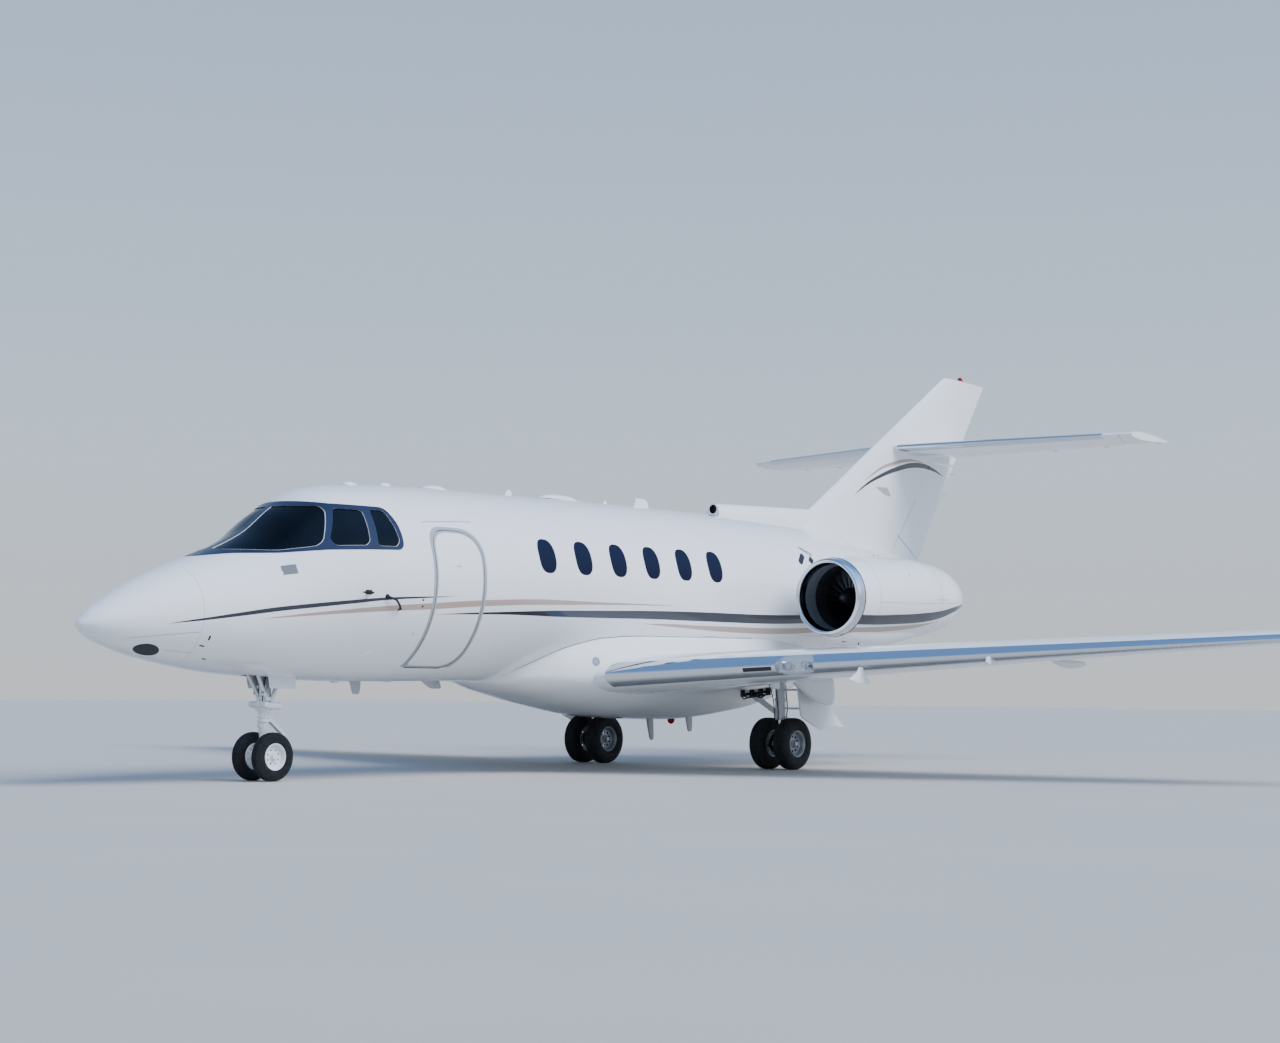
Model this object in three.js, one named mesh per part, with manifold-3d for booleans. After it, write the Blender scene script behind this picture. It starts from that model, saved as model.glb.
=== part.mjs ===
// Business jet with twin rear engines, parked on its gear with the entrance door shut.
// Millimetres. +X is forward, +Y is left, +Z is up, and the ground is z = 0.
// A station is a distance aft of the nose tip, so x = NOSE_X - station.

import * as THREE from 'three';
import { mergeVertices } from 'three/addons/utils/BufferGeometryUtils.js';
import Module from 'manifold-3d';

const wasm = await Module();
wasm.setup();

// Driving dimensions of the airframe
const LENGTH = 15600;
const NOSE_X = LENGTH / 2;
const SEAT_GAP = 0.3;
const MOVING_GAP = 10;
const NOSE_SHARE = 0.98;
const HINGE_PIN = 8;
const PIN_SIDES = 8;
const REACH = { aft: 1600, up: 300, tip: 600 };
const SKIN_WALL = 80;
const FLOOR_TOP = 1230;
const HULL_SIDES = 28;
const OUTSIDE = 1100;

// Hull sections; a hull section is two half widths joined by an ellipse between top and bottom
// columns: station, top, bottom, half width
const HULL = [
  [0, 1406, 1390, 8],
  [40, 1464, 1356, 90],
  [120, 1538, 1296, 168],
  [300, 1656, 1220, 277],
  [600, 1822, 1136, 408],
  [950, 1974, 1068, 530],
  [1400, 2142, 1005, 660],
  [1750, 2313, 979, 740],
  [2100, 2580, 956, 810],
  [2500, 2791, 947, 875],
  [3000, 2862, 940, 935],
  [3600, 2901, 945, 968],
  [4400, 2925, 955, 974],
  [9450, 2998, 1034, 974],
  [10400, 2990, 1120, 940],
  [11300, 2940, 1290, 835],
  [12200, 2850, 1480, 680],
  [13100, 2730, 1675, 495],
  [13900, 2600, 1870, 320],
  [14500, 2490, 2030, 190],
  [14750, 2400, 2140, 95],
];

// Joints between the hull's sections, as stations
const RADOME_END = 950;
const NOSE_END = 1400;
const COCKPIT_END = 3300;
const CABIN_END = 9450;
const TAIL_END = 14750;
const CAVITY_FRONT = 1620;
const CAVITY_REAR = 9350;
const REAR_BAY = {
  front: 9520, back: 13700, wall: 50, hatch_front: 11100, hatch_back: 11600, hatch_half: 200,
  hatch_low: 900, hatch_top: 1700,
};

// Belly fairing sections
// columns: station, half width, bottom, height of the widest line, top of the hidden upper arc
const FAIRING = [
  [4980, 240, 945, 1000, 1100],
  [5060, 450, 915, 1010, 1350],
  [5250, 640, 860, 1040, 1570],
  [5600, 840, 790, 1060, 1680],
  [6100, 950, 690, 1090, 1760],
  [6850, 985, 580, 1100, 1800],
  [7900, 985, 548, 1100, 1820],
  [8850, 970, 625, 1120, 1840],
  [9700, 860, 800, 1180, 1830],
  [10450, 560, 1010, 1260, 1600],
  [10900, 250, 1150, 1300, 1450],
];

// Wing: one panel a side, from the centreline to the tip
const WING = {
  tip_y: 7830, lead_root: 5420, lead_slope: 0.44, trail_root: 8830, trail_slope: 0.135,
  height_root: 968, height_slope: 0.062, twist_root: 1.35, twist_tip: -3.85,
  thick_root: 0.14, thick_tip: 0.11, camber: 0.015, start_y: 420,
};

// Winglet sections, each set off from the wing's tip
// columns: outboard, up, lead station offset, chord, cant in degrees from flat, thickness ratio
const WINGLET = [
  [0, 0, 0, 1020, 0, 0.11],
  [140, 25, 75, 930, 22, 0.1],
  [260, 110, 190, 810, 50, 0.095],
  [335, 250, 330, 690, 70, 0.09],
  [400, 520, 560, 540, 78, 0.085],
  [450, 860, 830, 370, 79, 0.08],
];

const WINGLET_CAMBER = 0.01;

// Moving panels of the wing
// columns: name, inboard y, outboard y, hinge as a share of the chord, how far the lower lip is cut back
const WING_PANELS = [
  ['flap', 2050, 4850, 0.74, 55],
  ['aileron', 4960, 7440, 0.76, 0],
];
const LIP_SHARE = 0.7;

// Fin seen from the side: leading and trailing edges as stations at two heights
const FIN = {
  low_z: 2450, top_z: 5360, lead_low: 9862, lead_top: 14470, trail_low: 13560, trail_top: 15600,
  thick_low: 0.075, thick_top: 0.085,
};
const DORSAL = {
  front: 9060, back: 11200, half_width: 95, back_half: 70, front_top: 3150, back_top: 3235, root_z: 2880,
  mouth: 55, mouth_deep: 60, mouth_lip: 18, mouth_rise: 5, mouth_ahead: 50, sides: 16, first_step: 500,
};
// The rudder's hinge leans aft; its lower edge follows the hull and its upper edge is level
const RUDDER = {
  hinge_low: [12980, 2800], hinge_top: [14140, 4222], front_z: 3020, back_z: 2730, top: 4100,
  low_gap: 18, top_gap: 50, pin_lift: 1.8, pin_drop: 5.4,
};

// Tailplane: one half a side
const TAIL = {
  tip_y: 3050, lead_root: 12970, lead_tip: 14129, trail_root: 14610, trail_tip: 15255,
  height_root: 4215, height_tip: 4300, thick_root: 0.1, thick_tip: 0.09,
};
const ELEVATOR = { inner_y: 520, horn_y: 2700, hinge: 0.68 };

// Engines, each about an axis that rises slightly towards the tail
const ENGINE = { y: 1600, z: 1978, lip_station: 9130, tilt: 1.66, sides: 22 };
const NACELLE_LENGTH = 2560;
const LIP_LENGTH = 130;
// columns: distance behind the lip's front, radius
const NACELLE_OUTER = [
  [130, 462], [420, 490], [900, 503], [1500, 495], [1950, 458], [2300, 404], [2560, 315],
];
const NACELLE_INNER = [[2560, 297], [2200, 335], [1500, 390], [800, 370], [130, 378]];
const LIP_PROFILE = [[130, 378], [50, 387], [0, 425], [45, 452], [130, 462]];
// The nacelle's nose as the pylon is cut to it, ahead of the first row of NACELLE_OUTER
const NACELLE_FRONT = [[0, 0], [0, 425], [60, 456]];
const FAN = { station: 520, hub: 120, depth: 110, blades: 16, spinner: 210, shaft: 45, sides: 16 };
// columns: distance ahead of the fan as a share of the spinner, radius as a share of the hub
const SPINNER_PROFILE = [[1, 0], [0.75, 0.45], [0.35, 0.82], [0, 1]];
// Corners of a blade's section, as shares of its width and its thickness
const BLADE_CORNERS = [[-0.5, -0.5], [0.5, -0.5], [0.5, 0.5], [-0.5, 0.5]];
// columns: distance from the axis, width of the blade, twist in degrees, thickness
const FAN_BLADE = [[100, 105, 28, 12], [352, 130, 58, 6]];
const CORE = {
  front: 720, back: 2000, radius: 300, tail: 200, cone: 300,
  vanes: 6, vane_long: 220, vane_thick: 14, vane_reach: 480, vane_setback: 20,
};
const PYLON = { front: 9950, back: 11620, inner_y: 500, outer_y: 1500, z: 2040, thickness: 0.095 };

// Windows of the cabin
const WINDOW = {
  first: 5027, pitch: 569, count: 6, z: 2245, rise: 0.013, half_wide: 130, half_high: 178, half_sides: 5,
};
const PANE_SINK = 6;
const LINER = 12;
const PANE_PLAY = 0.8;
// Reach of the cabin panes' liner about the windows' centres, and how far inboard it starts
const CABIN_LINER = { ends: 190, below: 230, above: 260, inner_y: 500 };

// Cockpit panes seen from the side: station and height of each corner
const COCKPIT_PANES = [
  [[1390, 2132], [1775, 2129], [2100, 2182], [2175, 2232], [2335, 2530], [2325, 2580], [1390, 2580]],
  [[2240, 2252], [2282, 2194], [2604, 2214], [2652, 2256], [2705, 2561], [2416, 2561]],
  [[2732, 2215], [2948, 2219], [3000, 2276], [2991, 2412], [2955, 2576], [2792, 2568]],
];
const CENTRE_POST = 40;
const PANE_CORNER = 40;
const COCKPIT_LINER = [
  [1640, 2150], [2700, 2170], [2980, 2190], [3040, 2300], [2990, 2600], [1640, 2600],
];
const COCKPIT_LINER_SETBACK = 10;

// Entrance door on the left, hinged along its sill
const DOOR = {
  front: 3400, back: 4060, sill: 1075, head: 2425, hinge_y: 481, gap: 7, sill_gap: 10,
  inner_y: 420, sill_step: 15, floor_y: 535, relief: 14,
};
// Reach of each rounded corner of the door: lower front, lower back, upper back, upper front
const DOOR_CORNERS = [60, 180, 300, 220];
const DOOR_ARC_STEPS = 4;
const RELIEF_SIDES = 20;
const DOOR_PIN = {
  front: 3500, back: 3860, radius: 8, bore: 8.7, sides: 12,
  arm_long: 60, arm_half: 5, arm_foot: 1071, arm_top: 1092,
};

// Landing gear
const NOSE_GEAR = {
  station: 2100, twin: 140, tyre_r: 228.5, tyre_wide: 108, rim_r: 127, strut_r: 55, piston_r: 38,
  strut_foot: 620, boss_half: 60, boss_r: 48, axle_r: 20,
};
const MAIN_GEAR = {
  station: 8510, y: 1395, twin: 165, tyre_r: 292, tyre_wide: 178, rim_r: 152, strut_r: 68, piston_r: 48,
  strut_foot: 560, boss_half: 68, boss_r: 72, axle_r: 34,
};
const AXLE_PLAY = 1;
const TYRE_SIDES = 22;
const HUB_SIDES = 12;
// columns: across as a share of the width, out as a share from the rim to the tread
const TYRE_PROFILE = [
  [-0.4, 0], [-0.5, 0.5], [-0.38, 0.92], [-0.18, 1], [0.18, 1], [0.38, 0.92], [0.5, 0.5], [0.4, 0],
];
// Outer hub of a twin pair, from its cap to the axle between the hubs
// columns: across as a share of the tyre's width, radius as a share of the rim, or null for the axle
const HUB_PROFILE = [
  [-0.34, 0], [-0.34, 0.32], [-0.12, 0.4], [-0.12, 0.84], [-0.42, 0.9], [-0.42, 1], [0.42, 1], [0.42, 0.88],
  [0.08, 0.8], [0.08, null],
];
const NOSE_BAY = { front: 1760, back: 2380, half: 150, roof: 1180 };
const NOSE_DOOR = {
  front: 1960, back: 2400, top: 1100, foot: 835, thick: 16, off_bay: 4, front_rake: 40, back_rake: 20,
};
// Flat pads for the jacks: station, y and height of the flat foot
const PAD_SIDES = 16;
const WING_JACK = { station: 7350, y: 2150, foot: 905, radius: 45 };
const NOSE_JACK = { station: 2980, y: 0, foot: 925, radius: 45 };
const TOW_LUG = { front: 1990, half: 32, low: 190, high: 268 };
const PAD_SUNK = 120;
const NOSE_TRUNNION = { z: 1110, radius: 34 };
const NOSE_BRACE = { foot_z: 760, head_setback: 70, head_z: 1300, radius: 26 };
const NOSE_COLLAR = { low: 60, high: 8, proud: 8 };
const MAIN_BRACE = { foot_z: 620, head_y: 850, head_z: 900, radius: 34 };
const BRACE_SIDES = 12;
const MAIN_LEG_TOP = 1100;
const PISTON_TOP = 700;
const BORE_BEYOND = 50;
// Torque link: how far each arm's root and knee stand about the link's own points
const LINK = { root: 30, knee: 25, half: 24, arm: 45, inside: 55 };
const NOSE_LINK = { below_strut: 12, above_axle: 20, reach: 270 };
const MAIN_LINK = { above_strut: 60, above_axle: 20, reach: 250 };
const MAIN_DOOR = { y: 1780, thick: 28 };
// columns: station, height
const MAIN_DOOR_OUTLINE = [
  [8240, 1050], [8330, 600], [8540, 517], [8720, 448], [8920, 492], [9190, 479], [8900, 708], [8830, 1050],
];

// Cabin and cockpit fittings
const FLOOR_PANEL = { thick: 25, front: 2150, back: 9300, half: 900, door_beyond: 20, door_above: 100 };
const PANEL_BOARD = { front: 1760, back: 2060, low: 1500, high: 1990, half: 900 };
const COCKPIT_SEAT = { station: 2880, y: 330, half: 225 };
// Box between the two cockpit seats
const CONSOLE = { ahead: 450, behind: 60, half: 120, high: 180 };
const CABIN_SEAT = { y: 470, half: 230 };
// Rail that joins the seats of one side
const SEAT_RAIL = { ahead: 60, half: 40, high: 40 };
// columns: station of the seat back's foot, 1 facing forward or -1 facing aft
const CABIN_SEATS = [[4750, -1], [6650, 1], [7750, 1]];
// Side profile of a seat, forward of its back's foot and up from the floor; columns: forward, up
const SEAT_PROFILE = [
  [60, 0], [430, 0], [430, 250], [520, 270], [535, 400], [500, 440], [60, 430], [-90, 1010], [-130, 1130],
  [-210, 1130], [-200, 1000], [-60, 380], [-10, 250],
];

// Stations and heights where lofts have a section, and how far cutting tools reach
const WING_SPANS = [2600, 5200];
const FIN_HEIGHTS = [3400, 4300];
const FAIRING_SQUARENESS = 0.82;
const TOOL = { half_wide: 1200, beyond: 100, skin_front: 1200, door_beyond: 50, relief_beyond: 3 };
// Lengths of hull that cut what lies against them; columns: front, back
const HULL_AT = {
  wing: [5000, 9400], fairing: [4800, 11200], fin: [9000, TAIL_END], pylon: [9000, 13000], nose: [1400, 3300],
};
const NOSE_BAY_TOOL = { front: 1500, back: 2500, half: 300, low: 800, top: 1500 };
const ELEVATOR_PIN_INSET = 90;
const HINGE_SIDES = 18;

// Finishes: colour, roughness, metalness
const FINISH = {
  white_paint: ['#f2f3f3', 0.18, 0],
  polished: ['#dcdfe2', 0.12, 1],
  dark_metal: ['#3c3e42', 0.45, 1],
  grey_metal: ['#8d9196', 0.4, 1],
  tyre: ['#17181a', 0.85, 0],
  glass: ['#10182c', 0.05, 0],
  leather: ['#b9a78c', 0.6, 0],
  carpet: ['#6b6358', 0.95, 0],
  dark_plastic: ['#222428', 0.6, 0],
  titanium: ['#9b9690', 0.35, 1],
};

const jet = new THREE.Group();

const xAt = (station) => NOSE_X - station;
const point = (station, y, z) => new THREE.Vector3(xAt(station), y, z);
const mix = (a, b, share) => a + (b - a) * share;

// Closed meshes as solids that can be joined and cut, and back again

function toSolid(geometry) {
  const bare = geometry.clone();
  bare.deleteAttribute('normal');
  bare.deleteAttribute('uv');
  const merged = mergeVertices(bare, 1e-3);
  return new wasm.Manifold(new wasm.Mesh({
    numProp: 3,
    vertProperties: new Float32Array(merged.attributes.position.array),
    triVerts: new Uint32Array(merged.index.array),
  }));
}

function toGeometry(solid) {
  const mesh = solid.getMesh();
  const geometry = new THREE.BufferGeometry();
  geometry.setAttribute('position', new THREE.BufferAttribute(new Float32Array(mesh.vertProperties), 3));
  geometry.setIndex(new THREE.BufferAttribute(new Uint32Array(mesh.triVerts), 1));
  geometry.computeVertexNormals();
  return geometry;
}

const joined = (...parts) => parts.reduce((whole, part) => whole.add(part));
const cut = (whole, ...tools) => tools.reduce((left, tool) => left.subtract(tool), whole);
const shared = (...parts) => parts.reduce((whole, part) => whole.intersect(part));

// A closed skin through rings of points, with a flat cap on each end; left and right are split alike
function loftGeometry(rings, splitAlike = false) {
  const around = rings[0].length;
  const positions = rings.flat().flatMap((p) => [p.x, p.y, p.z]);
  const triangles = [];
  for (let ring = 0; ring + 1 < rings.length; ring += 1) {
    for (let i = 0; i < around; i += 1) {
      const a = ring * around + i;
      const b = ring * around + ((i + 1) % around);
      const onLeft = rings[ring][i].y + rings[ring][(i + 1) % around].y > 0;
      if (onLeft || splitAlike) triangles.push(a, b, a + around, b, b + around, a + around);
      else triangles.push(a, b, b + around, a, b + around, a + around);
    }
  }
  capTriangles(rings[0]).forEach(([a, b, c]) => triangles.push(c, b, a));
  const last = (rings.length - 1) * around;
  capTriangles(rings[rings.length - 1]).forEach(([a, b, c]) => triangles.push(last + a, last + b, last + c));
  const geometry = new THREE.BufferGeometry();
  geometry.setAttribute('position', new THREE.Float32BufferAttribute(positions, 3));
  geometry.setIndex(volumeOf(positions, triangles) < 0 ? flipped(triangles) : triangles);
  return geometry;
}

// Flat triangles across a ring, in the ring's own turning sense
function capTriangles(ring) {
  const normal = new THREE.Vector3();
  const centre = ring[0];
  for (let i = 1; i + 1 < ring.length; i += 1) {
    normal.add(ring[i].clone().sub(centre).cross(ring[i + 1].clone().sub(centre)));
  }
  const turn = new THREE.Quaternion().setFromUnitVectors(normal.normalize(), new THREE.Vector3(0, 0, 1));
  const level = ring.map((p) => p.clone().sub(centre).applyQuaternion(turn));
  return THREE.ShapeUtils.triangulateShape(level.map((p) => new THREE.Vector2(p.x, p.y)), []);
}

function flipped(triangles) {
  const turned = [];
  for (let i = 0; i < triangles.length; i += 3) {
    turned.push(triangles[i], triangles[i + 2], triangles[i + 1]);
  }
  return turned;
}

function volumeOf(positions, triangles) {
  const corner = (i) => new THREE.Vector3(positions[3 * i], positions[3 * i + 1], positions[3 * i + 2]);
  let volume = 0;
  for (let i = 0; i < triangles.length; i += 3) {
    volume += corner(triangles[i]).dot(corner(triangles[i + 1]).cross(corner(triangles[i + 2])));
  }
  return volume;
}

const loft = (rings) => toSolid(loftGeometry(rings));

// The same solid on the other side of the aircraft
function mirrored(geometry) {
  const copy = geometry.clone().applyMatrix4(new THREE.Matrix4().makeScale(1, -1, 1));
  const index = copy.index ? Array.from(copy.index.array) : [...Array(copy.attributes.position.count).keys()];
  copy.setIndex(flipped(index));
  copy.computeVertexNormals();
  return copy;
}

function box(low, high) {
  const size = high.map((value, i) => value - low[i]);
  const geometry = new THREE.BoxGeometry(...size);
  geometry.translate(...low.map((value, i) => value + size[i] / 2));
  return toSolid(geometry);
}

// A box between two stations, so that its sides are named as on the aircraft
const bay = (front, back, y0, y1, z0, z1) => box([xAt(back), y0, z0], [xAt(front), y1, z1]);

// A round bar, or a cone, from one point to another
function rod(from, to, radius, endRadius = radius, sides = 14) {
  const along = to.clone().sub(from);
  const geometry = new THREE.CylinderGeometry(endRadius, radius, along.length(), sides);
  const upright = new THREE.Vector3(0, 1, 0);
  geometry.applyQuaternion(new THREE.Quaternion().setFromUnitVectors(upright, along.clone().normalize()));
  geometry.translate(...from.clone().add(to).multiplyScalar(0.5).toArray());
  return toSolid(geometry);
}

// A plate whose outline is drawn from the side, as station and height, between two values of y;
// the corners are rounded by one radius or by a list of them
function sidePlate(outline, y0, y1, radii = 0, curveSegments = 2) {
  const corners = outline.map(([station, z]) => new THREE.Vector2(xAt(station), z));
  const shape = radii ? roundedShape(corners, radii) : new THREE.Shape(corners);
  const geometry = new THREE.ExtrudeGeometry(shape, { depth: y1 - y0, bevelEnabled: false, curveSegments });
  geometry.rotateX(Math.PI / 2);
  geometry.translate(0, y1, 0);
  return toSolid(geometry);
}

function roundedShape(corners, radii) {
  const shape = new THREE.Shape();
  corners.forEach((here, i) => {
    const before = corners[(i + corners.length - 1) % corners.length];
    const after = corners[(i + 1) % corners.length];
    const radius = Array.isArray(radii) ? radii[i] : radii;
    const reach = Math.min(radius, 0.45 * here.distanceTo(before), 0.45 * here.distanceTo(after));
    const enter = here.clone().add(before.clone().sub(here).setLength(reach));
    const leave = here.clone().add(after.clone().sub(here).setLength(reach));
    if (i === 0) shape.moveTo(enter.x, enter.y);
    else shape.lineTo(enter.x, enter.y);
    shape.quadraticCurveTo(here.x, here.y, leave.x, leave.y);
  });
  shape.closePath();
  return shape;
}

function addMesh(name, solidOrGeometry, finish, parent = jet) {
  const geometry = solidOrGeometry.isBufferGeometry ? solidOrGeometry : toGeometry(solidOrGeometry);
  const [color, roughness, metalness] = FINISH[finish];
  const mesh = new THREE.Mesh(geometry, new THREE.MeshStandardMaterial({ color, roughness, metalness }));
  mesh.name = name;
  parent.add(mesh);
  return mesh;
}

// One solid for the left side and its mirror image for the right
function addPair(name, solid, finish) {
  const geometry = toGeometry(solid);
  addMesh(`${name}_left`, geometry, finish);
  addMesh(`${name}_right`, mirrored(geometry), finish);
}

// Hull: an ellipse at each station, with the whole skin moved outwards by an offset

function hullAt(station) {
  const after = Math.max(1, HULL.findIndex((row) => row[0] >= station));
  const [a, b] = [HULL[after - 1], HULL[after]];
  const share = (station - a[0]) / (b[0] - a[0]);
  return b.map((value, column) => mix(a[column], value, share));
}

function hullRing(station, offset) {
  const [, top, bottom, half] = hullAt(station);
  const middle = (top + bottom) / 2;
  const high = (top - bottom) / 2 + offset;
  return Array.from({ length: HULL_SIDES }, (_, i) => {
    const angle = (2 * Math.PI * (i + 0.5)) / HULL_SIDES;
    return point(station, (half + offset) * Math.cos(angle), middle + high * Math.sin(angle));
  });
}

function hullLoft(front, back, offset = 0) {
  const inner = HULL.map((row) => row[0]).filter((station) => station > front && station < back);
  return loft([front, ...inner, back].map((station) => hullRing(station, offset)));
}

// Windows as ellipses that run right through the cabin, or only through one side

function windowBars(y0, y1, shrink) {
  const shape = new THREE.Shape();
  shape.absellipse(0, 0, WINDOW.half_wide - shrink, WINDOW.half_high - shrink, 0, 2 * Math.PI, false, 0);
  const bars = [];
  for (let i = 0; i < WINDOW.count; i += 1) {
    const station = WINDOW.first + WINDOW.pitch * i;
    const settings = { depth: y1 - y0, bevelEnabled: false, curveSegments: WINDOW.half_sides };
    const geometry = new THREE.ExtrudeGeometry(shape, settings);
    geometry.rotateX(Math.PI / 2);
    geometry.translate(xAt(station), y1, WINDOW.z + WINDOW.rise * WINDOW.pitch * i);
    bars.push(toSolid(geometry));
  }
  return joined(...bars);
}

const cockpitBars = (shrink) => joined(...COCKPIT_PANES.map((outline) => sidePlate(
  insetOutline(outline, shrink), CENTRE_POST + shrink, OUTSIDE, PANE_CORNER,
)));

// The outline with every edge moved inwards by a distance
function insetOutline(outline, distance) {
  const corners = outline.map(([s, z]) => new THREE.Vector2(s, z));
  const quarter = Math.sign(THREE.ShapeUtils.area(corners)) * Math.PI / 2;
  const origin = new THREE.Vector2();
  const inward = (from, to) => to.clone().sub(from).normalize().rotateAround(origin, quarter);
  return corners.map((here, i) => {
    const before = corners[(i + corners.length - 1) % corners.length];
    const after = corners[(i + 1) % corners.length];
    const [first, second] = [inward(before, here), inward(here, after)];
    const middle = first.clone().add(second).normalize();
    return here.clone().addScaledVector(middle, distance / middle.dot(first)).toArray();
  });
}

const mirroredSolid = (solid) => toSolid(mirrored(toGeometry(solid)));

// Outline of the doorway, or of the door inside it with a gap all round and a wider one at the sill
const doorOutline = (gap, sillGap) => [
  [DOOR.front + gap, DOOR.sill + sillGap], [DOOR.back - gap, DOOR.sill + sillGap],
  [DOOR.back - gap, DOOR.head - gap], [DOOR.front + gap, DOOR.head - gap],
];

function addHull() {
  const floorBlock = bay(0, LENGTH, -TOOL.half_wide, TOOL.half_wide, 0, FLOOR_TOP);
  const cavity = cut(hullLoft(CAVITY_FRONT, CAVITY_REAR, -SKIN_WALL), floorBlock);
  const glazing = cockpitBars(0);
  const bayHole = bay(
    NOSE_BAY.front, NOSE_BAY.back, -NOSE_BAY.half, NOSE_BAY.half, NOSE_BAY_TOOL.low, NOSE_BAY.roof,
  );
  const doorHole = sidePlate(
    doorOutline(0, 0), DOOR.inner_y - DOOR.sill_step, OUTSIDE, DOOR_CORNERS, DOOR_ARC_STEPS,
  );

  addMesh('radome', hullLoft(0, RADOME_END - SEAT_GAP), 'white_paint');
  addMesh('nose_section', hullLoft(RADOME_END, NOSE_END - SEAT_GAP), 'white_paint');
  const cockpit = joined(hullLoft(NOSE_END, COCKPIT_END - SEAT_GAP), jackPad(NOSE_JACK));
  addMesh('cockpit_section', cut(cockpit, cavity, glazing, mirroredSolid(glazing), bayHole), 'white_paint');
  const cabin = hullLoft(COCKPIT_END, CABIN_END - SEAT_GAP);
  const holes = [windowBars(-OUTSIDE, OUTSIDE, 0), doorHole, doorPin(DOOR_PIN.bore, DOOR.gap)];
  addMesh('cabin_section', cut(cabin, cavity, ...holes), 'white_paint');

  const rearCavity = hullLoft(REAR_BAY.front, REAR_BAY.back, -REAR_BAY.wall);
  const hatch = bay(
    REAR_BAY.hatch_front, REAR_BAY.hatch_back, -REAR_BAY.hatch_half, REAR_BAY.hatch_half,
    REAR_BAY.hatch_low, REAR_BAY.hatch_top,
  );
  addMesh('rear_section', cut(hullLoft(CABIN_END, TAIL_END), rearCavity, hatch), 'white_paint');

  const [front, back] = [DOOR.front - TOOL.door_beyond, DOOR.back + TOOL.door_beyond];
  const door = shared(
    sidePlate(doorOutline(DOOR.gap, DOOR.sill_gap), DOOR.inner_y, OUTSIDE, DOOR_CORNERS, DOOR_ARC_STEPS),
    cut(hullLoft(front, back), hullLoft(front - 10, back + 10, -SKIN_WALL)),
  );
  const reliefs = [doorRelief(DOOR.front, 1, DOOR_CORNERS[0]), doorRelief(DOOR.back, -1, DOOR_CORNERS[1])];
  const arms = [DOOR_PIN.front, DOOR_PIN.back - DOOR_PIN.arm_long].map((start) => bay(
    start, start + DOOR_PIN.arm_long, DOOR.hinge_y - DOOR_PIN.arm_half, DOOR.hinge_y + DOOR_PIN.arm_half,
    DOOR_PIN.arm_foot, DOOR_PIN.arm_top,
  ));
  const pin = doorPin(DOOR_PIN.radius, 0);
  addMesh('entrance_door', joined(cut(door, ...reliefs), pin, ...arms), 'white_paint');
}

// Pin of the door's hinge, along the lip of the sill
const doorPin = (radius, play) => rod(
  point(DOOR_PIN.front - play, DOOR.hinge_y, DOOR.sill), point(DOOR_PIN.back + play, DOOR.hinge_y, DOOR.sill),
  radius, radius, DOOR_PIN.sides,
);

// Half width of the hull at a station and height
function hullHalfWidth(station, z) {
  const [, top, bottom, half] = hullAt(station);
  const share = (z - (top + bottom) / 2) / ((top - bottom) / 2);
  return half * Math.sqrt(1 - share * share);
}

// A turned solid about the door's hinge, which takes off what would swing into a lower corner of
// the doorway: at each distance along the corner it reaches to the skin at the corner's height there
function doorRelief(station, inwards, corner) {
  const steps = Array.from({ length: DOOR_ARC_STEPS + 1 }, (_, i) => i / DOOR_ARC_STEPS);
  const flatShare = Math.cos(Math.PI / RELIEF_SIDES);
  const profile = steps.map((share) => {
    const rise = corner * (1 - share) ** 2;
    const out = hullHalfWidth(station, DOOR.sill + rise) - DOOR.hinge_y;
    return [(corner * share ** 2 + DOOR.gap) * inwards, Math.hypot(out, rise) / flatShare + DOOR.relief];
  });
  const outside = [-DOOR.gap * TOOL.relief_beyond * inwards, profile[0][1]];
  const axis = [[(corner + DOOR.gap) * inwards, 0], [outside[0], 0]];
  const ring = [outside, ...profile, ...axis, outside];
  const relief = turned(ring, RELIEF_SIDES).rotateZ(Math.PI / 2);
  relief.translate(xAt(station), DOOR.hinge_y, DOOR.sill);
  return toSolid(relief);
}

// Panes sit in their holes and are joined by a liner on the inside of the wall
function addGlazing() {
  const within = hullLoft(TOOL.skin_front - TOOL.beyond, CAVITY_REAR + TOOL.beyond, -SKIN_WALL - LINER);
  const linerSkin = cut(hullLoft(CAVITY_FRONT, CAVITY_REAR, -SKIN_WALL - SEAT_GAP), within);
  const plugSkin = cut(hullLoft(TOOL.skin_front, CAVITY_REAR, -PANE_SINK), within);
  const lastWindow = WINDOW.first + WINDOW.pitch * (WINDOW.count - 1);
  const cabinLiner = bay(
    WINDOW.first - CABIN_LINER.ends, lastWindow + CABIN_LINER.ends, CABIN_LINER.inner_y, OUTSIDE,
    WINDOW.z - CABIN_LINER.below, WINDOW.z + CABIN_LINER.above,
  );
  const plugs = shared(windowBars(CABIN_LINER.inner_y, OUTSIDE, PANE_PLAY), plugSkin);
  addPair('cabin_windows', joined(plugs, shared(cabinLiner, linerSkin)), 'glass');

  const cockpitLiner = sidePlate(COCKPIT_LINER, CENTRE_POST + COCKPIT_LINER_SETBACK, OUTSIDE);
  const panes = shared(cockpitBars(PANE_PLAY), plugSkin);
  addPair('cockpit_glass', joined(panes, shared(cockpitLiner, linerSkin)), 'glass');
}

// Belly fairing: a tub below the hull, widest at the wing

function fairingRing([station, half, bottom, middle, top], offset) {
  return Array.from({ length: HULL_SIDES }, (_, i) => {
    const angle = (2 * Math.PI * (i + 0.5)) / HULL_SIDES;
    const lower = Math.sin(angle) < 0;
    const squareness = lower ? FAIRING_SQUARENESS : 1;
    const cosine = Math.sign(Math.cos(angle)) * Math.abs(Math.cos(angle)) ** squareness;
    const sine = Math.sign(Math.sin(angle)) * Math.abs(Math.sin(angle)) ** squareness;
    const high = (lower ? middle - bottom : top - middle) + offset;
    return point(station, (half + offset) * cosine, middle + high * sine);
  });
}

const fairingLoft = (offset = 0) => loft(FAIRING.map((row) => fairingRing(row, offset)));

// Aerofoil sections

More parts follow.
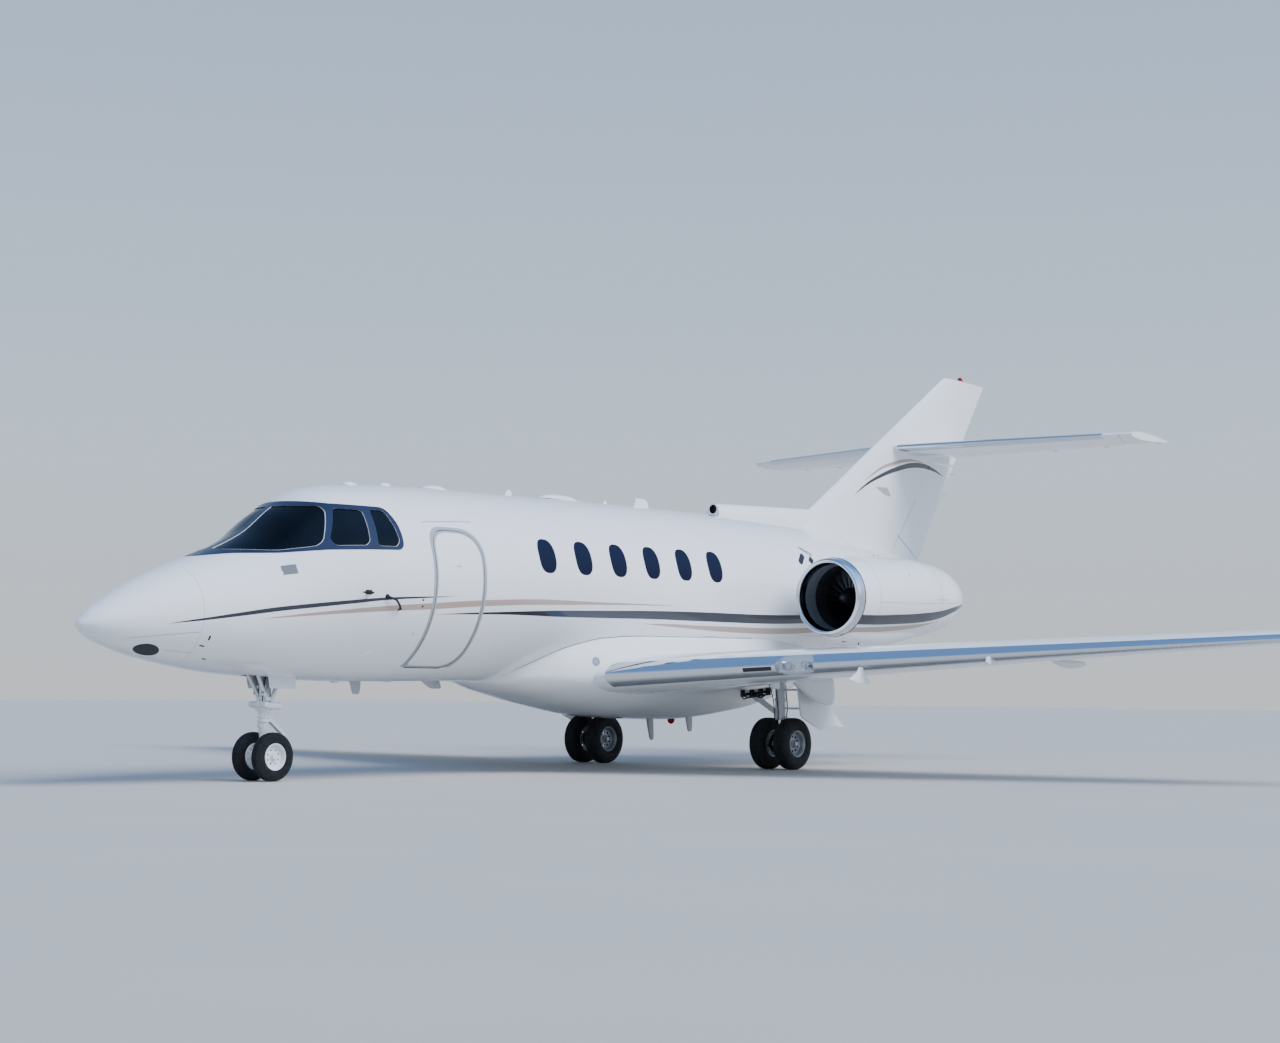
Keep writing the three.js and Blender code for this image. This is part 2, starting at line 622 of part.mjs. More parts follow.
// Points around an aerofoil, from the trailing edge over the top to the leading edge and back
// each is a share of the chord aft of the leading edge and a height as a share of the chord
function aerofoil(thickness, camber, steps = 7) {
  const edge = 0.004;
  const curve = (x) => 1.4845 * Math.sqrt(x) - 0.63 * x - 1.758 * x ** 2 + 1.4215 * x ** 3 - 0.518 * x ** 4;
  const halfThick = (x) => thickness * curve(x) + edge * x / 2;
  const line = (x) => 4 * camber * x * (1 - x);
  const shares = Array.from({ length: steps + 1 }, (_, i) => (1 - Math.cos((Math.PI * i) / steps)) / 2);
  const upper = [...shares].reverse().map((x) => [x, line(x) + halfThick(x)]);
  const lower = shares.slice(1).map((x) => [x, line(x) - halfThick(x)]);
  return [...upper, ...lower];
}

// A section standing along the chord, with its thickness along a given direction
function section({ lead, chord, thickness, camber = 0, twist = 0, up, grow = 0 }) {
  const turn = THREE.MathUtils.degToRad(twist);
  const aft = new THREE.Vector3(-Math.cos(turn), 0, 0).addScaledVector(up, -Math.sin(turn));
  const normal = up.clone().multiplyScalar(Math.cos(turn)).add(new THREE.Vector3(-Math.sin(turn), 0, 0));
  return aerofoil(thickness, camber).map(([along, high]) => lead.clone()
    .addScaledVector(aft, along * (chord + 2 * grow) - grow)
    .addScaledVector(normal, high * chord + Math.sign(high - 4 * camber * along * (1 - along)) * grow));
}

const UP = new THREE.Vector3(0, 0, 1);
const LEFT = new THREE.Vector3(0, 1, 0);

const wingLead = (y) => point(
  WING.lead_root + WING.lead_slope * y, y, WING.height_root + WING.height_slope * y,
);
const wingChord = (y) => WING.trail_root + WING.trail_slope * y - WING.lead_root - WING.lead_slope * y;

function wingSection(y, grow = 0) {
  const share = y / WING.tip_y;
  return section({
    lead: wingLead(y), chord: wingChord(y), thickness: mix(WING.thick_root, WING.thick_tip, share),
    camber: WING.camber, twist: mix(WING.twist_root, WING.twist_tip, share), up: UP, grow,
  });
}

// A point on the wing's or tailplane's middle line at a share of the chord, with half the thickness there
function midChord(ring, share) {
  const steps = (ring.length - 1) / 2;
  const atShare = (from, to) => {
    for (let i = from; i !== to; i += Math.sign(to - from)) {
      const next = i + Math.sign(to - from);
      const here = (ring[steps].x - ring[i].x) / (ring[steps].x - ring[0].x);
      const there = (ring[steps].x - ring[next].x) / (ring[steps].x - ring[0].x);
      if (here <= share && share <= there) {
        return ring[i].clone().lerp(ring[next], (share - here) / (there - here));
      }
    }
    return ring[to];
  };
  const upper = atShare(steps, 0);
  const lower = atShare(steps, ring.length - 1);
  return { centre: upper.clone().lerp(lower, 0.5), half: upper.distanceTo(lower) / 2 };
}

// The region behind a hinge line, with a round nose about it; its ends stand square to the hinge.
// A horn is the whole chord beyond a given distance along the hinge.
function hingeRegion(inner, outer, grow, horn = null, lip = 0) {
  const along = outer.centre.clone().sub(inner.centre).normalize();
  const aft = new THREE.Vector3(-along.y, along.x, 0).normalize();
  const up = along.clone().cross(aft);
  const block = (from, to, back0, back1) => {
    const ring = (base) => [[back0, -REACH.up], [back1, -REACH.up], [back1, REACH.up], [back0, REACH.up]]
      .map(([back, lift]) => base.clone().addScaledVector(aft, back).addScaledVector(up, lift));
    return loft([ring(from), ring(to)]);
  };
  const from = inner.centre.clone().addScaledVector(along, -grow);
  const to = outer.centre.clone().addScaledVector(along, horn === null ? grow : REACH.tip);
  const nose = rod(from, to, inner.half * NOSE_SHARE + grow, outer.half * NOSE_SHARE + grow, HINGE_SIDES);
  const panel = joined(block(from, to, 0, REACH.aft), nose);
  if (lip) return joined(panel, underLip(from, to, inner.half, outer.half, lip, aft, up));
  if (horn === null) return panel;
  const hornStart = inner.centre.clone().addScaledVector(along, horn - grow);
  return joined(panel, block(hornStart, to, -REACH.aft, 0));
}

// The lower lip ahead of a hinge, cut back so that a flap's foot clears it when it is down
function underLip(from, to, innerHalf, outerHalf, lip, aft, up) {
  const ring = (base, half) => {
    const ceiling = -LIP_SHARE * half;
    return [[-lip, -REACH.up], [1, -REACH.up], [1, ceiling], [-lip, ceiling]]
      .map(([back, lift]) => base.clone().addScaledVector(aft, back).addScaledVector(up, lift));
  };
  return loft([ring(from, innerHalf), ring(to, outerHalf)]);
}

// Pin on a hinge line that reaches the ribs beside a moving panel, at both ends or only inboard
function hingePin(inner, outer, ends) {
  const along = outer.centre.clone().sub(inner.centre).normalize();
  const reach = MOVING_GAP - SEAT_GAP;
  const from = inner.centre.clone().addScaledVector(along, -reach);
  const [end, past] = ends ? [outer.centre, reach] : [inner.centre, ELEVATOR_PIN_INSET];
  return rod(from, end.clone().addScaledVector(along, past), HINGE_PIN, HINGE_PIN, PIN_SIDES);
}

function addWings() {
  const fairing = fairingLoft(SEAT_GAP);
  const hull = hullLoft(...HULL_AT.wing, SEAT_GAP);
  const whole = loft([WING.start_y, ...WING_SPANS, WING.tip_y].map((y) => wingSection(y)));
  let wing = cut(joined(whole, jackPad(WING_JACK)), fairing, hull);
  for (const [name, innerY, outerY, hinge, lip] of WING_PANELS) {
    const inner = midChord(wingSection(innerY), hinge);
    const outer = midChord(wingSection(outerY), hinge);
    const panel = shared(whole, hingeRegion(inner, outer, 0));
    addPair(name, joined(panel, hingePin(inner, outer, true)), 'white_paint');
    wing = cut(wing, hingeRegion(inner, outer, MOVING_GAP, null, lip));
  }
  addPair('wing', wing, 'white_paint');
  addPair('winglet', loft(wingletRings()), 'white_paint');
  addMesh('belly_fairing', cut(fairingLoft(), hullLoft(...HULL_AT.fairing, SEAT_GAP)), 'white_paint');
}

function wingletRings() {
  const root = wingLead(WING.tip_y + SEAT_GAP);
  return WINGLET.map(([outboard, up, aft, chord, cant, thickness]) => {
    const tilt = THREE.MathUtils.degToRad(cant);
    return section({
      lead: root.clone().add(new THREE.Vector3(-aft, outboard, up)), chord, thickness,
      camber: WINGLET_CAMBER, twist: WING.twist_tip * Math.cos(tilt),
      up: new THREE.Vector3(0, -Math.sin(tilt), Math.cos(tilt)),
    });
  });
}

// Fin, dorsal fairing and rudder

function finSection(z, grow = 0) {
  const share = (z - FIN.low_z) / (FIN.top_z - FIN.low_z);
  const lead = mix(FIN.lead_low, FIN.lead_top, share);
  const chord = mix(FIN.trail_low, FIN.trail_top, share) - lead;
  const thickness = mix(FIN.thick_low, FIN.thick_top, share);
  return section({ lead: point(lead, 0, z), chord, thickness, up: LEFT, grow });
}

const finLoft = (grow = 0) => loft([FIN.low_z, ...FIN_HEIGHTS, FIN.top_z].map((z) => finSection(z, grow)));

const finEdge = (edge, z) => mix(
  FIN[`${edge}_low`], FIN[`${edge}_top`], (z - FIN.low_z) / (FIN.top_z - FIN.low_z),
);

// The hinge line's station at a height, and half the fin's thickness there
function rudderHinge(z) {
  const [[lowStation, lowZ], [topStation, topZ]] = [RUDDER.hinge_low, RUDDER.hinge_top];
  const station = mix(lowStation, topStation, (z - lowZ) / (topZ - lowZ));
  const share = (station - finEdge('lead', z)) / (finEdge('trail', z) - finEdge('lead', z));
  const flat = finSection(z).map((p) => new THREE.Vector3(p.x, 0, p.y));
  return { station, half: midChord(flat, share).half };
}

// The region of the rudder, or with its gaps that of the recess that it turns in
function rudderRegion(grow, lowGap, topGap) {
  const [low, top] = [RUDDER.front_z - lowGap, RUDDER.top + topGap];
  const back = RUDDER.back_z - lowGap;
  const far = rudderHinge(top).station + REACH.aft;
  const slope = (back - low) / (finEdge('trail', back) - rudderHinge(low).station);
  const rise = (station) => low + slope * (station - rudderHinge(low).station);
  const blade = [
    [rudderHinge(low).station, low], [far, rise(far)], [far, top], [rudderHinge(top).station, top],
  ];
  const ahead = rudderHinge(low).station - REACH.up;
  const slab = [[ahead, rise(ahead)], [far, rise(far)], [far, top], [ahead, top]];
  const [noseLow, noseTop] = [low - REACH.up, top + REACH.up];
  const nose = rod(
    point(rudderHinge(noseLow).station, 0, noseLow), point(rudderHinge(noseTop).station, 0, noseTop),
    rudderHinge(noseLow).half * NOSE_SHARE + grow, rudderHinge(noseTop).half * NOSE_SHARE + grow, HINGE_SIDES,
  );
  return joined(sidePlate(blade, -REACH.up, REACH.up), shared(nose, sidePlate(slab, -REACH.up, REACH.up)));
}

function addFin() {
  const hull = hullLoft(...HULL_AT.fin, SEAT_GAP);
  const whole = finLoft();
  const pinLow = RUDDER.front_z - RUDDER.low_gap + RUDDER.pin_lift;
  const pinTop = RUDDER.top + RUDDER.top_gap - RUDDER.pin_drop;
  const pin = rod(
    point(rudderHinge(pinLow).station, 0, pinLow), point(rudderHinge(pinTop).station, 0, pinTop),
    HINGE_PIN, HINGE_PIN, PIN_SIDES,
  );
  addMesh('rudder', joined(shared(whole, rudderRegion(0, 0, 0)), pin), 'white_paint');
  addMesh('fin', cut(whole, rudderRegion(MOVING_GAP, RUDDER.low_gap, RUDDER.top_gap), hull), 'white_paint');

  const rings = [DORSAL.front, DORSAL.front + DORSAL.first_step, DORSAL.back].map((station) => {
    const share = (station - DORSAL.front) / (DORSAL.back - DORSAL.front);
    const top = mix(DORSAL.front_top, DORSAL.back_top, share);
    return Array.from({ length: DORSAL.sides }, (_, i) => {
      const angle = (2 * Math.PI * (i + 0.5)) / DORSAL.sides;
      const high = (top - DORSAL.root_z) / 2;
      return point(station, mix(DORSAL.half_width, DORSAL.back_half, share) * Math.cos(angle),
        DORSAL.root_z + high + high * Math.sin(angle));
    });
  });
  const mouthZ = DORSAL.front_top - DORSAL.mouth - DORSAL.mouth_lip;
  const mouth = rod(
    point(DORSAL.front - DORSAL.mouth_ahead, 0, mouthZ),
    point(DORSAL.front + DORSAL.mouth_deep, 0, mouthZ + DORSAL.mouth_rise), DORSAL.mouth,
  );
  const finSkin = finLoft(SEAT_GAP);
  addMesh('dorsal_fairing', cut(loft(rings), hull, finSkin, mouth), 'white_paint');
}

// Tailplane and elevators

function tailSection(y, grow = 0) {
  const share = y / TAIL.tip_y;
  const lead = mix(TAIL.lead_root, TAIL.lead_tip, share);
  const chord = mix(TAIL.trail_root, TAIL.trail_tip, share) - lead;
  const thickness = mix(TAIL.thick_root, TAIL.thick_tip, share);
  return section({
    lead: point(lead, y, mix(TAIL.height_root, TAIL.height_tip, share)), chord, thickness, up: UP, grow,
  });
}

function addTailplanes() {
  const finSkin = finLoft(SEAT_GAP);
  const rings = [0, TAIL.tip_y / 2, TAIL.tip_y].map((y) => tailSection(y));
  const whole = loft(rings);
  const inner = midChord(tailSection(ELEVATOR.inner_y), ELEVATOR.hinge);
  const outer = midChord(tailSection(TAIL.tip_y), ELEVATOR.hinge);
  const horn = inner.centre.distanceTo(midChord(tailSection(ELEVATOR.horn_y), ELEVATOR.hinge).centre);
  const region = (grow) => hingeRegion(inner, outer, grow, horn);
  addPair('elevator', joined(shared(whole, region(0)), hingePin(inner, outer, false)), 'white_paint');
  addPair('tailplane', cut(whole, region(MOVING_GAP), finSkin), 'white_paint');
}

// Flat foot of a jacking point, sunk into what it is part of
const jackPad = ({ station, y, foot, radius }) => rod(
  point(station, y, foot), point(station, y, foot + PAD_SUNK), radius, radius, PAD_SIDES,
);

// A turned solid from a profile that closes on itself or starts and ends on the axis
// columns of the profile: distance along the axis, radius; the axis is Y
function turned(profile, sides, firstAngle = 0) {
  const outline = profile.map(([along, radius]) => new THREE.Vector2(radius, along));
  const geometry = new THREE.LatheGeometry(outline, sides, firstAngle, 2 * Math.PI);
  geometry.deleteAttribute('normal');
  geometry.deleteAttribute('uv');
  const merged = mergeVertices(geometry, 1e-3);
  const index = Array.from(merged.index.array);
  const real = [];
  for (let i = 0; i < index.length; i += 3) {
    const [a, b, c] = index.slice(i, i + 3);
    if (a !== b && b !== c && c !== a) real.push(a, b, c);
  }
  merged.setIndex(volumeOf(merged.attributes.position.array, real) < 0 ? flipped(real) : real);
  merged.computeVertexNormals();
  return merged;
}

// Engines: turned pieces about the engine's own axis, which starts at the lip and leans up aft

const aboutEngine = (profile, sides = ENGINE.sides) => turned(profile, sides).rotateZ(Math.PI / 2);

function inEngine(geometry) {
  const turn = new THREE.Matrix4().makeRotationY(THREE.MathUtils.degToRad(ENGINE.tilt));
  turn.setPosition(point(ENGINE.lip_station, ENGINE.y, ENGINE.z));
  return toSolid(geometry.clone().applyMatrix4(turn));
}

function addEngines() {
  const lipEnd = NACELLE_OUTER[0][0];
  const ring = [...NACELLE_OUTER, ...NACELLE_INNER].map(([along, radius]) => (
    [along === lipEnd ? along + SEAT_GAP : along, radius]
  ));
  addPair('nacelle', inEngine(aboutEngine([...ring, ring[0]])), 'white_paint');
  addPair('intake_lip', inEngine(aboutEngine([...LIP_PROFILE, LIP_PROFILE[0]])), 'polished');

  const duct = aboutEngine([
    [NACELLE_LENGTH, 0], ...NACELLE_INNER.map(([along, radius]) => [along, radius - SEAT_GAP]), [lipEnd, 0],
  ]);
  const core = aboutEngine([
    [CORE.front, 0], [CORE.front, CORE.radius], [CORE.back - CORE.cone, CORE.radius], [CORE.back, CORE.tail],
    [CORE.back, 0],
  ]);
  const vanes = Array.from({ length: CORE.vanes }, (_, i) => {
    const vane = new THREE.BoxGeometry(CORE.vane_long, CORE.vane_thick, CORE.vane_reach);
    vane.translate(-CORE.front - CORE.vane_long / 2 - CORE.vane_setback, 0, CORE.vane_reach / 2);
    return toSolid(vane.rotateX((2 * Math.PI * i) / CORE.vanes));
  });
  const block = shared(joined(toSolid(core), ...vanes), toSolid(duct));
  addPair('engine_core', inEngine(toGeometry(block)), 'dark_metal');

  addPair('fan', inEngine(toGeometry(fanSolid())), 'titanium');

  const outer = [...NACELLE_FRONT, ...NACELLE_OUTER, [NACELLE_LENGTH, 0]];
  const skin = inEngine(aboutEngine(outer.map(([along, radius]) => [along, radius && radius + SEAT_GAP])));
  const chord = PYLON.back - PYLON.front;
  const rings = [PYLON.inner_y, PYLON.outer_y].map((y) => section({
    lead: point(PYLON.front, y, PYLON.z), chord, thickness: PYLON.thickness, up: UP,
  }));
  addPair('pylon', cut(loft(rings), hullLoft(...HULL_AT.pylon, SEAT_GAP), skin), 'white_paint');
}

// Spinner, hub and shaft turned as one, with flat twisted blades
function fanSolid() {
  const { station, hub, depth, blades, spinner, shaft } = FAN;
  const shaftEnd = CORE.front - SEAT_GAP;
  const body = toSolid(aboutEngine([
    ...SPINNER_PROFILE.map(([ahead, radius]) => [station - spinner * ahead, hub * radius]),
    [station + depth, hub], [station + depth, shaft], [shaftEnd, shaft], [shaftEnd, 0],
  ], FAN.sides));
  const rings = FAN_BLADE.map(([reach, wide, twist, thick]) => {
    const turn = THREE.MathUtils.degToRad(twist);
    return BLADE_CORNERS.map(([a, b]) => new THREE.Vector3(
      a * wide * Math.cos(turn) - b * thick * Math.sin(turn) - station - depth / 2,
      a * wide * Math.sin(turn) + b * thick * Math.cos(turn), reach,
    ));
  });
  const blade = loftGeometry(rings, true);
  const angles = Array.from({ length: blades }, (_, i) => (2 * Math.PI * i) / blades);
  return joined(body, ...angles.map((angle) => toSolid(blade.clone().rotateX(angle))));
}

// Wheels: a tyre stands on a flat facet, and twin hubs turn with their axle

function tyreGeometry({ tyre_r: full, tyre_wide: wide, rim_r: rim }) {
  const reach = full / Math.cos(Math.PI / TYRE_SIDES);
  const profile = TYRE_PROFILE.map(([across, share]) => [across * wide, mix(rim, reach, share)]);
  return turned([...profile, profile[0]], TYRE_SIDES, Math.PI / TYRE_SIDES);
}

function hubGeometry({ twin, tyre_wide: wide, rim_r: rim, axle_r: axle }) {
  const side = HUB_PROFILE.map(([across, share]) => [
    -twin + across * wide, share === null ? axle : share * (rim * Math.cos(Math.PI / TYRE_SIDES) - SEAT_GAP),
  ]);
  const other = side.map(([along, radius]) => [-along, radius]).reverse();
  return turned([...side, ...other], HUB_SIDES);
}

function addWheels(prefix, gear, y) {
  const at = [xAt(gear.station), y, gear.tyre_r];
  for (const [side, sign] of [['left', 1], ['right', -1]]) {
    const tyre = addMesh(`${prefix}_tyre_${side}`, tyreGeometry(gear), 'tyre');
    tyre.position.set(at[0], y + sign * gear.twin, at[2]);
  }
  const finish = prefix === 'nose' ? 'white_paint' : 'dark_metal';
  addMesh(`${prefix}_hubs`, hubGeometry(gear), finish).position.set(...at);
}

// The boss that the axle turns in, with its bore
function axleBoss(gear, y) {
  const through = (half, radius) => rod(
    point(gear.station, y - half, gear.tyre_r), point(gear.station, y + half, gear.tyre_r), radius,
  );
  return [
    through(gear.boss_half, gear.boss_r), through(gear.boss_half + BORE_BEYOND, gear.axle_r + AXLE_PLAY),
  ];
}

// Torque link behind a leg: two arms that meet at a knee
function torqueLink(gear, y, high, low, reach) {
  const knee = (high + low) / 2;
  const root = gear.station + LINK.root;
  const back = gear.station + reach;
  return sidePlate([
    [gear.station, high], [root, high], [back, knee + LINK.knee], [back, knee - LINK.knee],
    [root, low], [gear.station, low], [gear.station, low + LINK.arm],
    [back - LINK.inside, knee], [gear.station, high - LINK.arm],
  ], y - LINK.half, y + LINK.half);
}

function addNoseGear() {
  const gear = NOSE_GEAR;
  const leg = (low, high, radius) => rod(point(gear.station, 0, low), point(gear.station, 0, high), radius);
  const roof = NOSE_BAY.roof - SEAT_GAP;
  const wall = NOSE_BAY.half - SEAT_GAP;
  const trunnion = rod(
    point(gear.station, -wall, NOSE_TRUNNION.z), point(gear.station, wall, NOSE_TRUNNION.z),
    NOSE_TRUNNION.radius,
  );
  const brace = rod(
    point(gear.station, 0, NOSE_BRACE.foot_z),
    point(NOSE_BAY.front + NOSE_BRACE.head_setback, 0, NOSE_BRACE.head_z),
    NOSE_BRACE.radius, NOSE_BRACE.radius, BRACE_SIDES,
  );
  const above = bay(
    NOSE_BAY_TOOL.front, NOSE_BAY_TOOL.back, -NOSE_BAY_TOOL.half, NOSE_BAY_TOOL.half, roof, NOSE_BAY_TOOL.top,
  );
  const strut = leg(gear.strut_foot, roof, gear.strut_r);
  addMesh('nose_leg', cut(joined(strut, trunnion, brace), above), 'white_paint');

  const [boss, bore] = axleBoss(gear, 0);
  const collar = leg(
    gear.strut_foot - NOSE_COLLAR.low, gear.strut_foot - NOSE_COLLAR.high, gear.strut_r + NOSE_COLLAR.proud,
  );
  const lug = bay(TOW_LUG.front, gear.station, -TOW_LUG.half, TOW_LUG.half, TOW_LUG.low, TOW_LUG.high);
  const link = torqueLink(
    gear, 0, gear.strut_foot - NOSE_LINK.below_strut, gear.tyre_r + NOSE_LINK.above_axle, NOSE_LINK.reach,
  );
  const fork = joined(leg(gear.tyre_r, gear.strut_foot - SEAT_GAP, gear.piston_r), boss, collar, lug, link);
  addMesh('nose_fork', cut(fork, bore), 'white_paint');
  addWheels('nose', gear, 0);

  const outline = [
    [NOSE_DOOR.front, NOSE_DOOR.top], [NOSE_DOOR.back, NOSE_DOOR.top],
    [NOSE_DOOR.back - NOSE_DOOR.back_rake, NOSE_DOOR.foot],
    [NOSE_DOOR.front + NOSE_DOOR.front_rake, NOSE_DOOR.foot],
  ];
  const inner = NOSE_BAY.half + NOSE_DOOR.off_bay;
  const door = sidePlate(outline, inner, inner + NOSE_DOOR.thick);
  addPair('nose_door', cut(door, hullLoft(...HULL_AT.nose, SEAT_GAP)), 'white_paint');
}

function addMainGear() {
  const gear = MAIN_GEAR;
  const wingSkin = loft([WING.start_y, ...WING_SPANS].map((y) => wingSection(y, SEAT_GAP)));
  const fairing = fairingLoft(SEAT_GAP);
  const [boss, bore] = axleBoss(gear, gear.y);
  const at = (z, y = gear.y) => point(gear.station, y, z);
  const brace = rod(
    at(MAIN_BRACE.foot_z), at(MAIN_BRACE.head_z, MAIN_BRACE.head_y),
    MAIN_BRACE.radius, MAIN_BRACE.radius, BRACE_SIDES,
  );
  const link = torqueLink(
    gear, gear.y, gear.strut_foot + MAIN_LINK.above_strut, gear.tyre_r + MAIN_LINK.above_axle,
    MAIN_LINK.reach,
  );
  const strut = rod(at(gear.strut_foot), at(MAIN_LEG_TOP), gear.strut_r);
  const piston = rod(at(gear.tyre_r), at(PISTON_TOP), gear.piston_r);
  addPair('main_leg', cut(joined(strut, piston, boss, brace, link), bore, wingSkin, fairing), 'white_paint');
  addWheels('main_left', gear, gear.y);
  addWheels('main_right', gear, -gear.y);

  const door = sidePlate(MAIN_DOOR_OUTLINE, MAIN_DOOR.y, MAIN_DOOR.y + MAIN_DOOR.thick);
  addPair('main_door', cut(door, wingSkin), 'white_paint');
}

// Cockpit and cabin fittings

function seatSolid(station, y, half, facing, floor) {
  const outline = SEAT_PROFILE.map(([forward, up]) => [station - facing * forward, floor + up]);
  return sidePlate(facing > 0 ? outline : outline.reverse(), y - half, y + half);
}

function addCabin() {
  const inside = hullLoft(CAVITY_FRONT - TOOL.beyond, CAVITY_REAR - SEAT_GAP, -SKIN_WALL - SEAT_GAP);
  const across = ({ front, back, half }, low, high) => bay(front, back, -half, half, low, high);
  const floor = FLOOR_TOP + SEAT_GAP;
  const seatFloor = floor + FLOOR_PANEL.thick + SEAT_GAP;
  const doorEdge = bay(
    DOOR.front - FLOOR_PANEL.door_beyond, DOOR.back + FLOOR_PANEL.door_beyond, DOOR.floor_y, OUTSIDE,
    DOOR.sill, seatFloor + FLOOR_PANEL.door_above,
  );
  const boards = shared(inside, across(FLOOR_PANEL, floor, floor + FLOOR_PANEL.thick));
  addMesh('cabin_floor', cut(boards, doorEdge), 'carpet');
  const panel = shared(inside, across(PANEL_BOARD, PANEL_BOARD.low, PANEL_BOARD.high));
  addMesh('instrument_panel', panel, 'dark_plastic');

  const cockpit = (y) => seatSolid(COCKPIT_SEAT.station, y, COCKPIT_SEAT.half, 1, seatFloor);
  const between = bay(
    COCKPIT_SEAT.station - CONSOLE.ahead, COCKPIT_SEAT.station - CONSOLE.behind, -CONSOLE.half, CONSOLE.half,
    seatFloor, seatFloor + CONSOLE.high,
  );
  const pair = joined(cockpit(COCKPIT_SEAT.y), cockpit(-COCKPIT_SEAT.y), between);
  addMesh('cockpit_seats', shared(pair, inside), 'leather');

  const first = CABIN_SEATS[0][0] - SEAT_RAIL.ahead;
  const last = CABIN_SEATS[CABIN_SEATS.length - 1][0];
  const rail = bay(
    first, last, CABIN_SEAT.y - SEAT_RAIL.half, CABIN_SEAT.y + SEAT_RAIL.half,
    seatFloor, seatFloor + SEAT_RAIL.high,
  );
  const seats = CABIN_SEATS.map(([station, facing]) => (
    seatSolid(station, CABIN_SEAT.y, CABIN_SEAT.half, facing, seatFloor)
  ));
  addPair('cabin_seats', shared(joined(rail, ...seats), inside), 'leather');
}

addHull();
addGlazing();
addWings();
addFin();
addTailplanes();
addEngines();
addNoseGear();
addMainGear();
addCabin();

export default jet;
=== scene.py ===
"""Looks of a twin-engined business jet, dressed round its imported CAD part.

Sizes are in metres in the part's own frame: +X forward, +Y left, +Z up, ground at z = 0.
A station is a distance aft of the nose tip, so x = NOSE_X - station. Tables are in millimetres.
"""

import logging
import math
from dataclasses import dataclass, field
from enum import Enum
from typing import Optional, Sequence

import bmesh
import bpy
from mathutils import Matrix, Vector


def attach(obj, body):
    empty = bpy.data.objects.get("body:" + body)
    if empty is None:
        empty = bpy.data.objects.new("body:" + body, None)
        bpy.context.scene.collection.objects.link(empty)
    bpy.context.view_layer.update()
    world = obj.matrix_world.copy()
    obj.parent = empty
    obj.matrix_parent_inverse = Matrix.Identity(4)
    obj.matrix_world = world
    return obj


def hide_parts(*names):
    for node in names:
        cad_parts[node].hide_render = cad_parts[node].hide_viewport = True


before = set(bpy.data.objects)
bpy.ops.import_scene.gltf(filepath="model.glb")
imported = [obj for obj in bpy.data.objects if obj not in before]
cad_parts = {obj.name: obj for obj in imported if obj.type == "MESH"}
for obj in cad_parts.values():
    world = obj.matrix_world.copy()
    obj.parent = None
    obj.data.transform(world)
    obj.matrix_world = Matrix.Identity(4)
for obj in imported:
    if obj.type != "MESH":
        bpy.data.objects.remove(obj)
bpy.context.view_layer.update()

log = logging.getLogger("jet")

MM = 0.001
NOSE_X = 7.8
SKIN_WALL = 80
ROUND_STEPS = 96
SHARP_ANGLE = math.radians(28)
MERGE_DISTANCE = 1e-5
SIDES = (("left", 1), ("right", -1))
Row = Sequence[float]
Outline = Sequence[tuple[float, float]]
Mesh = bmesh.types.BMesh
Tree = bpy.types.NodeTree
Socket = bpy.types.NodeSocket

# Hull sections, in millimetres; columns: station, top, bottom, half width
HULL = [
    (0, 1406, 1390, 8), (40, 1464, 1356, 90), (120, 1538, 1296, 168), (300, 1656, 1220, 277),
    (600, 1822, 1136, 408), (950, 1974, 1068, 530), (1400, 2142, 1005, 660), (1750, 2313, 979, 740),
    (2100, 2580, 956, 810), (2500, 2791, 947, 875), (3000, 2862, 940, 935), (3600, 2901, 945, 968),
    (4400, 2925, 955, 974), (9450, 2998, 1034, 974), (10400, 2990, 1120, 940), (11300, 2940, 1290, 835),
    (12200, 2850, 1480, 680), (13100, 2730, 1675, 495), (13900, 2600, 1870, 320), (14500, 2490, 2030, 190),
    (14750, 2400, 2140, 95),
]

# Belly fairing; columns: station, half width, bottom, height of the widest line, top of the hidden arc
FAIRING = [
    (4980, 240, 945, 1000, 1100), (5060, 450, 915, 1010, 1350), (5250, 640, 860, 1040, 1570),
    (5600, 840, 790, 1060, 1680), (6100, 950, 690, 1090, 1760), (6850, 985, 580, 1100, 1800),
    (7900, 985, 548, 1100, 1820), (8850, 970, 625, 1120, 1840), (9700, 860, 800, 1180, 1830),
    (10450, 560, 1010, 1260, 1600), (10900, 250, 1150, 1300, 1450),
]


class Carving(Enum):
    """How one solid acts on another."""

    CUT = "DIFFERENCE"
    SHARE = "INTERSECT"
    JOIN = "UNION"


def point(station: float, y: float, z: float) -> Vector:
    """A point of the part's frame from a station, y and z in millimetres."""
    return Vector((NOSE_X - station * MM, y * MM, z * MM))


def mix(low: float, high: float, share: float) -> float:
    """The value a share of the way from low to high."""
    return low + (high - low) * share


def spread(low: float, high: float, steps: int, power: float = 1.0) -> list[float]:
    """Values from low to high, closer together near low where the power is above 1."""
    return [mix(low, high, (i / steps) ** power) for i in range(steps + 1)]


def circle(steps: int, start: float = 0.0) -> list[tuple[float, float]]:
    """Cosines and sines round a full turn that starts at a share of one step."""
    angles = [2 * math.pi * (i + start) / steps for i in range(steps)]
    return [(math.cos(angle), math.sin(angle)) for angle in angles]


def squared(value: float, power: float) -> float:
    """A sine or cosine raised to a power with its sign kept; below 1 this squares an ellipse off."""
    return math.copysign(abs(value) ** power, value)


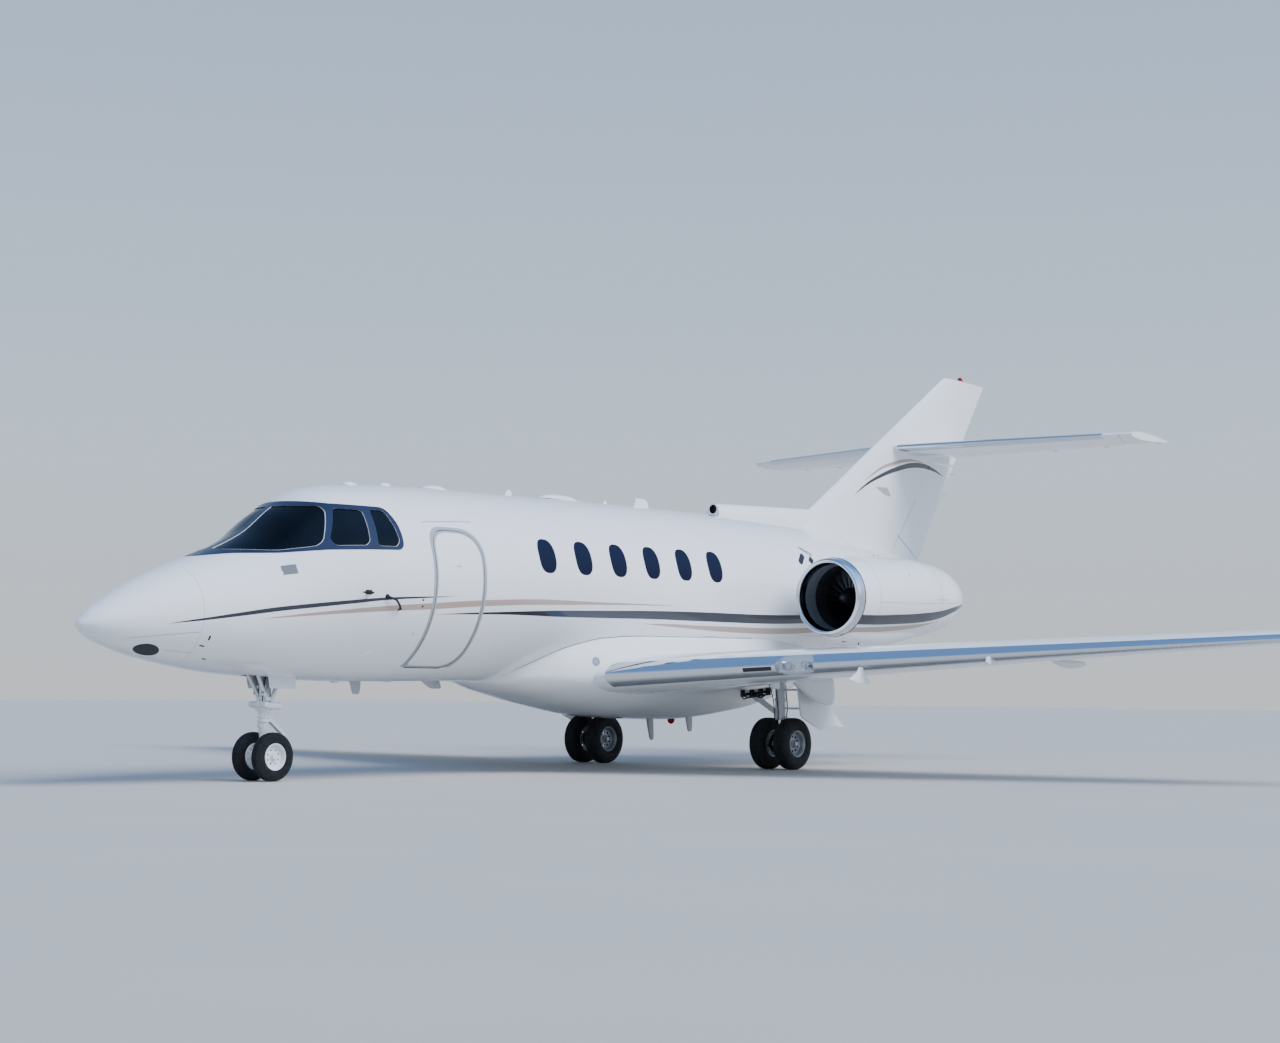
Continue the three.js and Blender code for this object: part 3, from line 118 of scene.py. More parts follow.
class SmoothTable:
    """Rows of sizes against a key, joined by curves that never run past a row."""

    def __init__(self, rows: Sequence[Row], root: bool = False) -> None:
        """Prepares the curves.

        Args:
            rows: the key first in each row, then the sizes.
            root: whether the curves run over the key's square root, for a blunt first end.
        """
        self.root = root
        self.keys = [self._key(row[0]) for row in rows]
        self.columns = list(zip(*[row[1:] for row in rows]))
        self.slopes = [self._slopes(column) for column in self.columns]

    def _key(self, value: float) -> float:
        """The key that the curves run over."""
        return math.sqrt(max(value, 0.0)) if self.root else value

    def _slopes(self, column: Sequence[float]) -> list[float]:
        """Slopes at the rows that keep each curve between its two rows."""
        gaps = [b - a for a, b in zip(self.keys, self.keys[1:])]
        rises = [(b - a) / gap for a, b, gap in zip(column, column[1:], gaps)]
        slopes = [rises[0]]
        for before, after, gap_before, gap_after in zip(rises, rises[1:], gaps, gaps[1:]):
            if before * after <= 0:
                slopes.append(0.0)
                continue
            first = 2 * gap_after + gap_before
            second = gap_after + 2 * gap_before
            slopes.append((first + second) / (first / before + second / after))
        return slopes + [rises[-1]]

    def at(self, value: float) -> list[float]:
        """The sizes at a key."""
        key = min(max(self._key(value), self.keys[0]), self.keys[-1])
        row = next(i for i in range(len(self.keys) - 1) if key <= self.keys[i + 1])
        gap = self.keys[row + 1] - self.keys[row]
        t = (key - self.keys[row]) / gap
        start, end = (1 + 2 * t) * (1 - t) ** 2, t * t * (3 - 2 * t)
        leave, enter = t * (1 - t) ** 2 * gap, t * t * (t - 1) * gap
        return [
            start * column[row] + end * column[row + 1] + leave * slope[row] + enter * slope[row + 1]
            for column, slope in zip(self.columns, self.slopes)
        ]


# Mesh helpers: every solid starts from one of Blender's own bmesh operators


def loft(rings: Sequence[Sequence[Vector]], closed: bool = True, capped: bool = True) -> Mesh:
    """A skin through rings of points.

    Args:
        rings: rings with the same number of points.
        closed: whether each ring runs round to its first point.
        capped: whether the two ends get a flat face.

    Returns:
        The mesh, with its faces turned outwards.
    """
    mesh = bmesh.new()
    around = len(rings[0]) if closed else len(rings[0]) - 1
    along = len(rings) - 1
    bmesh.ops.create_grid(mesh, x_segments=around, y_segments=along, size=0.5)
    for vertex in mesh.verts:
        column = round((vertex.co.x + 0.5) * around) % len(rings[0])
        vertex.co = rings[round((vertex.co.y + 0.5) * along)][column]
    bmesh.ops.remove_doubles(mesh, verts=mesh.verts, dist=MERGE_DISTANCE)
    if capped:
        open_edges = [edge for edge in mesh.edges if edge.is_boundary]
        bmesh.ops.holes_fill(mesh, edges=open_edges, sides=0)
    bmesh.ops.recalc_face_normals(mesh, faces=mesh.faces)
    return mesh


def sleeve(rings: Sequence[Sequence[Vector]], thick: float) -> Mesh:
    """A thin shell through open rings of points, with its thickness in metres."""
    shell = loft(rings, closed=False, capped=False)
    bmesh.ops.solidify(shell, geom=shell.faces, thickness=thick)
    bmesh.ops.recalc_face_normals(shell, faces=shell.faces)
    return shell


def prism(outline: Sequence[Vector], along: Vector) -> Mesh:
    """A flat outline drawn out along a direction."""
    mesh = bmesh.new()
    face = mesh.faces.new([mesh.verts.new(corner) for corner in outline])
    grown = bmesh.ops.extrude_face_region(mesh, geom=[face])["geom"]
    moved = [item for item in grown if isinstance(item, bmesh.types.BMVert)]
    bmesh.ops.translate(mesh, verts=moved, vec=along)
    bmesh.ops.recalc_face_normals(mesh, faces=mesh.faces)
    return mesh


def side_prism(outline: Outline, y0: float, y1: float) -> Mesh:
    """An outline of stations and heights, drawn out from one y to another, all in millimetres."""
    return prism([point(station, y0, z) for station, z in outline], Vector((0, (y1 - y0) * MM, 0)))


def block(low: Vector, high: Vector) -> Mesh:
    """A box between two corners, as a cutting tool or as the start of a piece."""
    mesh = bmesh.new()
    size = high - low
    place = Matrix.Translation((low + high) / 2) @ Matrix.Diagonal((size.x, size.y, size.z, 1))
    bmesh.ops.create_cube(mesh, size=1, matrix=place)
    return mesh


def bay(front: float, back: float, y0: float, y1: float, z0: float, z1: float) -> Mesh:
    """A box between two stations, all in millimetres."""
    return block(point(back, y0, z0), point(front, y1, z1))


def rod(
    start: Vector, end: Vector, radius: float, end_radius: Optional[float] = None, sides: int = 32,
) -> Mesh:
    """A round bar or cone from one point to another, radii in metres."""
    mesh = bmesh.new()
    along = end - start
    turn = along.to_track_quat("Z", "Y").to_matrix().to_4x4()
    place = Matrix.Translation((start + end) / 2) @ turn
    far = radius if end_radius is None else end_radius
    bmesh.ops.create_cone(
        mesh, cap_ends=True, segments=sides, radius1=radius, radius2=far, depth=along.length, matrix=place,
    )
    return mesh


def turned(profile: Outline, place: Matrix, sides: int = ROUND_STEPS) -> Mesh:
    """A solid turned about the X axis and then placed.

    Args:
        profile: distances along the axis and radii, in metres; it closes on itself or ends on the axis.
        place: where the turned solid goes.
        sides: steps of the spin.

    Returns:
        The turned mesh.
    """
    mesh = bmesh.new()
    corners = [mesh.verts.new((along, 0, radius)) for along, radius in profile]
    rim = [mesh.edges.new(pair) for pair in zip(corners, corners[1:])]
    if profile[0][1] > 0:
        rim.append(mesh.edges.new((corners[-1], corners[0])))
    bmesh.ops.spin(
        mesh, geom=corners + rim, cent=(0, 0, 0), axis=(1, 0, 0), angle=2 * math.pi, steps=sides,
        use_merge=True,
    )
    bmesh.ops.remove_doubles(mesh, verts=mesh.verts, dist=MERGE_DISTANCE)
    bmesh.ops.transform(mesh, matrix=place, verts=mesh.verts)
    bmesh.ops.recalc_face_normals(mesh, faces=mesh.faces)
    return mesh


def reflected(mesh: Mesh) -> Mesh:
    """The same mesh on the other side of the aircraft."""
    copy = mesh.copy()
    bmesh.ops.scale(copy, vec=(1, -1, 1), verts=copy.verts)
    bmesh.ops.reverse_faces(copy, faces=copy.faces)
    return copy


def joined(*meshes: Mesh) -> Mesh:
    """Several meshes as the loose shells of one."""
    whole = bmesh.new()
    for mesh in meshes:
        scratch = bpy.data.meshes.new("scratch")
        mesh.to_mesh(scratch)
        whole.from_mesh(scratch)
        bpy.data.meshes.remove(scratch)
    return whole


def set_finish(mesh: Mesh, index: int) -> Mesh:
    """Gives every face the finish of that place in the piece's list, and returns the mesh."""
    for face in mesh.faces:
        face.material_index = index
    return mesh


def carve(body: Mesh, mode: Carving, *tools: Mesh) -> Mesh:
    """Cuts, keeps or adds what the tools share with a body; new faces keep the tool's finish.

    Args:
        body: the solid that is worked on.
        mode: how the tools act on it.
        tools: the solids that act, one after another.

    Returns:
        The result as a new mesh; the body and the tools stay as they were.
    """
    objects = []
    for number, mesh in enumerate((body, *tools)):
        data = bpy.data.meshes.new(f"scratch_{number}")
        mesh.to_mesh(data)
        for _ in range(4):
            data.materials.append(None)
        thing = bpy.data.objects.new(f"scratch_{number}", data)
        bpy.context.scene.collection.objects.link(thing)
        objects.append(thing)
    for tool in objects[1:]:
        modifier = objects[0].modifiers.new("carve", "BOOLEAN")
        modifier.operation = mode.value
        modifier.solver = "EXACT"
        modifier.object = tool
    graph = bpy.context.evaluated_depsgraph_get()
    graph.update()
    result = bpy.data.meshes.new_from_object(objects[0].evaluated_get(graph))
    carved = bmesh.new()
    carved.from_mesh(result)
    bpy.data.meshes.remove(result)
    for thing in objects:
        data = thing.data
        bpy.data.objects.remove(thing)
        bpy.data.meshes.remove(data)
    bmesh.ops.remove_doubles(carved, verts=carved.verts, dist=MERGE_DISTANCE)
    bmesh.ops.dissolve_degenerate(carved, dist=MERGE_DISTANCE, edges=carved.edges)
    return carved


def rounded(outline: Outline, radii: Sequence[float], steps: int = 10) -> list[tuple[float, float]]:
    """The outline with each corner drawn as a curve that reaches its radius along both edges."""
    corners = [Vector(corner) for corner in outline]
    drawn = []
    for i, here in enumerate(corners):
        before, after = corners[i - 1], corners[(i + 1) % len(corners)]
        reach = min(radii[i], 0.45 * (here - before).length, 0.45 * (here - after).length)
        enter = here + (before - here).normalized() * reach
        leave = here + (after - here).normalized() * reach
        for step in range(steps + 1):
            t = step / steps
            spot = enter * (1 - t) ** 2 + here * 2 * t * (1 - t) + leave * t * t
            drawn.append((spot.x, spot.y))
    return drawn


def moved_out(outline: Outline, distance: float) -> list[tuple[float, float]]:
    """The outline with every edge moved outwards, or inwards where the distance is below zero."""
    corners = [Vector(corner) for corner in outline]
    area = sum(a.x * b.y - a.y * b.x for a, b in zip(corners, corners[1:] + corners[:1]))
    turn = 1 if area > 0 else -1
    moved = []
    for i, here in enumerate(corners):
        first = (here - corners[i - 1]).normalized()
        second = (corners[(i + 1) % len(corners)] - here).normalized()
        out_first = Vector((first.y, -first.x)) * turn
        out_second = Vector((second.y, -second.x)) * turn
        middle = (out_first + out_second).normalized()
        spot = here + middle * (distance / max(middle.dot(out_first), 0.3))
        moved.append((spot.x, spot.y))
    return moved


# Materials


def linear(colour: str) -> tuple[float, float, float, float]:
    """An sRGB hex colour as the linear colour that a shader takes."""
    channels = [int(colour[i:i + 2], 16) / 255 for i in (1, 3, 5)]
    return (*[c / 12.92 if c <= 0.04045 else ((c + 0.055) / 1.055) ** 2.4 for c in channels], 1.0)


def add_node(
    tree: Tree, kind: str, settings: Optional[dict] = None, inputs: Optional[dict] = None,
) -> bpy.types.Node:
    """Adds a node.

    Args:
        tree: the tree that it goes into.
        kind: Blender's name of the node's type.
        settings: its own settings by name.
        inputs: values or other nodes' outputs by socket name or number.

    Returns:
        The node.
    """
    node = tree.nodes.new(kind)
    for name, value in (settings or {}).items():
        setattr(node, name, value)
    for name, value in (inputs or {}).items():
        if isinstance(value, Socket):
            tree.links.new(value, node.inputs[name])
        else:
            node.inputs[name].default_value = value
    return node


# how far outside and inside its line a stripe's colour starts and is full, in metres
STRIPE_EDGE = (0.0006, -0.0012)


@dataclass(frozen=True)
class Stripe:
    """A painted line along the aircraft: its middle and half width against the station, in millimetres."""

    colour: str
    rows: tuple[tuple[float, float, float], ...]

    def mask(self, tree: Tree, station: Socket, height: Socket) -> Socket:
        """How much of the stripe's colour shows at a station and height.

        Args:
            tree: the material's tree.
            station: the station in metres.
            height: the height in metres.

        Returns:
            The output from 0 to 1.
        """
        keys = [row[0] * MM for row in self.rows]
        share = add_node(tree, "ShaderNodeMapRange", {"clamp": True}, {
            "Value": station, "From Min": keys[0], "From Max": keys[-1],
        }).outputs[0]
        lines = []
        for column in (1, 2):
            values = [row[column] * MM for row in self.rows]
            low, high = min(values), max(values)
            curve = add_node(tree, "ShaderNodeFloatCurve", None, {"Value": share})
            line = curve.mapping.curves[0]
            spots = [
                ((key - keys[0]) / (keys[-1] - keys[0]), (value - low) / (high - low))
                for key, value in zip(keys, values)
            ]
            line.points[0].location, line.points[1].location = spots[0], spots[-1]
            for spot in spots[1:-1]:
                line.points.new(*spot)
            for handle in line.points:
                handle.handle_type = "AUTO_CLAMPED"
            curve.mapping.update()
            lines.append(add_node(tree, "ShaderNodeMapRange", {"clamp": False}, {
                "Value": curve.outputs[0], "To Min": low, "To Max": high,
            }).outputs[0])
        away = add_node(tree, "ShaderNodeMath", {"operation": "SUBTRACT"}, {0: height, 1: lines[0]})
        size = add_node(tree, "ShaderNodeMath", {"operation": "ABSOLUTE"}, {0: away.outputs[0]})
        over = add_node(tree, "ShaderNodeMath", {"operation": "SUBTRACT"}, {0: size.outputs[0], 1: lines[1]})
        return add_node(tree, "ShaderNodeMapRange", {"clamp": True}, {
            "Value": over.outputs[0], "From Min": STRIPE_EDGE[0], "From Max": STRIPE_EDGE[1],
        }).outputs[0]


DARK_STRIPE = "#26272F"
TAN_STRIPE = "#B39E90"
HULL_STRIPES = (
    Stripe(DARK_STRIPE, (
        (640, 1420, 0), (748, 1438, 5), (961, 1470, 11), (1300, 1525, 17), (1635, 1578, 20), (1908, 1613, 20),
        (2401, 1671, 18), (2808, 1716, 13), (3384, 1755, 6), (3720, 1775, 0),
    )),
    Stripe(TAN_STRIPE, (
        (1450, 1480, 0), (1800, 1523, 10), (2156, 1561, 16), (2827, 1625, 25), (3352, 1665, 30),
        (4075, 1722, 31), (4400, 1742, 30), (4756, 1761, 30), (5200, 1773, 26), (5786, 1786, 15),
        (6500, 1802, 8), (6850, 1807, 5), (7240, 1814, 0),
    )),
    Stripe(DARK_STRIPE, (
        (3400, 1588, 0), (3900, 1614, 8), (4333, 1633, 13), (4925, 1652, 26), (5217, 1659, 33),
        (5868, 1675, 39), (6846, 1700, 46), (7600, 1709, 51), (9150, 1729, 52), (10200, 1790, 50),
        (11200, 1885, 40), (12200, 2010, 22), (13200, 2150, 0),
    )),
    Stripe(TAN_STRIPE, (
        (6560, 1601, 0), (7286, 1595, 18), (7660, 1588, 23), (8430, 1584, 33), (9225, 1594, 34),
        (10200, 1650, 30), (11200, 1750, 16), (12300, 1890, 0),
    )),
)
NACELLE_STRIPES = (
    Stripe(DARK_STRIPE, (
        (9000, 1712, 54), (9580, 1720, 56), (10000, 1740, 57), (10397, 1764, 57), (10927, 1820, 50),
        (11355, 1906, 34), (11900, 2010, 12), (12230, 2070, 0),
    )),
    Stripe(TAN_STRIPE, (
        (9000, 1588, 32), (9580, 1605, 32), (10000, 1632, 29), (10396, 1664, 26), (10700, 1700, 14),
        (11050, 1755, 0),
    )),
)
FIN_STRIPES = (
    Stripe(DARK_STRIPE, (
        (11990, 3465, 0), (12150, 3565, 10), (12525, 3743, 22), (13180, 3950, 34), (13500, 4015, 36),
        (13800, 4035, 34), (14100, 4010, 22), (14480, 3930, 0),
    )),
    Stripe(TAN_STRIPE, (
        (12230, 3680, 0), (12500, 3815, 14), (12750, 3926, 20), (13000, 3995, 23), (13258, 4055, 22),
        (13600, 4085, 12), (13900, 4080, 0),
    )),
)


# sizes of the patches in which a finish's colour and its gloss change, as numbers of its grains
MOTTLE_GRAINS = 40
WEAR_GRAINS = 25


@dataclass(frozen=True)
class Finish:
    """What every finish shares: a name, a base colour and the plain values of its shader."""

    name: str
    colour: str
    roughness: float = 0.5
    metallic: float = 0.0
    grain_mm: float = 4.0
    bump_mm: float = 0.05
    mottle: float = 0.06

    def shader_values(self) -> dict:
        """Constants for the shader's own sockets beyond the shared ones."""
        return {}

    def paint_colour(self, tree: Tree, place: Socket) -> Socket:
        """The colour before wear: the base colour, a little lighter and darker from place to place."""
        noise = add_node(tree, "ShaderNodeTexNoise", None, {
            "Vector": place, "Scale": 1 / (self.grain_mm * MM * MOTTLE_GRAINS),
            "Detail": 4.0, "Roughness": 0.55,
        })
        base = Vector(linear(self.colour)[:3])
        light, dark = base * (1 + self.mottle), base * (1 - self.mottle)
        return add_node(tree, "ShaderNodeMix", {"data_type": "RGBA"}, {
            "Factor": noise.outputs["Fac"], "A": (*dark, 1.0), "B": (*light, 1.0),
        }).outputs["Result"]

    def relief(self, tree: Tree, place: Socket) -> Socket:
        """The height that the bump reads."""
        return add_node(tree, "ShaderNodeTexNoise", None, {
            "Vector": place, "Scale": 1 / (self.grain_mm * MM), "Detail": 2.0,
        }).outputs["Fac"]

    def material(self) -> bpy.types.Material:
        """The finish as a material, made once and then shared."""
        made = bpy.data.materials.get(self.name)
        if made:
            return made
        made = bpy.data.materials.new(self.name)
        made.use_nodes = True
        tree = made.node_tree
        tree.nodes.clear()
        place = add_node(tree, "ShaderNodeTexCoord").outputs["Object"]
        spread = add_node(tree, "ShaderNodeTexNoise", None, {
            "Vector": place, "Scale": 1 / (self.grain_mm * MM * WEAR_GRAINS), "Detail": 3.0,
        })
        rough = add_node(tree, "ShaderNodeMapRange", {"clamp": True}, {
            "Value": spread.outputs["Fac"], "From Min": 0.3, "From Max": 0.7,
            "To Min": self.roughness * 0.85, "To Max": min(1.0, self.roughness * 1.2 + 0.01),
        })
        bump = add_node(tree, "ShaderNodeBump", None, {
            "Height": self.relief(tree, place), "Distance": self.bump_mm * MM, "Strength": 0.5,
        })
        shader = add_node(tree, "ShaderNodeBsdfPrincipled", None, {
            "Base Color": self.paint_colour(tree, place), "Metallic": self.metallic,
            "Roughness": rough.outputs[0], "Normal": bump.outputs[0], **self.shader_values(),
        })
        add_node(tree, "ShaderNodeOutputMaterial", None, {"Surface": shader.outputs[0]})
        return made


@dataclass(frozen=True)
class GlossPaint(Finish):
    """Polyurethane aircraft paint, sprayed and polished: clear reflections over a very fine orange peel."""

    stripes: tuple[Stripe, ...] = ()
    coat: float = 0.6

    def shader_values(self) -> dict:
        """A clear coat over the colour."""
        return {"Coat Weight": self.coat, "Coat Roughness": 0.04, "IOR": 1.5}

    def paint_colour(self, tree: Tree, place: Socket) -> Socket:
        """White with the stripes painted along the aircraft by station and height."""
        colour = super().paint_colour(tree, place)
        if not self.stripes:
            return colour
        axes = add_node(tree, "ShaderNodeSeparateXYZ", None, {0: place})
        station = add_node(tree, "ShaderNodeMath", {"operation": "SUBTRACT"}, {
            0: NOSE_X, 1: axes.outputs["X"],
        })
        for stripe in self.stripes:
            mask = stripe.mask(tree, station.outputs[0], axes.outputs["Z"])
            colour = add_node(tree, "ShaderNodeMix", {"data_type": "RGBA"}, {
                "Factor": mask, "A": colour, "B": linear(stripe.colour),
            }).outputs["Result"]
        return colour


@dataclass(frozen=True)
class TintedGlass(Finish):
    """Tinted acrylic: near black from outside, with a sharp reflection and a little see-through."""

    see_through: float = 0.35

    def shader_values(self) -> dict:
        """Part of the light goes through."""
        return {
            "Transmission Weight": self.see_through, "IOR": 1.49,
            "Specular IOR Level": 0.15, "Coat Weight": 0.04,
        }


def white_gloss(name: str, stripes: tuple[Stripe, ...] = ()) -> GlossPaint:
    """The aircraft's white, with the stripes that one part of it carries."""
    return GlossPaint(name, "#F3F4F5", 0.16, 0, 3.0, 0.02, 0.01, stripes)


# Sprayed and polished polyurethane: clean white with clear, slightly soft reflections.
WHITE_PAINT = white_gloss("gloss_white_polyurethane_paint")
# The same white on the hull, with the thin cheat lines masked and sprayed along it.
HULL_PAINT = white_gloss("hull_paint_with_stripes", HULL_STRIPES)
# The same white on the nacelles, with the two bands that carry the hull's lines on.
NACELLE_PAINT = white_gloss("nacelle_paint_with_stripes", NACELLE_STRIPES)
# The same white on the fin, with two arcs that taper to nothing at both ends.
FIN_PAINT = white_gloss("fin_paint_with_arcs", FIN_STRIPES)
# Blue enamel with a little metal flake: the frame round the cockpit panes reads dark slate blue.
FRAME_PAINT = GlossPaint("windscreen_frame_blue_enamel", "#20253D", 0.34, 0.2, 3.0, 0.02, 0.03, (), 0.25)
# Brushed white enamel on castings: a shade duller and softer than the skins.
GEAR_PAINT = GlossPaint("gear_leg_white_enamel", "#E4E6E8", 0.3, 0, 2.0, 0.05, 0.03)
# Bare aluminium buffed to a mirror: leading edges and lips pick up floor and sky.
POLISHED = Finish("polished_aluminium", "#D9DCE0", 0.09, 1.0, 1.5, 0.01, 0.03)
# Cast and lacquered magnesium: pale, matt, a little uneven.
WHEEL_METAL = Finish("cast_magnesium_wheel", "#A6A9AE", 0.4, 0.7, 1.0, 0.08, 0.08)
# Nickel alloy darkened by heat: a dull, brown-black exhaust.
DARK_METAL = Finish("soot_darkened_nickel_alloy", "#3C3E42", 0.5, 0.9, 1.0, 0.08, 0.12)
# Forged titanium blades deep in the duct: their grey is darkened as painted shade, with soft streaks of
# light.
SHADED_FAN_METAL = Finish("titanium_blade_darkened_as_shade", "#5A5C60", 0.35, 1.0, 0.8, 0.02, 0.05)
# Bare lining behind the lip: a grey band, ahead of the black painted shade deeper in the duct.
DUCT_METAL = Finish("bare_duct_lining", "#8F9499", 0.45, 0.6, 1.0, 0.05, 0.05)
# Anodised plates of the air sensors: small flat grey marks.
PLATE_METAL = Finish("anodised_sensor_plate", "#868582", 0.45, 0.4, 1.0, 0.03, 0.05)
# Black perforated lining, used as painted shade: the duct behind the grey band, out to the exhaust, is made
# black for the shadow inside it.
DUCT_PAINTED_SHADE = Finish("black_painted_duct_shade", "#15171A", 0.8, 0, 1.5, 0.2, 0.1)
# Display glass: black with a faint mirror.
SCREEN = TintedGlass("dark_display_glass", "#0A1018", 0.08, 0, 8.0, 0.01, 0.02, 0.0)
# Waxed cord of the seats' seams: a fine tan line.
THREAD = Finish("waxed_seam_cord", "#8E7C62", 0.7, 0, 0.5, 0.1, 0.1)
# Moulded tyre rubber: near black, matt, faintly mottled.
RUBBER = Finish("vulcanised_black_rubber", "#17181A", 0.78, 0, 1.2, 0.12, 0.2)
# Silicone round the panes: the thin pale line inside the frame.
SEAL = Finish("pale_silicone_seal", "#A4A9AE", 0.5, 0, 1.0, 0.03, 0.04)
# Brushed stainless: small bright fittings with soft highlights.
STEEL = Finish("brushed_stainless_steel", "#B4B7BB", 0.28, 1.0, 0.8, 0.03, 0.05)
# Ground hard chrome: the legs' pistons, mirror bright.
CHROME = Finish("hard_chrome_piston", "#E2E5E8", 0.06, 1.0, 2.0, 0.005, 0.01)
# Grey erosion coating: duller than the white skins beside it.
AERIAL_PAINT = GlossPaint("grey_erosion_paint", "#A9ABAD", 0.35, 0, 2.0, 0.03, 0.03)
# Red lens: a small bright spot at the left tip and on the fin.
RED_GLASS = TintedGlass("red_borosilicate_lens", "#B3121E", 0.08, 0, 8.0, 0.01, 0.02, 0.3)
# Green lens: a small bright spot at the right tip.
GREEN_GLASS = TintedGlass("green_borosilicate_lens", "#0E7A44", 0.08, 0, 8.0, 0.01, 0.02, 0.3)
# Clear cover of the landing lamps: the bowls show through it.
CLEAR_GLASS = TintedGlass("clear_lamp_cover", "#F3F6FA", 0.02, 0, 8.0, 0.01, 0.01, 0.96)
# Grey sealant in the joints: hairlines between panels.
SEALANT = Finish("grey_joint_sealant", "#6F7378", 0.7, 0, 1.0, 0.03, 0.05)
# Smoke-tinted cockpit panes: near black, with a soft reflection of the sky.
GLASS = TintedGlass("smoke_tinted_stretched_acrylic", "#020304", 0.05, 0, 8.0, 0.01, 0.02, 0.06)
# Blue-tinted cabin panes: deep blue ovals from outside.
CABIN_GLASS = TintedGlass("blue_tinted_stretched_acrylic", "#060B2B", 0.06, 0, 8.0, 0.01, 0.02, 0.06)
# Wall lining of the cabin: warm pale grey behind the open door.
LINING = Finish("cabin_wall_lining", "#CFC6B8", 0.8, 0, 0.8, 0.05, 0.04)
# Dyed and creased seat leather: tan with a soft sheen.
LEATHER = Finish("dyed_seat_leather", "#B9A78C", 0.5, 0, 1.4, 0.12, 0.08)
# Cut-pile carpet: a dark, matt floor.
CARPET = Finish("cut_pile_carpet", "#6B6358", 0.95, 0, 2.0, 1.0, 0.2)
# Moulded black plastic: vents, probe and small covers, satin black.
PLASTIC = Finish("moulded_black_plastic", "#222428", 0.5, 0, 0.6, 0.04, 0.06)


class Slots(Enum):
    """The record's material slots."""

    WHITE = "white_paint"
    RADOME = "radome_paint"
    GEAR = "gear_paint"
    POLISHED = "polished_metal"
    WHEEL = "wheel_metal"
    FAN = "fan_metal"
    ENGINE = "engine_metal"
    TYRE = "tyre"
    GLASS = "window_glass"
    LEATHER = "seat_leather"
    CARPET = "carpet"
    PLASTIC = "panel_plastic"


def publish(
    mesh: Mesh, name: str, body: str, finishes: Sequence[Finish], slot: Slots,
    replaces: Sequence[str] = (), sharp: float = SHARP_ANGLE,
) -> bpy.types.Object:
    """Makes a finished mesh a piece of the object.

    Args:
        mesh: the mesh, in place.
        name: the piece's name.
        body: the CAD body that it rides on.
        finishes: its finishes, in the order of the faces' numbers.
        slot: the record's material slot; not used.
        replaces: CAD nodes that it stands for.
        sharp: the angle above which an edge stays sharp.

    Returns:
        The new object.
    """
    data = bpy.data.meshes.new(name)
    mesh.to_mesh(data)
    mesh.free()
    for finish in finishes:
        data.materials.append(finish.material())
    data.shade_smooth()
    data.set_sharp_from_angle(angle=sharp)
    piece = bpy.data.objects.new(name, data)
    bpy.context.scene.collection.objects.link(piece)
    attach(piece, body)
    if replaces:
        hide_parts(*replaces)
    log.info("%s: %d faces on %s", name, len(data.polygons), body)
    return piece


def publish_pair(
    mesh: Mesh, name: str, body: str, finishes: Sequence[Finish], slot: Slots, replaces: str = "",
) -> None:
    """Publishes a left piece and its mirror image.

    Args:
        mesh: the left piece, in place.
        name: the pieces' name before the side.
        body: the CAD body that both ride on, or its name up to _ where each side has its own.
        finishes: their finishes, in the order of the faces' numbers.
        slot: the record's material slot.
        replaces: the CAD nodes that they stand for, named up to the side.
    """
    for side, sign in SIDES:
        shape = mesh.copy() if sign > 0 else reflected(mesh)
        rides = f"{body}{side}" if body.endswith("_") else body
        stands_for = (f"{replaces}{side}",) if replaces else ()
        publish(shape, f"{name}_{side}", rides, finishes, slot, stands_for)
    mesh.free()


# Aerofoils


@dataclass(frozen=True)
class Aerofoil:
    """A wing section with a little camber and a thin squared trailing edge."""

    thickness: float
    camber: float = 0.0
    edge: float = 0.003

    def half_thickness(self, x: float) -> float:
        """Half the thickness at a share of the chord, as a share of the chord."""
        shape = 1.4845 * math.sqrt(x) - 0.63 * x - 1.758 * x ** 2 + 1.4215 * x ** 3 - 0.518 * x ** 4
        return self.thickness * shape + self.edge * x / 2

    def line(self, x: float) -> float:
        """Height of the middle line at a share of the chord."""
        return 4 * self.camber * x * (1 - x)

    def outline(self, steps: int = 28) -> list[tuple[float, float]]:
        """Points from the trailing edge over the top to the leading edge and back."""
        shares = [(1 - math.cos(math.pi * i / steps)) / 2 for i in range(steps + 1)]
        upper = [(x, self.line(x) + self.half_thickness(x)) for x in reversed(shares)]
        return upper + [(x, self.line(x) - self.half_thickness(x)) for x in shares[1:]]


@dataclass(frozen=True)
class Section:
    """One aerofoil standing in the part's frame, in metres."""

    lead: Vector
    chord: float
    foil: Aerofoil
    up: Vector
    twist: float = 0.0

    def spot(self, along: float, high: float) -> Vector:
        """The point at a share of the chord aft and a height as a share of the chord."""
        turn = math.radians(self.twist)
        aft = Vector((-math.cos(turn), 0, 0)) - self.up * math.sin(turn)
        normal = self.up * math.cos(turn) + Vector((-math.sin(turn), 0, 0))
        return self.lead + aft * (along * self.chord) + normal * (high * self.chord)

    def ring(self) -> list[Vector]:
        """The whole outline in place."""
        return [self.spot(along, high) for along, high in self.foil.outline()]

    def nose(self, upper: float, lower: float, proud: float, steps: int = 14) -> list[Vector]:
        """A sleeve round the leading edge.

        Args:
            upper: how far it reaches over the top, as a share of the chord.
            lower: how far it reaches under the bottom.
            proud: how far it stands off the skin, in metres.
            steps: points on each side.

        Returns:
            The points from the upper edge round the nose to the lower edge.
        """
        lift = proud / self.chord
        points = []
        for i in range(steps, -steps - 1, -1):
            reach = upper if i >= 0 else lower
            x = reach * (i / steps) ** 2
            side = 1 if i >= 0 else -1
            high = self.foil.line(x) + side * (self.foil.half_thickness(x) + lift * (1 if i else 0))
            points.append(self.spot(x - lift * (1 - abs(i) / steps), high))
        return points

    def half_metres(self, share: float) -> float:
        """Half the thickness at a share of the chord, in metres."""
        return self.foil.half_thickness(share) * self.chord


# how much of the wing's thickness at its hinge line a panel's round nose takes
NOSE_SHARE = 0.98


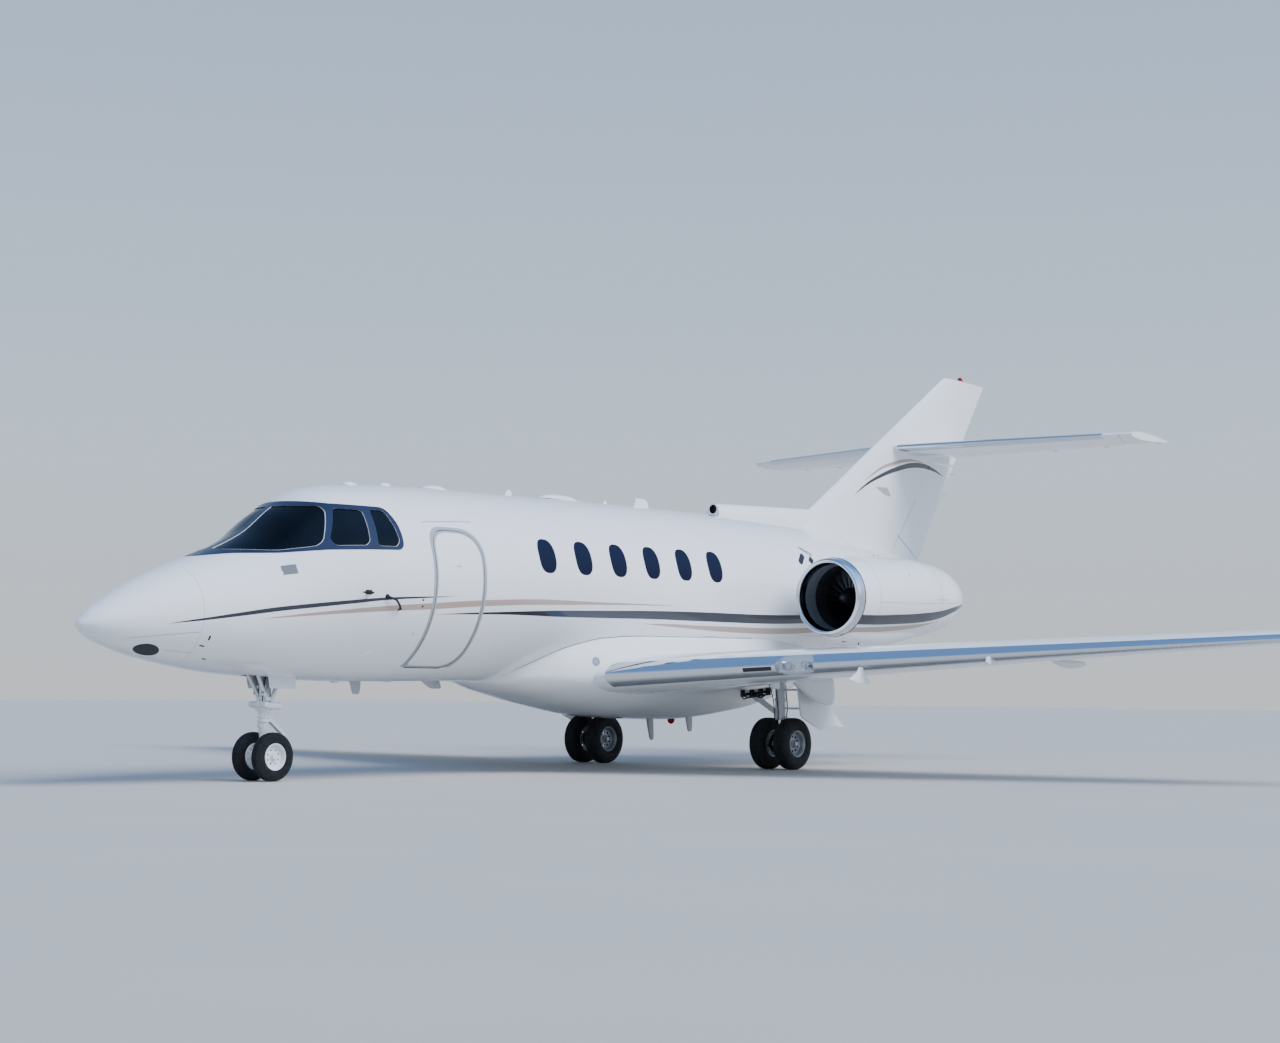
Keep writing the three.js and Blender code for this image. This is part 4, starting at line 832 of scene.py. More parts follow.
@dataclass(frozen=True)
class Hinge:
    """A hinge line with the nose radius of its panel at both ends, in metres."""

    inner: Vector
    outer: Vector
    inner_radius: float
    outer_radius: float

    def axes(self) -> tuple[Vector, Vector, Vector]:
        """Unit directions along the hinge, aft of it and up from it."""
        along = (self.outer - self.inner).normalized()
        aft = Vector((-along.y, along.x, 0)).normalized()
        return along, aft, along.cross(aft)

    def tools(self, grow: float, past_outer: float = 0.0, horn: Optional[float] = None) -> list[Mesh]:
        """Solids that hold the panel behind the hinge line.

        Args:
            grow: how far they stand off the panel.
            past_outer: how far they run on beyond the outer end.
            horn: distance along the hinge beyond which the whole chord belongs to the panel.

        Returns:
            A block behind the line, a cone about it and, with a horn, a block ahead of it.
        """
        along, aft, up = self.axes()
        start, end = self.inner - along * grow, self.outer + along * (grow + past_outer)
        reach, tall = 1.6, 0.3

        def slab(near: Vector, back0: float, back1: float) -> Mesh:
            """A block between two distances behind the hinge line."""
            rings = [
                [base + aft * back + up * lift for back, lift in (
                    (back0, -tall), (back1, -tall), (back1, tall), (back0, tall),
                )] for base in (near, end)
            ]
            return loft(rings)

        solids = [
            slab(start, 0, reach),
            rod(start, end, self.inner_radius * NOSE_SHARE + grow, self.outer_radius * NOSE_SHARE + grow, 48),
        ]
        if horn is not None:
            solids.append(slab(self.inner + along * (horn - grow), -reach, 0.001))
        return solids

    def lip(self, depth: float, share: float) -> Mesh:
        """The lower lip ahead of the hinge that is cut back for a flap's foot."""
        along, aft, up = self.axes()
        past, low, behind = along * 0.01, -0.3, 0.001
        ends = ((self.inner - past, self.inner_radius), (self.outer + past, self.outer_radius))
        return loft([
            [base + aft * back + up * lift for back, lift in (
                (-depth, low), (behind, low), (behind, -share * half), (-depth, -share * half),
            )] for base, half in ends
        ])


# clearance round a moving panel, in metres
PANEL_GAP = 0.007


def split_panel(whole: Mesh, hinge: Hinge, **ends: float) -> Mesh:
    """The moving panel that a hinge's solids cut out of a wing."""
    solids = hinge.tools(0.0, **ends)
    return carve(whole, Carving.SHARE, carve(solids[0], Carving.JOIN, *solids[1:]))


# Hull


HULL_TABLE = SmoothTable(HULL, root=True)
FAIRING_TABLE = SmoothTable(FAIRING)


def hull_ring(station: float, offset: float = 0.0) -> list[Vector]:
    """The hull's section at a station, moved outwards by an offset, in millimetres."""
    top, bottom, half = HULL_TABLE.at(station)
    middle, high = (top + bottom) / 2, (top - bottom) / 2 + offset
    wide = half + offset
    return [point(station, wide * across, middle + high * up) for across, up in circle(ROUND_STEPS, 0.5)]


def hull_solid(front: float, back: float, offset: float = 0.0, pitch: float = 70.0) -> Mesh:
    """The hull between two stations as a closed solid; the nose tip gets closer rings."""
    steps = max(4, math.ceil((back - front) / pitch))
    stations = spread(front, back, steps) if front else spread(front, back, 26, 2)
    return loft([hull_ring(station, offset) for station in stations])


def hull_layer(
    tool: Mesh, ends: tuple[float, float], outer: float, inner: float, past: float = 10, pitch: float = 40,
) -> Mesh:
    """What a tool shares with one layer of the hull's skin, in millimetres.

    Args:
        tool: a solid that runs across the skin.
        ends: stations that hold the layer.
        outer: how far its outer face stands off the skin.
        inner: how far its inner face stands off the skin; new faces there take the second finish.
        past: how far the inner tool runs on beyond both ends.
        pitch: how far apart the rings of both tools lie.

    Returns:
        The shared layer.
    """
    front, back = ends
    within = set_finish(hull_solid(front - past, back + past, inner, pitch), 1)
    return carve(carve(tool, Carving.SHARE, hull_solid(front, back, outer, pitch)), Carving.CUT, within)


def hull_half_width(station: float, z: float) -> float:
    """Half width of the hull at a station and height, in millimetres."""
    top, bottom, half = HULL_TABLE.at(station)
    share = (z - (top + bottom) / 2) / ((top - bottom) / 2)
    return half * math.sqrt(max(0.0, 1 - share * share))


@dataclass
class Hull:
    """Hull sections with their windows, cabin, doorway and windscreen frame, in millimetres."""

    radome_end: float = 950
    nose_end: float = 1400
    cockpit_end: float = 3300
    cabin_end: float = 9450
    tail_end: float = 14750
    cavity: tuple[float, float] = (1620, 9350)
    floor_top: float = 1230
    window_first: float = 5027
    window_pitch: float = 569
    window_count: int = 6
    window_z: float = 2245
    window_rise: float = 0.013
    window_half: tuple[float, float] = (130, 178)
    window_squareness: float = 0.76
    pane_ends: tuple[float, float] = (1200, 3400)
    window_ends: tuple[float, float] = (4700, 8200)
    # how far a pane's outer and inner face, the frame's and the seals' stand off the hull's skin
    pane_depths: tuple[float, float] = (-5, -16)
    frame_depths: tuple[float, float] = (2.5, -8)
    seal_depths: tuple[float, float] = (1.2, -6)
    pane_play: float = 1.5
    window_play: float = 2
    panes: tuple[Outline, ...] = (
        ((1390, 2132), (1775, 2129), (2100, 2182), (2175, 2232), (2335, 2530), (2325, 2580), (1390, 2580)),
        ((2240, 2252), (2282, 2194), (2604, 2214), (2652, 2256), (2705, 2561), (2416, 2561)),
        ((2732, 2215), (2948, 2219), (3000, 2276), (2991, 2412), (2955, 2576), (2792, 2568)),
    )
    centre_post: float = 40
    frame_outline: Outline = (
        (1180, 2060), (1413, 2090), (1760, 2102), (2181, 2148), (2600, 2172), (2985, 2188), (3033, 2229),
        (3046, 2330), (3039, 2465), (2985, 2608), (2423, 2612), (2214, 2634), (2150, 2642), (2100, 2700),
        (2080, 2800), (1180, 2800),
    )
    frame_radii: tuple[float, ...] = (10, 30, 30, 30, 30, 50, 40, 40, 90, 60, 20, 20, 30, 10, 10, 10)
    frame_ends: tuple[float, float] = (1100, 3400)
    door_outline: Outline = ((3400, 1075), (4060, 1075), (4060, 2425), (3400, 2425))
    door_corners: tuple[float, ...] = (60, 180, 300, 220)
    door_gap: float = 7
    door_sill_gap: float = 10
    bay_size: tuple[float, ...] = (1760, 2380, 150, 800, 1180)
    rear_bay: tuple[float, ...] = (11100, 11600, -200, 200, 900, 1900)
    seam: float = 0.3
    radome_joint: float = 1.5
    # columns: station of a lower corner of the doorway, which way is inwards, its radius
    door_reliefs: tuple[tuple[float, int, float], ...] = ((3400, 1, 60), (4060, -1, 180))
    door_ends: tuple[float, float] = (3340, 4120)
    door_hinge_y: float = 481
    door_play: float = 10
    # how wide the seal is on the doorway's frame and on the door's own edge
    seal_wide: tuple[float, float] = (30, 18)

    def window_tool(self, shrink: float, y0: float, y1: float) -> Mesh:
        """Six upright ovals that run across the cabin, each a little squarer than an ellipse."""
        bars = []
        wide, high = self.window_half
        for i in range(self.window_count):
            station = self.window_first + self.window_pitch * i
            middle = self.window_z + self.window_rise * self.window_pitch * i
            bars.append(side_prism([(
                station + (wide - shrink) * squared(across, self.window_squareness),
                middle + (high - shrink) * squared(up, self.window_squareness),
            ) for across, up in circle(48)], y0, y1))
        return joined(*bars)

    def pane_tool(self, shrink: float) -> Mesh:
        """The three cockpit panes of the left side, drawn out across the hull."""
        bars = []
        for outline in self.panes:
            small = moved_out(outline, -shrink)
            bars.append(side_prism(rounded(small, [45] * len(small)), self.centre_post + shrink, 1100))
        return joined(*bars)

    def door_shape(self, gap: float, sill_gap: float) -> list[tuple[float, float]]:
        """Outline of the doorway, or of the door inside it."""
        (front, sill), (back, _), (_, head), _ = self.door_outline
        ahead, behind, low, high = front + gap, back - gap, sill + sill_gap, head - gap
        corners = [(ahead, low), (behind, low), (behind, high), (ahead, high)]
        return rounded(corners, self.door_corners, 16)

    def build(self) -> None:
        """Makes the five hull sections."""
        front, back = self.cavity
        cavity = carve(
            hull_solid(front, back, -SKIN_WALL), Carving.CUT, bay(0, 15600, -1200, 1200, 0, self.floor_top),
        )
        cavity = set_finish(cavity, 1)
        glazing = self.pane_tool(0)
        mirror_glazing = reflected(glazing)
        door_hole = side_prism(self.door_shape(0, 0), 405, 1100)
        bay_front, bay_back, half, low, roof = self.bay_size
        gear_bay = set_finish(bay(bay_front, bay_back, -half, half, low, roof), 1)
        radome = hull_solid(0, self.radome_end - self.radome_joint)
        publish(radome, "radome_shell", "airframe", [HULL_PAINT], Slots.RADOME, ["radome"])
        nose = hull_solid(self.radome_end + self.radome_joint, self.nose_end - self.seam)
        publish(nose, "nose_skin", "airframe", [HULL_PAINT], Slots.WHITE, ["nose_section"])
        cockpit = hull_solid(self.nose_end, self.cockpit_end - self.seam, 0, 50)
        cockpit = carve(cockpit, Carving.CUT, cavity, glazing, mirror_glazing, gear_bay)
        publish(cockpit, "cockpit_skin", "airframe", [HULL_PAINT, LINING], Slots.WHITE, ["cockpit_section"])
        windows = set_finish(self.window_tool(0, -1100, 1100), 2)
        cabin = hull_solid(self.cockpit_end, self.cabin_end - self.seam)
        cabin = carve(cabin, Carving.CUT, cavity, windows, door_hole)
        publish(cabin, "cabin_skin", "airframe", [HULL_PAINT, LINING, SEAL], Slots.WHITE, ["cabin_section"])
        rear = carve(hull_solid(self.cabin_end, self.tail_end), Carving.CUT, bay(*self.rear_bay))
        publish(rear, "rear_skin", "airframe", [HULL_PAINT], Slots.WHITE, ["rear_section"])

    def glaze(self) -> None:
        """Makes the panes and the frame round the windscreen."""
        tool = self.pane_tool(self.pane_play)
        panes = set_finish(hull_layer(tool, self.pane_ends, *self.pane_depths, 50), 0)
        publish_pair(panes, "cockpit_panes", "airframe", [GLASS], Slots.GLASS, "cockpit_glass_")
        tool = self.window_tool(self.window_play, 500, 1100)
        windows = set_finish(hull_layer(tool, self.window_ends, *self.pane_depths, 100, 70), 0)
        publish_pair(windows, "cabin_panes", "airframe", [CABIN_GLASS], Slots.GLASS, "cabin_windows_")

        shape = side_prism(rounded(self.frame_outline, self.frame_radii, 6), -1100, 1100)
        band = set_finish(hull_layer(shape, self.frame_ends, *self.frame_depths, 50), 0)
        holes = self.pane_tool(-self.pane_play)
        band = carve(band, Carving.CUT, holes, reflected(holes))
        publish(band, "windscreen_frame", "airframe", [FRAME_PAINT], Slots.GLASS)

    def hang_door(self) -> None:
        """Makes the entrance door and the pale seal that runs round it."""
        shape = side_prism(self.door_shape(self.door_gap, self.door_sill_gap), 420, 1100)
        door = self.relieved(hull_layer(shape, self.door_ends, 0, -SKIN_WALL))
        publish(
            door, "entrance_door_skin", "entrance_door", [HULL_PAINT, LINING], Slots.WHITE, ["entrance_door"],
        )
        outside, inset = -self.seal_wide[0], self.door_gap + self.seal_wide[1]
        ring = side_prism(self.door_shape(outside, outside), 500, 1100)
        hole = side_prism(self.door_shape(0, 0), 300, 1200)
        seal = carve(hull_layer(ring, self.door_ends, *self.seal_depths), Carving.CUT, hole)
        publish(set_finish(seal, 0), "doorway_seal", "airframe", [SEAL], Slots.WHITE)
        ring = side_prism(self.door_shape(self.door_gap, self.door_sill_gap), 430, 1100)
        hole = side_prism(self.door_shape(inset, inset), 300, 1200)
        seal = self.relieved(carve(hull_layer(ring, self.door_ends, *self.seal_depths), Carving.CUT, hole))
        publish(set_finish(seal, 0), "door_edge_seal", "entrance_door", [SEAL], Slots.WHITE)

    def relieved(self, mesh: Mesh) -> Mesh:
        """The mesh with what would swing into the doorway's lower corners cut away."""
        for station, inwards, corner in self.door_reliefs:
            mesh = carve(mesh, Carving.CUT, self.door_relief(station, inwards, corner))
        return mesh

    def door_relief(self, station: float, inwards: int, corner: float) -> Mesh:
        """What would swing into a lower corner of the doorway, as a solid turned about the door's hinge."""
        hinge_y, sill = self.door_hinge_y, self.door_outline[0][1]
        profile = []
        for share in spread(0, 1, 16):
            rise = corner * (1 - share) ** 2
            out = hull_half_width(station, sill + rise) - hinge_y
            across = (corner * share ** 2 + self.door_gap) * inwards
            profile.append((across, math.hypot(out, rise) + self.door_play))
        near, far = (corner + self.door_gap) * inwards, -3 * self.door_gap * inwards
        ring = [(near, 0.0), *reversed(profile), (far, profile[0][1]), (far, 0.0)]
        place = Matrix.Translation(point(station, hinge_y, sill)) @ Matrix.Scale(-1, 4, Vector((1, 0, 0)))
        return turned([(along * MM, radius * MM) for along, radius in ring], place, 64)


# power that squares off the fairing's section below its widest line
FAIRING_SQUARENESS = 0.82


def fairing_ring(station: float, offset: float = 0.0) -> list[Vector]:
    """The belly fairing's section at a station, squarer in its lower half, in millimetres."""
    half, bottom, middle, top = FAIRING_TABLE.at(station)
    ring = []
    for across, up in circle(ROUND_STEPS, 0.5):
        power = FAIRING_SQUARENESS if up < 0 else 1.0
        wide, high = half + offset, (middle - bottom if up < 0 else top - middle) + offset
        ring.append(point(station, wide * squared(across, power), middle + high * squared(up, power)))
    return ring


def fairing_solid(offset: float = 0.0) -> Mesh:
    """The whole fairing, blunt at the front and drawn out to a thin tail."""
    stations = spread(FAIRING[0][0], FAIRING[-1][0], 80, 1.3)
    return loft([fairing_ring(station, offset) for station in stations])


@dataclass
class Wings:
    """Wings with flaps, ailerons, winglets and polished leading edges, in millimetres."""

    tip_y: float = 7830
    lead: tuple[float, float] = (5420, 0.44)
    trail: tuple[float, float] = (8830, 0.135)
    height: tuple[float, float] = (968, 0.062)
    twist: tuple[float, float] = (1.35, -3.85)
    thickness: tuple[float, float] = (0.14, 0.11)
    camber: float = 0.015
    start_y: float = 420
    # columns: outboard, up, lead station offset, chord, cant in degrees, thickness ratio
    winglet: tuple[tuple[float, ...], ...] = (
        (0, 0, 0, 1020, 0, 0.11), (140, 25, 75, 930, 22, 0.1), (260, 110, 190, 810, 50, 0.095),
        (335, 250, 330, 690, 70, 0.09), (400, 520, 560, 540, 78, 0.085), (450, 860, 830, 370, 79, 0.08),
    )
    flap: tuple[float, float, float] = (2050, 4850, 0.74)
    aileron: tuple[float, float, float] = (4960, 7440, 0.76)
    # how far ahead of the flap's hinge the lower lip is cut back, in metres, and from which share of half
    # the thickness down
    flap_lip: tuple[float, float] = (0.055, 0.7)
    # the polished edge: where it starts, its reach over and under as shares of the chord, and in metres how
    # far it stands off the skin and how thick it is
    edge_start: float = 1010
    edge_reach: tuple[float, float] = (0.055, 0.05)
    edge_proud: float = 0.0012
    edge_thick: float = 0.0035
    fit: float = 0.5

    def section(self, y: float) -> Section:
        """The wing's section at a y."""
        share = y / self.tip_y
        lead = self.lead[0] + self.lead[1] * y
        chord = self.trail[0] + self.trail[1] * y - lead
        foil = Aerofoil(mix(*self.thickness, share), self.camber)
        height = self.height[0] + self.height[1] * y
        return Section(point(lead, y, height), chord * MM, foil, Vector((0, 0, 1)), mix(*self.twist, share))

    def hinge(self, panel: tuple[float, float, float]) -> Hinge:
        """The hinge line of a flap or aileron."""
        inner_y, outer_y, share = panel
        ends = [self.section(y) for y in (inner_y, outer_y)]
        spots = [end.spot(share, end.foil.line(share)) for end in ends]
        return Hinge(spots[0], spots[1], ends[0].half_metres(share), ends[1].half_metres(share))

    def winglet_sections(self) -> list[Section]:
        """The winglet's sections, from the wing's tip upwards and outwards."""
        root = self.section(self.tip_y + 0.3).lead
        table = SmoothTable([(i, *row) for i, row in enumerate(self.winglet)])
        sections = []
        for step in range(31):
            outboard, up, aft, chord, cant, thickness = table.at(step / 6)
            tilt = math.radians(cant)
            lead = root + Vector((-aft, outboard, up)) * MM
            normal = Vector((0, -math.sin(tilt), math.cos(tilt)))
            foil = Aerofoil(thickness, 0.01)
            sections.append(Section(lead, chord * MM, foil, normal, self.twist[1] * math.cos(tilt)))
        return sections

    def build(self) -> None:
        """Makes both wings and what moves on them."""
        whole = loft([self.section(y).ring() for y in spread(self.start_y, self.tip_y, 24)])
        hull, belly = hull_solid(5000, 9400, self.fit), fairing_solid(self.fit)
        wing = carve(whole, Carving.CUT, belly, hull, EdgeDetails().pocket())
        for name, panel in (("flap", self.flap), ("aileron", self.aileron)):
            hinge = self.hinge(panel)
            piece = split_panel(whole, hinge)
            publish_pair(piece, f"{name}_skin", f"{name}_", [WHITE_PAINT], Slots.WHITE, f"{name}_")
            tools = hinge.tools(PANEL_GAP)
            if name == "flap":
                tools.append(hinge.lip(*self.flap_lip))
            wing = carve(wing, Carving.CUT, *tools)
        publish_pair(wing, "wing_skin", "airframe", [WHITE_PAINT, POLISHED], Slots.WHITE, "wing_")
        sections = self.winglet_sections()
        winglet = loft([section.ring() for section in sections])
        publish_pair(winglet, "winglet_skin", "airframe", [WHITE_PAINT], Slots.WHITE, "winglet_")
        belly = carve(fairing_solid(), Carving.CUT, hull_solid(4800, 11200, 0.3))
        publish(belly, "belly_fairing_skin", "airframe", [WHITE_PAINT], Slots.WHITE, ["belly_fairing"])
        self.edge()

    def edge(self) -> None:
        """Makes the polished leading edges, from near the root out to the wing's tip."""
        span = spread(self.edge_start, self.tip_y, 32)
        rings = [self.section(y).nose(*self.edge_reach, self.edge_proud) for y in span]
        strip = sleeve(rings, self.edge_thick)
        strip = carve(strip, Carving.CUT, set_finish(EdgeDetails().pocket(), 0))
        publish_pair(strip, "wing_leading_edge", "airframe", [POLISHED], Slots.POLISHED)


@dataclass
class Fin:
    """Fin, rudder and the long fairing ahead of them, in millimetres."""

    low_z: float = 2450
    top_z: float = 5360
    lead: tuple[float, float] = (9862, 14470)
    trail: tuple[float, float] = (13560, 15600)
    thickness: tuple[float, float] = (0.075, 0.085)
    dorsal: tuple[float, float] = (9060, 11200)
    dorsal_half: tuple[float, float] = (95, 70)
    dorsal_top: tuple[float, float] = (3150, 3235)
    dorsal_root: float = 2880
    hinge_low: tuple[float, float] = (12980, 2800)
    hinge_top: tuple[float, float] = (14140, 4222)
    rudder_front_z: float = 3020
    rudder_back_z: float = 2730
    rudder_top: float = 4100
    # clearance of the rudder ahead of it, under it and over it
    rudder_gaps: tuple[float, float, float] = (7, 14, 30)
    # the round mouth of the fairing: how far it lies under its top, and its radius in metres
    mouth: tuple[float, float] = (73, 0.055)
    fit: float = 0.3

    def section(self, z: float) -> Section:
        """The fin's section at a height."""
        share = (z - self.low_z) / (self.top_z - self.low_z)
        lead = mix(*self.lead, share)
        chord = mix(*self.trail, share) - lead
        foil = Aerofoil(mix(*self.thickness, share))
        return Section(point(lead, 0, z), chord * MM, foil, Vector((0, 1, 0)))

    def solid(self) -> Mesh:
        """The whole fin with its rudder."""
        return loft([self.section(z).ring() for z in spread(self.low_z, self.top_z, 20)])

    def hinge_station(self, z: float) -> float:
        """Station of the rudder's hinge line at a height."""
        (low_s, low_z), (top_s, top_z) = self.hinge_low, self.hinge_top
        return mix(low_s, top_s, (z - low_z) / (top_z - low_z))

    def hinge_half(self, z: float) -> float:
        """Half the fin's thickness at the hinge line, in metres."""
        section = self.section(z)
        share = (self.hinge_station(z) * MM - (NOSE_X - section.lead.x)) / section.chord
        return section.half_metres(min(max(share, 0.02), 0.98))

    def rudder_tool(self, grow: float, low_gap: float, top_gap: float) -> Mesh:
        """The region of the rudder, or of the recess that it turns in, in millimetres.

        Args:
            grow: clearance ahead of the hinge line's round nose.
            low_gap: clearance under the rudder's foot.
            top_gap: clearance over its top.

        Returns:
            The region as one solid.
        """
        low, back = self.rudder_front_z - low_gap, self.rudder_back_z - low_gap
        top = self.rudder_top + top_gap
        far = self.hinge_station(top) + 1600
        share = (back - self.low_z) / (self.top_z - self.low_z)
        slope = (back - low) / (mix(*self.trail, share) - self.hinge_station(low))
        ahead = self.hinge_station(low) - 300

        def rise(station: float) -> float:
            """Height of the rudder's sloping foot at a station."""
            return low + slope * (station - self.hinge_station(low))

        blade = side_prism([
            (self.hinge_station(low), low), (far, rise(far)), (far, top), (self.hinge_station(top), top),
        ], -300, 300)
        slab = side_prism([(ahead, rise(ahead)), (far, rise(far)), (far, top), (ahead, top)], -300, 300)
        ends = (low - 300, top + 300)
        cone = rod(
            point(self.hinge_station(ends[0]), 0, ends[0]), point(self.hinge_station(ends[1]), 0, ends[1]),
            *(self.hinge_half(end) * NOSE_SHARE + grow * MM for end in ends), 48,
        )
        return carve(blade, Carving.JOIN, carve(cone, Carving.SHARE, slab))

    def build(self) -> None:
        """Makes the fin, the rudder and the fairing with its round mouth, black inside as painted shade."""
        whole = self.solid()
        rudder = carve(whole, Carving.SHARE, self.rudder_tool(0, 0, 0))
        publish(rudder, "rudder_skin", "rudder", [FIN_PAINT], Slots.WHITE, ["rudder"])
        recess, hull = self.rudder_tool(*self.rudder_gaps), hull_solid(9000, HULL[-1][0], self.fit)
        fin = carve(whole, Carving.CUT, recess, hull)
        publish(fin, "fin_skin", "airframe", [FIN_PAINT], Slots.WHITE, ["fin"])
        rings = []
        for share in spread(0, 1, 40):
            station = mix(*self.dorsal, share)
            top, half = mix(*self.dorsal_top, share), mix(*self.dorsal_half, share)
            high = (top - self.dorsal_root) / 2
            middle = self.dorsal_root + high
            rings.append([
                point(station, half * across, middle + high * up) for across, up in circle(48, 0.5)
            ])
        front, mouth_z = self.dorsal[0], self.dorsal_top[0] - self.mouth[0]
        mouth = rod(point(front - 50, 0, mouth_z), point(front + 60, 0, mouth_z + 5), self.mouth[1], None, 48)
        # the mouth's walls take the black plastic as painted shade inside the opening
        dorsal = carve(loft(rings), Carving.CUT, hull_solid(9000, 11400, self.fit), set_finish(mouth, 1))
        finishes = [WHITE_PAINT, PLASTIC]
        publish(dorsal, "dorsal_fairing_skin", "airframe", finishes, Slots.WHITE, ["dorsal_fairing"])


@dataclass
class Tailplane:
    """Tailplanes and elevators with their horns, in millimetres."""

    tip_y: float = 3050
    lead: tuple[float, float] = (12970, 14129)
    trail: tuple[float, float] = (14610, 15255)
    height: tuple[float, float] = (4215, 4300)
    thickness: tuple[float, float] = (0.1, 0.09)
    inner_y: float = 520
    horn_y: float = 2700
    hinge_share: float = 0.68
    # how far the elevator's region runs on beyond the tip, in metres
    past_tip: float = 0.6
    edge_start: float = 130
    edge_reach: float = 0.07
    edge_proud: float = 0.001
    edge_thick: float = 0.003

    def section(self, y: float) -> Section:
        """The tailplane's section at a y."""
        share = y / self.tip_y
        lead = mix(*self.lead, share)
        chord = mix(*self.trail, share) - lead
        height = mix(*self.height, share)
        foil = Aerofoil(mix(*self.thickness, share))
        return Section(point(lead, y, height), chord * MM, foil, Vector((0, 0, 1)))

    def build(self) -> None:
        """Makes both halves."""
        whole = loft([self.section(y).ring() for y in spread(0, self.tip_y, 16)])
        inner, outer, horn = (self.section(y) for y in (self.inner_y, self.tip_y, self.horn_y))
        spots = [section.spot(self.hinge_share, 0) for section in (inner, outer, horn)]
        hinge = Hinge(spots[0], spots[1], *(end.half_metres(self.hinge_share) for end in (inner, outer)))
        horn_at = (spots[2] - spots[0]).length
        elevator = split_panel(whole, hinge, past_outer=self.past_tip, horn=horn_at)
        publish_pair(elevator, "elevator_skin", "elevator_", [WHITE_PAINT], Slots.WHITE, "elevator_")
        fin = Fin().solid()
        tail = carve(whole, Carving.CUT, *hinge.tools(PANEL_GAP, past_outer=self.past_tip, horn=horn_at), fin)
        publish_pair(tail, "tailplane_skin", "airframe", [WHITE_PAINT], Slots.WHITE, "tailplane_")
        reach, span = self.edge_reach, spread(self.edge_start, self.horn_y - 12, 16)
        rings = [self.section(y).nose(reach, reach, self.edge_proud) for y in span]
        strip = sleeve(rings, self.edge_thick)
        publish_pair(strip, "tail_leading_edge", "airframe", [POLISHED], Slots.POLISHED)


